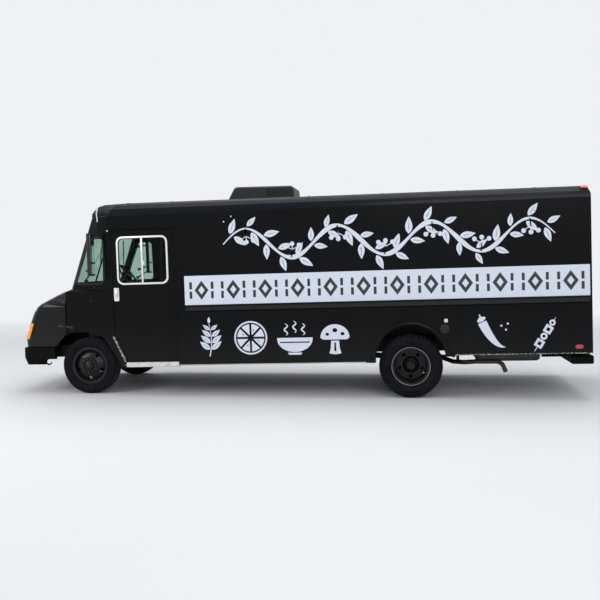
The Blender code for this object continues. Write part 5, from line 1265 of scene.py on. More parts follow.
class TRUCK_OT_wheel_fittings(bpy.types.Operator):
    """Bolt the wheels on: nuts, hub caps' screws, lock rings and valves"""

    bl_idname = "truck.fit_wheel_fittings"
    bl_label = "Fit the wheel fittings"

    def execute(self, context):
        nuts = sizes().wheel_nuts
        for side, name in SIDES:
            out = Vector((0, side, 0))
            # A wheel's heads: shape, place along the axle, radius of their circle, count
            wheels = (
                (
                    "front", f"front_tyre_{name}", "rim_black",
                    (
                        (hexagon(0.033, 0.020, 0.012, 0.010), FRONT_HUB_FACE + 0.0005, 0.100, nuts),
                        (dome(0.006, 0.005), 0.1282, 0.0615, 8),
                    ),
                ),
                (
                    "rear", f"rear_tyre_{name}_outer", "worn_edge",
                    (
                        (hexagon(0.033, 0.020, 0.014, 0.010), REAR_DISC_FACE, 0.139, nuts),
                        (hexagon(0.016, 0.007), -0.0295, 0.040, 8),
                    ),
                ),
            )
            for row, node, edge_finish, heads in wheels:
                body, middle = f"wheel_{row}_{name}", middle_of(node)
                parts = [
                    ring_of(head, middle + out * face, out, radius, count, "chassis_black")
                    for head, face, radius, count in heads
                ]
                if row == "front":
                    parts.append(turned(HUB_CAP, middle, out, 24))
                parts.append(turned(LOCK_RING, middle, out, 96))
                piece(f"{row}_wheel_nuts_{name}", merged(*parts), "wheel_fittings", body)
                edge = [(RIM_HALF + along, RIM_RADIUS + more) for along, more in (
                    (-0.002, -0.006), (0.003, -0.004), (0.0045, 0), (0.003, 0.0035), (-0.002, 0.0035))]
                piece(
                    f"{row}_rim_edge_{name}", turned(edge, middle, out, 96), edge_finish, body,
                )
                self.valve(f"{row}_valve_{name}", middle, out, body)
        return {"FINISHED"}

    def valve(self, name, middle, out, body):
        arm = Vector((cos(radians(205)), 0, sin(radians(205))))
        foot = middle + out * 0.070 + arm * 0.214
        tip = foot + out * 0.040 - arm * 0.022
        stem = swept([foot, foot.lerp(tip, 0.5), tip], [0.006, 0.0045, 0.0045], 8)
        cap = swept([tip, tip + (tip - foot).normalized() * 0.013], 0.0062, 8)
        piece(name, merged(stem, cap), "brushed_steel", body)


class TRUCK_OT_lamps(bpy.types.Operator):
    """Fit the lenses of the turn, head, tail, marker and clearance lamps"""

    bl_idname = "truck.fit_lamps"
    bl_label = "Fit the lamps"

    def execute(self, context):
        (top_x, top_z), (foot_x, foot_z) = (0.905, 1.000), (0.985, 0.778)
        for side, name in SIDES:
            def on_boss(middle, normal):
                """Whether a face of the hood belongs to the turn lamp's slanting boss."""
                x, y, z = BODY.inverted() @ middle
                share = (z - foot_z) / (top_z - foot_z)
                line = foot_x + share * (top_x - foot_x)
                return (y * side > 0.90 and -0.004 < share < 1.004 and abs(x - line) < 0.031
                        and normal.y * side > -0.2 and normal.x > -0.98)
            piece(
                f"turn_lens_{name}", patch("hood", on_boss, 0.0006, 0.0035), "amber_lens", "hood",
                30,
            )
        self.head_lamps()
        self.tail_lamps()
        self.markers()
        return {"FINISHED"}

    def head_lamps(self):
        """A sealed beam in its ring, on each of the grille's own lamps."""
        out = (BODY.to_3x3() @ Vector((1, 0, -0.066))).normalized()
        for side, name in SIDES:
            centre = place_on_body(1.045, side * 0.735, 0.8625)
            lens = turned(
                [
                    (0.0006, 0.0), (0.0006, 0.078), (0.006, 0.078), (0.013, 0.062), (0.017, 0.036),
                    (0.0185, 0.0),
                ],
                centre, out, 40,
            )
            piece(f"head_lens_{name}", lens, "head_lens", "hood", 50)
            ring = turned(
                [
                    (-0.004, 0.079), (-0.004, 0.094), (0.007, 0.0935), (0.010, 0.088), (0.009, 0.081),
                    (0.006, 0.079),
                ],
                centre, out, 40,
            )
            screws = ring_of(dome(0.004, 0.003), centre + out * 0.0085, out, 0.0865, 4, "bright_alloy")
            piece(f"head_ring_{name}", merged(ring, screws), "bright_alloy", "hood", 40)

    def tail_lamps(self):
        for side, name in SIDES:
            for height, finish_name, use in (
                (0.89, "white_lens", "reverse"), (1.02, "red_lens", "tail"), (1.15, "amber_lens", "turn"),
            ):
                centre = place_on_body(WALL_REAR_X - 0.022, side * 0.98, height)
                lens = turned(
                    [(0.0004, 0), (0.0004, 0.045), (0.003, 0.045), (0.0062, 0.034), (0.0075, 0.0)], centre,
                    ASTERN, 32,
                )
                piece(f"rear_{use}_lens_{name}", lens, finish_name, "root", 50)
                ring = turned(
                    [
                        (-0.010, 0.0524), (-0.010, 0.0555), (0.002, 0.0555), (0.005, 0.051), (0.004, 0.0458),
                        (0.0005, 0.0455), (0.0005, 0.0524),
                    ],
                    centre, ASTERN, 32,
                )
                piece(f"rear_{use}_ring_{name}", ring, "soft_black", "root", 40)

    def markers(self):
        for side, name in SIDES:
            place = on_side(side)

            def set_at(u, v, depth):
                return place(-6.701 + u, 0.560 + v, depth)
            oval = rounded_window(-0.06, 0.06, -0.031, 0.031, 0.0305, 7)
            base = prism(oval, 0.0003, 0.009, set_at)
            lens = prism([p * 0.82 for p in oval], 0.0085, 0.018, set_at)
            piece(f"side_marker_base_{name}", bevelled(base, 0.002, 1), "soft_black", "root")
            piece(f"side_marker_lens_{name}", bevelled(lens, 0.005, 3), "red_lens", "root")
        middle = (-0.22, 0.0, 0.22)
        lamps = [("front", y) for y in (*middle, -0.80, 0.80)] + [("rear", y) for y in middle]
        for number, (end, y) in enumerate(lamps):
            x, way, finish_name = (1.0, ASTERN, "amber_lens") if end == "front" else (-7.5, AHEAD, "red_lens")
            self.clearance_lamp(
                f"clearance_{end}_{number}", touch(["roof"], place_on_body(x, y, 2.585), way), finish_name,
            )
        for side, name in SIDES:
            self.clearance_lamp(
                f"clearance_corner_{name}", touch_side(["roof"], side, -6.80, 2.615), "red_lens",
            )

    def clearance_lamp(self, name, where, finish_name):
        """A small domed lamp on a rubber foot, lying along the surface it stands on."""
        spot, normal = where
        along = Vector((0, 0, 1)).cross(normal).normalized()
        up = normal.cross(along)

        def set_at(u, v, depth):
            return spot + along * u + up * v + normal * depth
        foot = panel((-0.052, 0.052, -0.030, 0.030), 0.02, (-0.010, 0.006), set_at, 0.002)
        lens = panel((-0.044, 0.044, -0.022, 0.022), 0.017, (0.005, 0.026), set_at, 0.009, edge_segments=3)
        piece(f"{name}_foot", foot, "soft_black", "root")
        piece(f"{name}_lens", lens, finish_name, "root")


def densified(outline, pitch, grow=0.0):
    """The closed outline with points at most about a pitch apart, pushed outwards a little."""
    middle = sum(outline, Vector((0, 0))) / len(outline)
    line = []
    for here, after in zip(outline, outline[1:] + outline[:1]):
        steps = max(1, int((after - here).length / pitch))
        line += [here.lerp(after, s / steps) for s in range(steps)]
    return [p + (p - middle).normalized() * grow for p in line]


class TRUCK_OT_glazing(bpy.types.Operator):
    """Frame the windows: bright frames on the doors, rubber round the fixed panes, wipers"""

    bl_idname = "truck.frame_windows"
    bl_label = "Frame the windows"

    def execute(self, context):
        self.door_frames()
        self.rubbers()
        self.wipers()
        for side, name in SIDES:
            outer, inner = (
                [(side * u, v) for u, v in window(REAR_WINDOW, *shape, 6)]
                for shape in ((0.026, 0.066), (0.0, 0.044))
            )
            rubber = prism(outer, 0.0004, 0.006, on_rear, [inner])
            piece(
                f"rear_window_rubber_{name}", bevelled(rubber, 0.0018, 1), "soft_black", f"rear_door_{name}",
            )
        return {"FINISHED"}

    def door_frames(self):
        """A bright rim round each door's two lights, the bar between them with its catch, and a seal."""
        z0, z1 = DOOR_WINDOW[2:]
        for side, name in DOORS:
            place = on_side(side, CAB_Y)
            rim = prism(
                window(DOOR_WINDOW, 0.026, 0.092, 7), 0.0042, 0.0085, place,
                [window(DOOR_WINDOW, 0.001, 0.069, 7)],
            )
            bar = prism(rectangle(-0.855, -0.831, z0, z1), 0.0032, 0.0072, place)
            catch = panel((-0.870, -0.850, 1.80, 1.86), 0.006, (0.0034, 0.0092), place, segments=3)
            piece(
                f"{name}_window_frame", bevelled(merged(rim, bar, catch), 0.0014, 2), "bright_alloy",
                f"{name}_door",
            )
            seal = prism(
                window(DOOR_WINDOW, -0.0005, 0.069, 7), -0.0078, 0.0028, place,
                [window(DOOR_WINDOW, -0.0085, 0.061, 7)],
            )
            piece(f"{name}_window_seal", seal, "soft_black", f"{name}_door")

    def rubbers(self):
        radius = sizes().trim_radius
        for side, name in SIDES:
            outline = round_corners(
                [(-0.262, 1.557, 0.055), (0.195, 1.557, 0.045), (-0.04, 2.20, 0.045), (-0.262, 2.20, 0.055)],
                6,
            )
            spots = [
                touch_side(["cab_shell", f"quarter_glass_{name}"], side, u, v)
                for u, v in densified(outline, 0.05, 0.004)
            ]
            self.rubber(f"quarter_rubber_{name}", spots, radius * 1.45)
        outline = rounded_window(-0.93, 0.93, 1.57, 2.40, 0.06, 6)
        self.rubber(
            "windscreen_rubber",
            [touch_front(["cab_shell"], u, v) for u, v in densified(outline, 0.05, 0.004)], radius,
        )

    def rubber(self, name, spots, radius):
        """A flattened rubber section along spots on a surface."""
        bm = bmesh.new()
        rings = []
        places = lifted(spots, 0.001)
        turns = [tau * s / 8 for s in range(8)]
        for i, (_, normal) in enumerate(spots):
            along = (places[(i + 1) % len(places)] - places[i - 1]).normalized()
            across = normal.cross(along).normalized()
            up = along.cross(across).normalized()
            if up.dot(normal) < 0:
                up = -up
            rings.append(
                [
                    bm.verts.new(places[i] + (across * cos(t) * 1.25 + up * sin(t) * 0.5) * radius)
                    for t in turns
                ]
            )
        bridged(bm, rings, True)
        bmesh.ops.recalc_face_normals(bm, faces=bm.faces)
        piece(name, bm, "soft_black", "root", 60)

    def wipers(self):
        lean, foot_z, arm_rise, blade_rise, blade_lean = -0.34, 1.545, 0.46, 0.40, 0.30
        screen = ["cab_shell", "windscreen"]
        for y, name in ((0.46, "left"), (-0.40, "right")):
            spots = [
                touch_front(screen, y + lean * s, foot_z + s * arm_rise)
                for s in (0.0, 0.25, 0.5, 0.75, 1.0)
            ]
            blade_spots = [touch_front(screen, y + lean + s * blade_lean, foot_z + arm_rise + s * blade_rise)
                           for s in (-0.5, -0.25, 0.0, 0.25, 0.5)]
            arm = swept(
                lifted(spots, [0.020 + 0.010 * sin(pi * i / 4) for i in range(5)]),
                [0.009, 0.0065, 0.005, 0.0045, 0.004], 8, flat=0.6,
            )
            pivot = turned([(-0.01, 0.016), (0.022, 0.016), (0.026, 0.012), (0.027, 0)], *spots[0], 16)
            blade = swept(lifted(blade_spots, 0.0085), 0.0055, 6, flat=1.4)
            spine = swept(lifted(blade_spots, [0.017 + 0.004 * (i % 2) for i in range(5)]), 0.0042, 6)
            piece(f"wiper_{name}", merged(arm, pivot, blade, spine), "soft_black", "root")


def puffed(bm, cap, voxel, floor_z=None):
    """A pad blown up from its foam's shape by cloth under pressure, no point moving beyond the cap."""
    mesh = bpy.data.meshes.new("pad")
    bm.to_mesh(mesh)
    bm.free()
    obj = bpy.data.objects.new("pad", mesh)
    bpy.context.scene.collection.objects.link(obj)
    remesh = obj.modifiers.new("voxels", "REMESH")
    remesh.mode, remesh.voxel_size = "VOXEL", voxel
    graph = bpy.context.evaluated_depsgraph_get()
    graph.update()
    even = bpy.data.meshes.new_from_object(obj.evaluated_get(graph))
    obj.modifiers.clear()
    obj.data = even
    cloth = obj.modifiers.new("swell", "CLOTH")
    cloth.settings.use_pressure = True
    cloth.settings.uniform_pressure_force = 4.0
    cloth.settings.effector_weights.gravity = 0.0
    cloth.point_cache.frame_start, cloth.point_cache.frame_end = 1, 20
    for step in range(1, 21):
        bpy.context.scene.frame_set(step)
    graph = bpy.context.evaluated_depsgraph_get()
    blown = bpy.data.meshes.new_from_object(obj.evaluated_get(graph))
    obj.modifiers.clear()
    bpy.context.scene.frame_set(1)
    for before, after in zip(even.vertices, blown.vertices):
        move = after.co - before.co
        if move.length > cap:
            move *= cap / move.length
        before.co += move
        if floor_z is not None:
            before.co.z = max(before.co.z, floor_z)
    bpy.data.meshes.remove(blown)
    bpy.data.objects.remove(obj)
    bpy.data.meshes.remove(mesh)
    return even


PAD_WAIST = 0.030


def drawn_in(p, half):
    """A pad's sides pull in between its corners: where p, measured from its middle, comes to lie."""
    u, w = p.x / half.x, p.y / half.y
    return (
        p.x * (1 - PAD_WAIST * (1 - w * w) * min(1, abs(u)) ** 4),
        p.y * (1 - PAD_WAIST * (1 - u * u) * min(1, abs(w)) ** 4),
    )


def rounded_pad(x, y, z, radius, crown):
    """A pad's foam: a rounded box whose broad face, on top, is crowned."""
    bm = bmesh.new()
    middle = Vector([(a + b) / 2 for a, b in (x, y, z)])
    half = Vector([(b - a) / 2 for a, b in (x, y, z)])
    bmesh.ops.create_cube(bm, size=2, matrix=Matrix.Diagonal((*half, 1)))
    bevelled(bm, radius, 4)
    bmesh.ops.subdivide_edges(
        bm, edges=[e for e in bm.edges if e.calc_length() > 0.08], cuts=7, use_grid_fill=True,
    )
    for v in bm.verts:
        u, w = v.co.x / half.x, v.co.y / half.y
        if v.co.z > 0:
            v.co.z += crown * (1 - u * u) * (1 - w * w) * (v.co.z / half.z)
        v.co.x, v.co.y = drawn_in(v.co, half)
    bmesh.ops.translate(bm, vec=middle, verts=bm.verts)
    return bm


class TRUCK_OT_seat(bpy.types.Operator):
    """Upholster the driver's seat: a cushion and a backrest on their stand, with welts and a belt"""

    bl_idname = "truck.fit_seat"
    bl_label = "Fit the driver's seat"

    # The seat's own places, in the body's axes
    across = (0.22, 0.70)
    hinge = Vector((-1.09, 0, 1.20))
    recline = radians(-10)

    def execute(self, context):
        lean = Matrix.Translation(self.hinge) @ Matrix.Rotation(self.recline, 4, "Y")
        # The backrest is blown up lying down, its front upwards, and then stood up
        stood = lean @ Matrix(((0, 0, 1, 0), (0, 1, 0, 0), (1, 0, 0, 0), (0, 0, 0, 1)))
        near, far = self.across
        cap, voxel = 0.011, 0.0095
        cushion = puffed(
            rounded_pad((-1.018, -0.652), (near + 0.012, far - 0.012), (1.128, 1.232), 0.034, 0.014), cap,
            voxel, 1.122,
        )
        self.channels(cushion, "y", 0.46, (-0.125, 0.125), 1.20)
        backrest = puffed(
            rounded_pad((0.085, 0.668), (near + 0.022, far - 0.022), (-0.045, 0.040), 0.030, 0.012), cap,
            voxel,
        )
        self.channels(backrest, "y", 0.46, (-0.115, 0.115), 0.02)
        self.channels(backrest, "x", 0.20, (0.0, 0.27), 0.02)
        for mesh, place, name, fill in (
            (cushion, BODY, "cushion", 0.7), (backrest, BODY @ stood, "backrest", 0.65),
        ):
            bm = as_bmesh(mesh)
            bmesh.ops.subdivide_edges(bm, edges=bm.edges[:], cuts=1, use_grid_fill=True, smooth=0.6)
            bm.transform(place)
            if place.to_3x3().determinant() < 0:
                bmesh.ops.reverse_faces(bm, faces=bm.faces)
            pad = piece(f"driver_seat_{name}", bm, "seat_vinyl", "root", 180)
            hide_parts("driver_seat")
        self.stand(lean)
        self.welt("cushion", BODY, (-1.022, -0.648), 0.008, 1.192)
        self.welt("backrest", BODY @ stood, (0.081, 0.672), 0.018, 0.010)
        self.belt(lean)
        return {"FINISHED"}

    def channels(self, mesh, axis, middle, lines, above):
        """Presses sewn lines across an axis into the part of a pad that lies above a height."""
        for v in mesh.vertices:
            if v.co.z > above:
                nearest = min(abs(getattr(v.co, axis) - middle - line) for line in lines)
                v.co.z -= 0.0055 * 2.718 ** (-(nearest / 0.009) ** 2)

    def stand(self, lean):
        """The pan, the bellows, the foot, the backrest's hinges and the lever."""
        near, far = self.across
        parts = [
            block((-1.050, -0.640), (near + 0.020, far - 0.020), (1.102, 1.124), 0.006),
            block((-1.000, -0.700), (near + 0.075, far - 0.075), (0.7575, 0.790), 0.005),
        ]
        for i in range(7):
            z = 0.806 + 0.043 * i
            swell = 0.0 if i % 2 else 0.014
            parts.append(
                block(
                    (-0.985 - swell, -0.715 + swell), (near + 0.095 - swell, far - 0.095 + swell),
                    (z - 0.016, z + 0.0275), 0.010,
                )
            )
        for y in (near + 0.030, far - 0.030):
            top = lean @ Vector((-0.055, 0, 0.20)) + Vector((0, y, 0))
            parts.append(
                tube(
                    [(-1.030, y, 1.115), (-1.098, y, 1.150), top], place_on_body, [0.016, 0.018, 0.012], 8,
                    flat=0.6, up=(0, 1, 0),
                )
            )
        piece("driver_seat_stand", merged(*parts), "soft_black", "root")
        lever = tube(
            [(-0.80, far - 0.012, 1.112), (-0.76, far + 0.008, 1.108), (-0.69, far + 0.008, 1.118)],
            place_on_body, [0.007, 0.007, 0.010],
        )
        piece("driver_seat_lever", lever, "moulded_black", "root")

    def welt(self, name, place, x, inset, z):
        """A sewn cord round a pad, where its sides meet its face."""
        y = (self.across[0] + inset, self.across[1] - inset)
        middle = Vector(((x[0] + x[1]) / 2, (y[0] + y[1]) / 2))
        half = Vector(((x[1] - x[0]) / 2, (y[1] - y[0]) / 2))
        line = [
            middle + Vector(drawn_in(p - middle, half))
            for p in densified(rounded_window(*x, *y, 0.045, 6), 0.03)
        ]
        cord = swept([place @ Vector((p.x, p.y, z)) for p in line], 0.0045, 6, closed=True)
        piece(f"driver_seat_{name}_welt", cord, "soft_black", "root")

    def belt(self, lean):
        """An in-seat belt, from a guide on the backrest's shoulder down its side, and its buckle."""
        near, far = self.across
        strap = [lean @ Vector((0.0, far - 0.0085, z)) for z in (0.630, 0.45, 0.28, 0.12)]
        strap += [(-1.075, far - 0.011, 1.175), (-1.035, far - 0.0175, 1.112)]
        piece(
            "driver_belt", tube(strap, place_on_body, 0.024, 6, flat=0.06, up=(0, 1, 0)), "soft_black",
            "root",
        )
        guide = tube(
            [lean @ Vector((0.0, far - 0.012, z)) for z in (0.600, 0.622, 0.640)], place_on_body,
            [0.030, 0.034, 0.026], 10, flat=0.3, up=(0, 1, 0),
        )
        piece("driver_belt_guide", guide, "moulded_black", "root")
        stalk = tube(
            [(-1.02, near + 0.03, 1.12), (-1.00, near - 0.012, 1.17), (-0.98, near - 0.02, 1.19)],
            place_on_body, [0.012, 0.012, 0.016], 8, flat=0.5, up=(0, 1, 0),
        )
        piece("driver_belt_buckle", stalk, "moulded_black", "root")


class TRUCK_OT_hardware(bpy.types.Operator):
    """Fit the handles, latches, sills, filler, trim strips and plates"""

    bl_idname = "truck.fit_hardware"
    bl_label = "Fit the body hardware"

    def execute(self, context):
        for side, name in DOORS:
            self.door_handle(side, name)
            self.sill_and_track(side, name)
        for side, name in SIDES:
            self.hood_latch(side, name)
            self.cowl(side, name)
            self.trim(side, name)
            self.mirror_glass(side, name)
            self.tow_hook(side, name)
        self.filler()
        self.rear_end()
        self.hatch_latches()
        return {"FINISHED"}

    def tow_hook(self, side, name):
        """A forged hook on the frame horn, under the bumper."""
        route = (
            (0.80, 0.452), (0.90, 0.440), (0.955, 0.418), (0.978, 0.385), (0.968, 0.350), (0.935, 0.334),
            (0.900, 0.345), (0.888, 0.368),
        )
        hook = tube([(x, side * 0.45, z) for x, z in route], place_on_body,
                    [0.015, 0.0145, 0.014, 0.0135, 0.013, 0.0125, 0.011, 0.007], 10, up=(0, 1, 0))
        piece(f"tow_hook_{name}", hook, "chassis_black", "root")

    def door_handle(self, side, name):
        """A plate with a cup, a paddle, a lock and two screws."""
        place = on_side(side, CAB_Y)
        u = -0.4525
        plate = panel((-0.489, -0.416, 1.302, 1.489), 0.016, (0.0004, 0.006), place, 0.0015, edge_segments=2)
        cup = panel(
            (-0.480, -0.425, 1.352, 1.480), 0.012, (0.0055, 0.010), place, 0.001,
            holes=[rounded_window(-0.474, -0.431, 1.358, 1.474, 0.008, 4)],
        )
        lever = tube(
            [(u, 1.470, 0.008), (u, 1.455, 0.022), (u, 1.415, 0.027), (u, 1.378, 0.024), (u, 1.366, 0.014)],
            place, [0.010, 0.011, 0.0115, 0.011, 0.009], 10, flat=0.55, up=(0, side, 0),
        )
        lock = turned(
            [(0.0055, 0), (0.0055, 0.011), (0.010, 0.0105), (0.0105, 0.009), (0.0095, 0.003), (0.0095, 0)],
            place(u, 1.327, 0), (0, side, 0), 20,
        )
        screws = as_bmesh(
            in_rows(
                [[place(u, 1.3085, 0.0055), place(u, 1.4845, 0.0055)]], dome(0.0045, 0.003), 0.17,
                "bright_alloy", facing=(0, side, 0),
            )
        )
        piece(
            f"{name}_handle", merged(plate, cup, lever, lock, screws), "bright_alloy", f"{name}_door",
            40,
        )

    def sill_and_track(self, side, name):
        """The step's ribbed edge, and the door's top track under the eaves with its rollers' cover."""
        place = on_side(side)
        cover = prism(rectangle(-0.5775, WALL_FRONT_X + 0.002, 0.374, 0.441), 0.0004, 0.0022, place)
        lips = [
            bevelled(
                prism(rectangle(-0.580, WALL_FRONT_X + 0.002, v, v + 0.0055), 0.0018, 0.0052, place), 0.0012,
                1,
            )
            for v in (0.3745, 0.395, 0.416, 0.4355)
        ]
        piece(f"{name}_sill_cover", merged(cover, *lips), "scuffed_sill", "root")
        track = bevelled(prism(rectangle(-0.362, -1.334, 2.302, 2.338), 0.0003, 0.007, place), 0.002, 1)
        groove = bevelled(prism(rectangle(-0.366, -1.330, 2.314, 2.326), 0.0066, 0.011, place), 0.0015, 1)
        piece(f"{name}_door_track", merged(track, groove), "enamel", "root")
        knob = turned(
            [(-0.001, 0), (-0.001, 0.011), (0.008, 0.011), (0.012, 0.007), (0.012, 0)],
            place(-0.372, 2.290, 0.0), (0, side, 0), 16,
        )
        piece(f"{name}_track_stop", knob, "bright_alloy", "root")

    def hood_latch(self, side, name):
        """A rubber T-handle strap over the hood's seam, from a bracket on the cowl to a hook on the hood."""
        spots = [
            touch_side(["cab_shell", "hood"], side, u, 0.935 + (u - 0.262) * 0.19)
            for u in (0.372, 0.345, 0.318, 0.290, 0.262)
        ]
        strap = swept(
            lifted(spots, [0.009, 0.013, 0.013, 0.013, 0.009]), [0.017, 0.013, 0.013, 0.013, 0.017], 8,
            flat=0.30, up=(0, side, 0),
        )
        bracket = turned(
            [(-0.002, 0.024), (0.006, 0.024), (0.008, 0.021), (0.008, 0.010), (0.022, 0.009), (0.023, 0)],
            *spots[-1], 16,
        )
        piece(f"hood_latch_{name}", merged(strap, bracket), "moulded_black", "root")
        spots = [
            touch_side(["hood"], side, u, 0.953 + (u - 0.392) * 0.10)
            for u in (0.392, 0.42, 0.45, 0.482)
        ]
        plate = swept(lifted(spots, 0.005), [0.020, 0.019, 0.017, 0.013], 8, flat=0.34, up=(0, side, 0))
        hook = turned([(-0.002, 0.014), (0.014, 0.012), (0.018, 0.010), (0.019, 0)], *spots[0], 16)
        piece(f"hood_hook_{name}", merged(plate, hook), "moulded_black", "hood")

    def cowl(self, side, name):
        """The bolts under the mirror and the pale bar on the roof's front corner."""
        profile = [(-0.001, 0), (-0.001, 0.012), (0.005, 0.012), (0.008, 0.007), (0.008, 0)]
        bolts = [
            turned(profile, *touch_side(["cab_shell"], side, u, v), 12)
            for u, v in ((-0.102, 1.495), (-0.055, 1.313))
        ]
        piece(f"cowl_bolts_{name}", merged(*bolts), "wheel_fittings", "root")
        spots = [
            touch_side(["roof", "cab_shell"], side, -0.176 - 0.013 * s, 2.61 - 0.183 * s)
            for s in (0.0, 0.33, 0.66, 1.0)
        ]
        rod = swept([spot + Vector((0, side * 0.012, 0)) for spot, _ in spots], 0.0095, 8)
        piece(f"roof_corner_light_bar_{name}", rod, "bare_plate", "root")

    def trim(self, side, name):
        """The skirt's lower edges, the post's strips, the rub rail's insert and the front arch's rim."""
        place = on_side(side)
        for number, (a, b, v, finish_name) in enumerate(
            (
                (WALL_FRONT_X, -3.93, SKIRT_Z, "skirt_edge"),
                (-5.115, WALL_REAR_X + 0.002, REAR_SKIRT_Z, "weathered_trim"),
            )
        ):
            piece(
                f"skirt_edge_{name}_{number}", prism(rectangle(a, b, v, v + 0.014), 0.0004, 0.0035, place),
                finish_name, "root",
            )
        joints = [
            bevelled(prism(rectangle(u - 0.010, u + 0.010, 0.40, 2.485), 0.0003, 0.0026, place), 0.001, 1)
            for u in (-1.352, -1.425)
        ]
        piece(f"post_strips_{name}", merged(*joints), "enamel", "root")
        insert = panel(
            (-6.835, -1.465, RAIL_Z - 0.026, RAIL_Z + 0.026), 0.006, (0.0278, 0.0315), place, 0.0012,
            segments=3,
        )
        piece(f"rail_insert_{name}", insert, "rail_black", "root")
        arch = ((-0.381, 0.806), (-0.430, 0.700), (-0.480, 0.590), (-0.530, 0.480), (-0.566, 0.400))
        rim = swept(
            lifted([touch_side(["cab_shell"], side, u, v) for u, v in arch], 0.003), 0.015, 8, flat=0.22,
            up=(0, side, 0),
        )
        piece(f"arch_trim_{name}", rim, "weathered_trim", "root")

    def mirror_glass(self, side, name):
        """The flat glass and the wide-angle one under it."""
        y = sorted((side * 1.19, side * 1.334))
        glasses = [
            panel((*y, *z), 0.010, (0.0004, 0.003), on_cross(-0.165, -1), 0.001)
            for z in ((1.86, 2.235), (1.695, 1.835))
        ]
        piece(f"mirror_glass_{name}", merged(*glasses), "mirror_glass", "root")

    def filler(self):
        """The fuel filler, its blank plate and the clips of the roof's cable, on the driver's side."""
        place = on_side(1)
        cap = turned(
            [
                (-0.001, 0.062), (0.004, 0.062), (0.006, 0.059), (0.006, 0.047), (0.014, 0.046),
                (0.018, 0.042), (0.019, 0.036), (0.019, 0.0),
            ],
            place(-4.984, 0.823, 0), (0, 1, 0), 40,
        )
        grip = panel(
            (-5.018, -4.950, 0.813, 0.833), 0.006, (0.0185, 0.032), place, 0.003, segments=3, edge_segments=2,
        )
        piece("fuel_filler", merged(cap, grip), "moulded_black", "root")
        plate = panel((-5.026, -4.980, 0.912, 0.958), 0.004, (0.0003, 0.0012), place, segments=3)
        piece("blank_filler_plate", plate, "bare_plate", "root")
        clips = [turned(BUTTON, place(u, v, 0), (0, 1, 0), 12) for u, v in ((-2.143, 2.424), (-2.038, 2.356))]
        piece("roof_cable_clips", merged(*clips), "bare_plate", "root")

    def rear_end(self):
        """The rear leaves' lever and grab, the hinges' screws, a plate and the step's grip."""
        plate = panel((0.055, 0.115, 1.18, 1.36), 0.012, (0.0004, 0.007), on_rear, 0.0015)
        lever = tube(
            [(0.085, 1.335, 0.006), (0.085, 1.335, 0.020), (0.085, 1.29, 0.024), (0.085, 1.215, 0.022)],
            on_rear, [0.010, 0.010, 0.009, 0.0075], 10, flat=0.6, up=(-1, 0, 0),
        )
        piece("rear_door_handle", merged(plate, lever), "bright_alloy", "rear_door_left")
        grab = tube(
            [
                (-0.09, 1.18, 0.0), (-0.09, 1.18, 0.022), (-0.09, 1.20, 0.028), (-0.09, 1.36, 0.028),
                (-0.09, 1.38, 0.022), (-0.09, 1.38, 0.0),
            ],
            on_rear, 0.0075,
        )
        piece("rear_door_grab", grab, "brushed_steel", "rear_door_right")
        for side, name in SIDES:
            lines = [
                [on_rear(side * y, z + end, 0.0005) for end in (-0.022, 0.022)]
                for z in (0.98, 1.657, 2.12)
                for y in (0.682, 0.70, 0.718)
            ]
            rivets(
                f"rear_hinge_screws_{name}", lines, dome(0.005, 0.0035), 0.044, ASTERN, "bright_alloy",
                f"rear_door_{name}", 40,
            )
        plate = panel((-0.97, -0.66, 0.655, 0.815), 0.012, (0.0008, 0.0028), on_rear, 0.0008)
        piece("blank_rear_plate", plate, "bare_plate", "root")
        on_step = on_top(STEP_TOP_Z)
        bars = in_rows([[on_step(-6.86 + 0.05 * row, y, 0.0003) for y in (-1.08, 1.08)] for row in range(4)],
                       tread_block(0.055, 0.008, 0.004), 0.085, "chassis_black", turn=radians(45))
        piece("tail_step_grip", bars, "chassis_black", "root")

    def hatch_latches(self):
        place = on_side(-1)
        for number, u in enumerate((-3.95, -2.75)):
            plate = panel(
                (u - 0.035, u + 0.035, 1.375, 1.455), 0.008, (0.0004, 0.005), place, 0.001, segments=3,
            )
            paddle = panel(
                (u - 0.024, u + 0.024, 1.392, 1.440), 0.006, (0.0045, 0.014), place, 0.003, segments=3,
                edge_segments=2,
            )
            piece(f"hatch_latch_{number}", merged(plate, paddle), "brushed_steel", "serving_hatch")


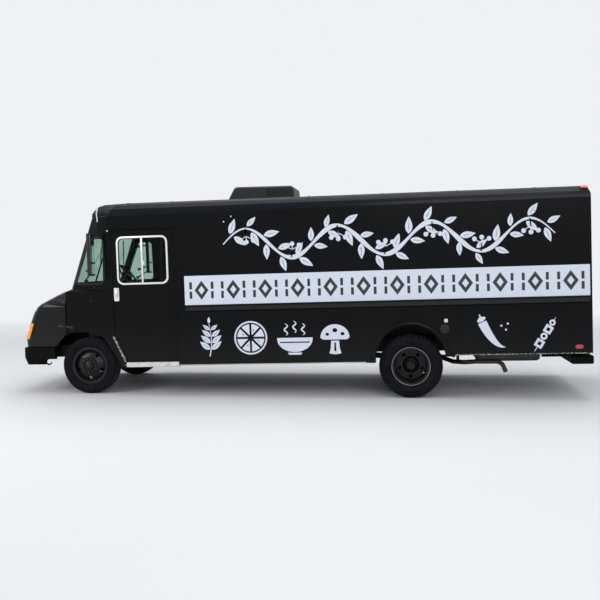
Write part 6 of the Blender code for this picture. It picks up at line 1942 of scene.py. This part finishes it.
class TRUCK_OT_interior(bpy.types.Operator):
    """Fit the dials and switches, the galley's fronts and taps, the hatch's seal and the front plate"""

    bl_idname = "truck.fit_interior"
    bl_label = "Fit the interior"

    def execute(self, context):
        self.dials()
        self.fronts()
        self.sink()
        self.griddle()
        # The rubber round the serving opening, on its inner edge
        seal = prism(
            window(HATCH, 0.030, 0.020, 4), -0.008, -0.0006, on_side(-1, WALL_Y - 0.040),
            [window(HATCH, -0.002, 0.012, 4)],
        )
        piece("hatch_seal", bevelled(seal, 0.002, 1), "soft_black", "root")
        self.front_plate()
        return {"FINISHED"}

    def dials(self):
        """Four dials with eleven marks each, and two rows of switches."""
        bezels, faces, marks, needles = [], [], [], []
        for y, radius, angle in (
            (0.385, 0.046, 215), (0.535, 0.046, 160), (0.285, 0.025, 120), (0.635, 0.025, 95),
        ):
            centre = place_on_body(DASH_FACE_X, y, 1.302)
            bezels.append(
                turned(
                    [
                        (-0.002, radius), (-0.002, radius + 0.007), (0.006, radius + 0.006),
                        (0.009, radius + 0.002), (0.004, radius),
                    ],
                    centre, ASTERN, 32,
                )
            )
            faces.append(
                turned([(0.0002, 0), (0.0002, radius), (0.0012, radius), (0.0012, 0)], centre, ASTERN, 32)
            )

            def on_dial(u, v, depth, centre=centre):
                return centre + BODY.to_3x3() @ Vector((-0.0012 - depth, u, v))
            for step in range(11):
                tick = turned_by(
                    rectangle(radius * 0.76, radius * 0.92, -0.0008, 0.0008), radians(225 - 27 * step),
                )
                marks.append(prism(tick, 0.0001, 0.0004, on_dial))
            tip = radius * 0.82
            hand = turned_by(
                [(-0.006, -0.0016), (tip, -0.0005), (tip, 0.0005), (-0.006, 0.0016)], radians(angle),
            )
            needles.append(prism(hand, 0.0012, 0.0020, on_dial))
        piece("dial_bezels", merged(*bezels), "brushed_steel", "root")
        piece("dial_faces", merged(*faces), "black_vinyl", "root")
        piece("dial_marks", merged(*marks), "white_vinyl", "root")
        piece("dial_needles", merged(*needles), "red_lens", "root")
        rows = [[place_on_body(DASH_FACE_X, y, z) for y in (-0.02, -0.42)] for z in (1.275, 1.325)]
        rivets(
            "dash_switches", rows, tread_block(0.026, 0.020, 0.008), 0.05, ASTERN, "soft_black", "root",
        )

    def fronts(self):
        """Cupboard doors with bar handles, along the galley bench and under the counter."""
        for name, side, face, x0, x1, low, high, count in (
            ("bench", 1, BENCH_FACE, -6.36, -2.54, 0.97, 1.585, 8), (
                "counter", -1, COUNTER_FACE, -4.46, -2.34, 0.985, 1.225, 4,
            ),
        ):
            doors, handles = [], []
            pitch, top = (x1 - x0) / count, high - 0.05

            def on_front(u, v, depth, side=side, face=face):
                return place_on_body(u, side * (face - depth), v)
            for i in range(count):
                a, b = x0 + pitch * i + 0.006, x0 + pitch * (i + 1) - 0.006
                doors.append(panel((a, b, low, high), 0.008, (0.0006, 0.014), on_front, 0.002, segments=2))
                u = (a + 0.045) if i % 2 else (b - 0.045)
                handles.append(
                    tube(
                        [
                            (u, top - drop, depth)
                            for drop, depth in (
                                (0, 0.014), (0, 0.036), (0.012, 0.042), (0.118, 0.042), (0.13, 0.036),
                                (0.13, 0.014),
                            )
                        ],
                        on_front, 0.005,
                    )
                )
            piece(f"{name}_doors", merged(*doors), "brushed_steel", "root")
            piece(f"{name}_handles", merged(*handles), "bright_alloy", "root")

    def sink(self):
        """A basin's rim, its bottom, the drain and a mixer tap, on the bench."""
        place, x = on_top(BENCH_TOP_Z), -3.19
        basin = (-3.39, -2.99, 0.69, 1.01)
        inner = window(basin, 0.0, 0.04, 5)
        parts = [
            bevelled(prism(window(basin, 0.03, 0.05, 5), 0.0, 0.005, place, [inner]), 0.0015, 1),
            prism(inner, 0.0, 0.0012, place),
            turned(
                [(0.001, 0.022), (0.001, 0.034), (0.003, 0.033), (0.003, 0.023)], place(x, 0.85, 0),
                (0, 0, 1), 24,
            ),
        ]
        route = ((1.075, 0.0), (1.075, 0.19), (1.06, 0.235), (1.01, 0.255), (0.95, 0.245), (0.925, 0.205))
        parts.append(
            tube([(x, y, z) for y, z in route], place, [0.014, 0.012, 0.012, 0.012, 0.011, 0.010], 10)
        )
        tap = [(0.0, 0.018), (0.028, 0.016), (0.034, 0.022), (0.050, 0.020), (0.054, 0.012), (0.054, 0)]
        parts += [turned(tap, place(x + shift, 1.075, 0), (0, 0, 1), 16) for shift in (-0.08, 0.08)]
        piece("sink_and_tap", merged(*parts), "brushed_steel", "root")

    def griddle(self):
        """A plate with splash rails on three sides, and its knobs on the bench's front."""
        place = on_top(BENCH_TOP_Z)
        x0, x1, y0, y1 = -5.25, -4.45, 0.64, 1.10
        parts = [panel((x0, x1, y0, y1), 0.015, (0.0, 0.030), place, 0.003, segments=3)]
        parts += [bevelled(prism(rectangle(*spans), 0.028, 0.085, place), 0.0015, 1) for spans in (
            (x0, x0 + 0.008, y0, y1), (x1 - 0.008, x1, y0, y1), (x0, x1, y1 - 0.008, y1))]
        piece("griddle", merged(*parts), "burnt_steel", "root")
        knob = head_of([(-0.001, 0.018), (0.012, 0.017), (0.016, 0.013), (0.016, 0)], 14)
        rivets(
            "griddle_knobs", [[place_on_body(x, 0.5598, 1.62) for x in (-5.20, -4.50)]], knob, 0.14,
            (0, -1, 0), "moulded_black", "root", 40,
        )

    def front_plate(self):
        spot, _ = touch(["front_bumper"], place_on_body(1.6, 0, 0.545), ASTERN)
        place = on_cross((BODY.inverted() @ spot).x, 1)
        plate = panel((-0.155, 0.155, 0.470, 0.622), 0.012, (0.0003, 0.0022), place, 0.0006)
        screws = as_bmesh(
            in_rows(
                [[place(y, 0.600, 0.002) for y in (-0.105, 0.105)]], dome(0.007, 0.003), 0.21, "bright_alloy",
                facing=AHEAD,
            )
        )
        piece("blank_front_plate", merged(plate, screws), "bare_plate", "root")


class TRUCK_OT_rivets(bpy.types.Operator):
    """Rivet the sheets along their edges and posts"""

    bl_idname = "truck.drive_rivets"
    bl_label = "Drive the rivets"

    def execute(self, context):
        pitch, radius = sizes().rivet_pitch, sizes().rivet_radius
        height = 0.0022
        for side, name in SIDES:
            out = (0, side, 0)
            # Rows as (x, z) to (x, z)
            rows = [((-1.46, v), (-6.85, v)) for v in (2.475, 2.345)]
            rows += [
                ((-1.46, 1.09), (-4.0, 1.09)), ((-5.05, 1.09), (-6.85, 1.09)), ((-1.46, 0.42), (-3.90, 0.42)),
                ((-5.15, 0.505), (-6.85, 0.505)),
            ]
            rows += [((u, 0.52), (u, 2.46)) for u in (-1.388, -6.852)]
            if side > 0:
                rows += [((u, 1.66), (u, 2.46)) for u in (-2.68, -3.90, -5.12)]
            place = on_side(side)
            rivets(
                f"wall_rivets_{name}", [[place(*p, 0) for p in row] for row in rows], dome(radius, height),
                pitch, out,
            )
            rivets(
                f"rail_screws_{name}", [[place(u, RAIL_Z, 0.0312) for u in (-1.5, -6.80)]],
                dome(0.007, 0.0035), 0.30, out,
            )
            (x, z), reach = REAR_ARCH
            turns = [radians(18 + 6 * step) for step in range(25)]
            arch = [place(x + (reach + 0.032) * cos(t), z + (reach + 0.032) * sin(t), 0.0345) for t in turns]
            rivets(f"arch_screws_{name}", [arch], dome(0.006, 0.003), 0.105, out)
        for side, name in DOORS:
            place = on_side(side, CAB_Y)
            rows = (
                ((-0.425, 0.84), (-0.425, 1.26)), ((-0.425, 1.53), (-0.425, 2.27)),
                ((-0.44, 2.275), (-1.32, 2.275)), ((-0.66, 0.475), (-1.32, 0.475)),
            )
            rivets(
                f"{name}_door_rivets", [[place(*p, 0) for p in row] for row in rows],
                dome(radius * 0.8, height * 0.8), pitch * 1.3, (0, side, 0), body=f"{name}_door",
            )
        rows = [((y, 0.55), (y, 2.46)) for y in (-1.13, 1.13)] + [
            ((-1.08, z), (1.08, z))
            for z in (2.45, 2.345, 0.52)
        ]
        rivets(
            "rear_rivets", [[on_rear(*p, 0) for p in row] for row in rows], dome(radius, height), pitch,
            ASTERN,
        )
        self.roof_seams()
        return {"FINISHED"}

    def roof_seams(self):
        """Lapped seams across the roof skin, each riveted."""
        for number, x in enumerate((-6.2, -5.2, -4.2, -3.2, -1.25, -0.62)):
            down = BODY.to_3x3() @ Vector((0, 0, -1))
            spots = [touch(["roof"], place_on_body(x, -1.12 + 0.07 * step, 3.4), down) for step in range(33)]
            strip = swept(lifted(spots, 0.0012), 0.018, 8, flat=0.16, up=(0, 0, 1))
            piece(f"roof_seam_{number}", strip, "roof_skin", "root")
            rivets(
                f"roof_seam_rivets_{number}", [lifted(spots, 0.0032)], dome(0.0055, 0.0025), 0.09, (0, 0, 1),
                "roof_skin", "root",
            )


# Painted ornament: each motif stands on v = 0, about half a metre high, and is a list of films


def around(count, radius, centre=(0, 0), tall=1.0, turn=0.0):
    """The corners of a round or oval outline."""
    turns = [turn + tau * i / count for i in range(count)]
    return [Vector(centre) + Vector((cos(t) * radius, sin(t) * radius * tall)) for t in turns]


def turned_by(points, angle, shift=(0, 0)):
    c, s = cos(angle), sin(angle)
    return [Vector((p[0] * c - p[1] * s + shift[0], p[0] * s + p[1] * c + shift[1])) for p in points]


def film(outline, place, holes=(), lift=0.0):
    return prism([Vector(p) for p in outline], lift, FILM + lift, place, holes)


def disc(centre, radius, place, hole=0.0, steps=40, lift=0.0):
    """A round film, or a ring."""
    holes = [around(steps, hole, centre)] if hole else []
    return film(around(steps, radius, centre), place, holes, lift)


def strip_of(points, widths, place, lift=0.0):
    """A flat ribbon along (u, v) points, as a thin film."""
    bm = bmesh.new()
    rows = []
    count = len(points)
    points = [Vector(p) for p in points]
    for i, here in enumerate(points):
        along = (points[min(i + 1, count - 1)] - points[max(i - 1, 0)]).normalized()
        across = Vector((-along.y, along.x)) * widths[i] / 2
        a, b = here + across, here - across
        rows.append([bm.verts.new(place(*p, depth)) for p in (a, b) for depth in (lift, FILM + lift)])
    for a, b in zip(rows, rows[1:]):
        for i, j in ((0, 1), (1, 3), (3, 2), (2, 0)):
            bm.faces.new((a[i], a[j], b[j], b[i]))
    bm.faces.new((rows[0][0], rows[0][2], rows[0][3], rows[0][1]))
    bm.faces.new((rows[-1][0], rows[-1][1], rows[-1][3], rows[-1][2]))
    bmesh.ops.recalc_face_normals(bm, faces=bm.faces)
    return bm


def leaf_outline(length, width, steps=9):
    """A pointed leaf from its stalk at the origin along u, as an outline."""
    upper = [Vector((length * i / steps, width / 2 * sin(pi * (i / steps) ** 0.8))) for i in range(1, steps)]
    lower = [Vector((p.x, -p.y)) for p in reversed(upper)]
    return [Vector((0, 0)), *upper, Vector((length, 0)), *lower]


def leaf_vein(length, start, end):
    """The slit along a leaf, tapering from its stalk."""
    return [
        Vector((length * s, w))
        for s, w in ((start, 0.0035), (end, 0.001), (end, -0.001), (start, -0.0035))
    ]


def sprig(place):
    """A stem with leaves in pairs."""
    stem = [Vector((0.03 * sin(3.2 * t / 20), 0.02 + 0.50 * t / 20)) for t in range(21)]
    parts = [strip_of(stem, [0.017 - 0.009 * i / 20 for i in range(21)], place)]
    for t, length in ((4, 0.20), (8, 0.19), (12, 0.165), (16, 0.13)):
        for turn in (1, -1):
            angle, root = pi / 2 - turn * radians(52), stem[t] + Vector((turn * 0.012, 0.006))
            vein = turned_by(leaf_vein(length, 0.22, 0.84), angle, root)
            parts.append(film(turned_by(leaf_outline(length, length * 0.42), angle, root), place, [vein]))
    parts.append(
        film(turned_by(leaf_outline(0.10, 0.045), pi / 2 - 0.02, stem[20] + Vector((0, 0.008))), place)
    )
    return parts


def citrus_slice(place):
    """A round slice: its rind, and eight segments with a pip in every other one."""
    centre = Vector((0, 0.27))
    parts = [disc(centre, 0.235, place, 0.212, 64)]
    half = radians(22.5) - 0.075
    for i in range(8):
        angle = tau * (i + 0.5) / 8
        segment = [Vector((0.040, 0))]
        segment += [
            Vector((cos(half * (s / 4 - 1)) * 0.192, sin(half * (s / 4 - 1)) * 0.192))
            for s in range(9)
        ]
        pip = around(10, 0.016, (0.115, 0), 0.0065 / 0.016)
        parts.append(
            film(turned_by(segment, angle, centre), place, [turned_by(pip, angle, centre)] if i % 2 else [])
        )
    return parts


def steaming_bowl(place):
    """A footed bowl under three curls of steam."""
    bowl = [(-0.25, 0.26), (0.25, 0.26)]
    bowl += [(0.25 * cos(radians(-a)), 0.245 + 0.185 * sin(radians(-a))) for a in range(6, 176, 10)]
    stripe = [Vector(p) for p in ((-0.215, 0.205), (0.215, 0.205), (0.207, 0.188), (-0.207, 0.188))]
    parts = [
        film(bowl, place, [stripe]),
        film(((-0.10, 0.052), (0.10, 0.052), (0.085, 0.022), (-0.085, 0.022)), place),
    ]
    for middle, lift in ((-0.12, 0.0), (0.0, 0.035), (0.12, 0.0)):
        wave = [(middle + 0.022 * sin(t * 0.62), 0.295 + lift + 0.165 * t / 16) for t in range(17)]
        parts.append(strip_of(wave, [0.006 + 0.016 * sin(pi * (i + 0.5) / 17) for i in range(17)], place))
    return parts


def mushroom(place):
    """A broad cap with spots, over a stout stem."""
    cap = [(0.22 * cos(radians(a)), 0.275 + 0.20 * sin(radians(a))) for a in range(0, 181, 9)]
    cap += [(-0.18, 0.245), (0.18, 0.245)]
    spots = [
        around(16, r, (x, y), -0.85)
        for x, y, r in ((0.0, 0.385, 0.038), (-0.115, 0.325, 0.027), (0.115, 0.330, 0.030))
    ]
    stem = (
        (-0.060, 0.228), (0.060, 0.228), (0.068, 0.12), (0.090, 0.035), (0.0, 0.020), (-0.090, 0.035),
        (-0.068, 0.12),
    )
    gill = [Vector(p) for p in ((-0.012, 0.200), (0.012, 0.200), (0.016, 0.070), (-0.016, 0.070))]
    return [film(cap, place, spots), film(stem, place, [gill])]


def chilli(place):
    """A curved pepper with its cap and stalk, hanging at a slant, and three seeds."""
    spine = [
        Vector((-0.15 + 0.30 * (t / 18) ** 1.1, 0.42 - 0.34 * sin(pi * 0.5 * t / 18)))
        for t in range(19)
    ]
    body = strip_of(spine, [0.115 * (1 - (i / 18) ** 1.6) + 0.004 for i in range(19)], place)
    cap = film(
        turned_by(leaf_outline(0.075, 0.125, 8), radians(118), spine[0] + Vector((0.004, 0.008))), place,
        lift=0.0002,
    )
    stalk = [(-0.165 - 0.02 * t / 6, 0.455 + 0.075 * t / 6 + 0.01 * sin(t)) for t in range(7)]
    seeds = [
        disc((0.10 + x, 0.37 + y), 0.014, place, steps=14)
        for x, y in ((0, 0), (0.06, -0.055), (0.085, 0.025))
    ]
    return [body, cap, strip_of(stalk, [0.016] * 7, place), *seeds]


def skewer(place):
    """A slanting stick with round and square bites on it."""
    tilt = radians(58)
    along = Vector((cos(tilt), sin(tilt)))
    foot = Vector((-0.155, 0.02))
    parts = []
    last = 0.0
    for share, reach, sides in ((0.13, 0.062, 4), (0.25, 0.050, 24), (0.365, 0.060, 4), (0.475, 0.044, 24)):
        parts.append(
            strip_of([foot + along * last, foot + along * (share - reach * 0.99)], [0.010, 0.010], place)
        )
        turn, size = (tilt + pi / 4, reach * 1.35) if sides == 4 else (tilt, reach)
        middle = foot + along * share
        mark = around(sides, size * 0.42, middle, turn=turn)
        parts.append(film(around(sides, size, middle, turn=turn), place, [mark]))
        last = share + reach * 0.99
    parts.append(strip_of([foot + along * last, foot + along * 0.565], [0.010, 0.004], place))
    return parts


def vine(place, facing, start, end, middle):
    """A running vine between two places: a waving stem, berries at its bends, and leaves set along it."""
    length = abs(end - start)
    waves, height = round(length / 0.63) / 2, 0.205
    steps = int(length * 34)
    way = 1 if end > start else -1

    def stem_at(t):
        return Vector((start + way * length * t, middle + height * sin(tau * waves * t)))

    stem = [stem_at(i / steps) for i in range(steps + 1)]
    widths = [
        0.014 + 0.050 * min(1.0, 5 * min(i, steps - i) / steps) * (0.72 + 0.28 * sin(i * 0.42))
        for i in range(steps + 1)
    ]
    parts = [strip_of(stem, widths, place)]
    for crest in range(int(2 * waves)):
        up = 1 if crest % 2 else -1
        root = stem_at((crest + 0.5) / (2 * waves))
        fork = root + Vector((way * 0.012, up * 0.105))
        for reach, lean in ((0.060, 0.0), (0.040, 0.075), (0.040, -0.075)):
            tip = fork + Vector((lean, up * reach))
            stalk = [root, root.lerp(fork, 0.6), fork, fork.lerp(tip, 0.5), tip]
            parts.append(strip_of(stalk, [0.020, 0.016, 0.013, 0.011, 0.010], place, 0.0001))
            parts.append(disc(tip + Vector((lean * 0.25, up * 0.018)), 0.031, place, steps=24, lift=0.0002))
    leaf = sizes().vine_leaf
    for up, shift in ((1, 0.0), (-1, 0.5)):
        line = []
        for i in range(4, steps - 3):
            here, after = stem_at((i + shift) / steps), stem_at((i + shift) / steps + 0.002)
            ahead = (after - here).normalized()
            line.append(place(*(here + Vector((-ahead.y, ahead.x)) * up * way * 0.034), 0.0))
        shape = film(leaf_outline(leaf, leaf * 0.42), flat, [leaf_vein(leaf, 0.25, 0.80)])
        turn = up * radians(48) * (1 if facing[1] * way < 0 else -1)
        parts.append(
            as_bmesh(
                in_rows(
                    [line], shape, 0.262, "white_vinyl", facing=facing, turn=turn, uneven=0.16, seed=11 + up,
                )
            )
        )
    return parts


def band_motif():
    """A diamond between two broken bars, as a flat film about its own origin."""
    hole = [Vector(p) for p in ((-0.045, 0), (0, 0.061), (0.045, 0), (0, -0.061))]
    parts = [film(((-0.098, 0), (0, -0.132), (0.098, 0), (0, 0.132)), flat, [hole])]
    parts += [
        film(rectangle(x - 0.019, x + 0.019, *v), flat)
        for x in (-0.152, 0.152)
        for v in ((-0.115, -0.016), (0.016, 0.115))
    ]
    return merged(*parts)


class TRUCK_OT_ornament(bpy.types.Operator):
    """Lay on the white band and the ornament: a vine above it and food motifs below"""

    bl_idname = "truck.lay_ornament"
    bl_label = "Lay on the ornament"

    band_z = (1.225, 1.627)
    hatch_band_z = (1.361, 1.627)
    bands = {"left": ((-1.452, -6.848),), "right": ((-1.452, -2.285), (-4.415, -6.848))}
    vines = {"left": (-2.02, -6.42), "right": (-4.62, -6.72)}
    # Where along the side, size, motif, and whether the serving hatch leaves room for it on the right
    motifs = (
        (-1.78, 0.90, sprig, True), (-2.36, 0.98, citrus_slice, False), (-2.97, 0.98, steaming_bowl, False),
        (-3.52, 0.90, mushroom, False), (-5.62, 0.98, chilli, True), (-6.28, 0.92, skewer, True),
    )

    def execute(self, context):
        for side, name in SIDES:
            for number, (a, b) in enumerate(self.bands[name]):
                self.band(f"band_{name}_{number}", a, b, *self.band_z, "root", side)
        self.band("band_hatch", HATCH[1] - 0.055, HATCH[0] + 0.055, *self.hatch_band_z, "serving_hatch", -1)
        for side, name in SIDES:
            painted = vine(on_side(side, WALL_Y + FILM_LIFT), (0, side, 0), *self.vines[name], 2.045)
            piece(f"vine_{name}", merged(*painted), "white_vinyl", "root", 30)
        for side, name in SIDES:
            place = on_side(side, WALL_Y + FILM_LIFT)
            parts = []
            for x, size, motif, both in self.motifs:
                if side > 0 or both:
                    def set_at(u, v, depth, x=x, size=size, place=place, side=side):
                        return place(x - side * u * size, 0.490 + v * size, depth)
                    parts += motif(set_at)
            piece(f"motifs_{name}", merged(*parts), "white_vinyl", "root", 30)
        return {"FINISHED"}

    def band(self, name, a, b, low, high, body, side):
        """A white film with the pattern in black on it, kept clear of its ends."""
        place = on_side(side, WALL_Y + FILM_LIFT)
        piece(name, film(rectangle(a, b, low, high), place), "white_vinyl", body)
        line = [place(u, (low + high) / 2, FILM + 0.0001) for u in (a - 0.24, b + 0.24)]
        pattern = in_rows([line], band_motif(), 0.425, "black_vinyl", facing=(0, side, 0))
        piece(f"{name}_pattern", pattern, "black_vinyl", body)


class TRUCK_OT_stage(bpy.types.Operator):
    """Set the floor, the backdrop, the lights and the camera"""

    bl_idname = "truck.set_stage"
    bl_label = "Set the stage"

    def execute(self, context):
        self.ground()
        self.world()
        self.lights()
        self.camera()
        context.scene.view_settings.view_transform = "Standard"
        return {"FINISHED"}

    def ground(self):
        bm = bmesh.new()
        bmesh.ops.create_grid(bm, x_segments=1, y_segments=1, size=60)
        mesh = bpy.data.meshes.new("studio_floor")
        bm.to_mesh(mesh)
        bm.free()
        floor = bpy.data.objects.new("studio_floor", mesh)
        bpy.context.scene.collection.objects.link(floor)
        finish = Finish("studio_floor", {"Specular IOR Level": 0.2})
        cloud = finish.noise(0.35, 3.0, 0.5)
        grit = finish.noise(40.0, 4.0, 0.6)
        x, y, _ = finish.axes()
        finish.drive(
            colour=finish.mixed(cloud * 0.5 + grit * 0.3, (0.78, 0.78, 0.78, 1), (0.73, 0.73, 0.73, 1)),
            roughness=0.75 + 0.1 * grit, normal=finish.bump(grit, 0.1, 0.001),
        )

        def either(factor, first, second):
            """One shader, or another by the factor."""
            mix = finish.node("ShaderNodeMixShader", {}, {0: factor})
            for i, socket in ((1, first), (2, second)):
                finish.tree.links.new(socket, mix.socket.node.inputs[i])
            return mix.socket

        # Far from the truck the floor takes the backdrop's own colour, so that no horizon shows
        away = ((x * x + y * y) ** 0.5).between(6.0, 17.0)
        camera = finish.node("ShaderNodeLightPath")
        glossy = Signal(finish, camera.socket.node.outputs["Is Glossy Ray"])
        glow = finish.node("ShaderNodeEmission", {}, {"Color": BACKDROP, "Strength": 1.0})
        seen = either(away * camera.at_least(glossy), finish.shader.outputs[0], glow.socket)
        # From below, the camera looks through the floor at the underside
        under = Signal(finish, finish.node("ShaderNodeNewGeometry").socket.node.outputs["Backfacing"])
        clear = either(under * camera, seen, finish.node("ShaderNodeBsdfTransparent").socket)
        finish.tree.links.new(clear, finish.tree.nodes["Material Output"].inputs["Surface"])
        mesh.materials.append(finish.material)

    def world(self):
        """The backdrop to the camera, in reflections and through glass; a bluer light from it otherwise."""
        world = bpy.data.worlds.new("studio")
        bpy.context.scene.world = world
        world.use_nodes = True
        tree = world.node_tree
        path = tree.nodes.new("ShaderNodeLightPath")
        seen = path.outputs["Is Camera Ray"]
        for ray in ("Is Glossy Ray", "Is Transmission Ray"):
            most = tree.nodes.new("ShaderNodeMath")
            most.operation = "MAXIMUM"
            tree.links.new(seen, most.inputs[0])
            tree.links.new(path.outputs[ray], most.inputs[1])
            seen = most.outputs[0]
        tint = tree.nodes.new("ShaderNodeMix")
        tint.data_type = "RGBA"
        tint.inputs[6].default_value = (0.52, 0.56, 0.62, 1)
        tint.inputs[7].default_value = BACKDROP
        tree.links.new(seen, tint.inputs[0])
        background = tree.nodes["Background"]
        tree.links.new(tint.outputs[2], background.inputs["Color"])
        background.inputs["Strength"].default_value = 1.0

    def lights(self):
        for name, place, target, size, power, colour in (
            ("overhead", (-0.5, -1.0, 8.5), (-0.2, 0, 1.2), (11, 7), 560, (1.0, 0.99, 0.97)),
            ("front_quarter", (8.5, 7.0, 5.5), (1.5, 0, 1.2), (5, 4), 330, (1.0, 0.97, 0.93)),
            ("side_fill", (-4.0, 11.5, 5.5), (-0.5, 1.0, 1.0), (7, 3.5), 300, (0.95, 0.97, 1.0)),
        ):
            data = bpy.data.lights.new(name, "AREA")
            data.shape = "RECTANGLE"
            data.size, data.size_y = size
            data.energy = power
            data.color = colour
            lamp = bpy.data.objects.new(name, data)
            bpy.context.scene.collection.objects.link(lamp)
            lamp.location = place
            lamp.rotation_euler = (Vector(target) - Vector(place)).to_track_quat("-Z", "Y").to_euler()

    def camera(self):
        """The photograph's own camera: at eye height, nearly square on to the side."""
        place = Vector((-1.5795, 11.7999, 1.87))
        yaw, pitch, roll, focal, width = 0.1337, -0.0499, -0.0125, 788.78, 600
        ahead = Vector((sin(yaw) * cos(pitch), -cos(yaw) * cos(pitch), sin(pitch)))
        right = ahead.cross(Vector((0, 0, 1))).normalized()
        up = right.cross(ahead)
        right, up = right * cos(roll) + up * sin(roll), up * cos(roll) - right * sin(roll)
        data = bpy.data.cameras.new("photo_camera")
        data.sensor_width = 36
        data.lens = data.sensor_width * focal / width
        data.clip_end = 200
        camera = bpy.data.objects.new("photo_camera", data)
        bpy.context.scene.collection.objects.link(camera)
        rows = [(right[i], up[i], -ahead[i], place[i]) for i in range(3)]
        camera.matrix_world = Matrix((*rows, (0, 0, 0, 1)))
        bpy.context.scene.camera = camera


OPERATORS = (
    TRUCK_OT_paint, TRUCK_OT_tyres, TRUCK_OT_wheel_fittings, TRUCK_OT_lamps, TRUCK_OT_glazing, TRUCK_OT_seat,
    TRUCK_OT_hardware, TRUCK_OT_interior, TRUCK_OT_rivets, TRUCK_OT_ornament, TRUCK_OT_stage,
)


class TRUCK_PT_dressing(bpy.types.Panel):
    """Lists the steps that dress the truck"""

    bl_idname = "TRUCK_PT_dressing"
    bl_label = "Food truck"
    bl_space_type = "VIEW_3D"
    bl_region_type = "UI"
    bl_category = "Truck"

    def draw(self, context):
        for operator in OPERATORS:
            self.layout.operator(operator.bl_idname)
        for group in (context.scene.truck_sizes, context.scene.truck_colours):
            for name in group.__annotations__:
                self.layout.prop(group, name)


CLASSES = (TruckSizes, TruckColours, *OPERATORS, TRUCK_PT_dressing)


def register():
    for cls in CLASSES:
        bpy.utils.register_class(cls)
    bpy.types.Scene.truck_sizes = PointerProperty(type=TruckSizes)
    bpy.types.Scene.truck_colours = PointerProperty(type=TruckColours)


def unregister():
    del bpy.types.Scene.truck_colours
    del bpy.types.Scene.truck_sizes
    for cls in reversed(CLASSES):
        bpy.utils.unregister_class(cls)


def main():
    register()
    for operator in OPERATORS:
        name = operator.bl_idname.split(".")[1]
        if getattr(bpy.ops.truck, name)() != {"FINISHED"}:
            raise RuntimeError(f"{operator.bl_label} did not finish")


if __name__ == "__main__":
    main()
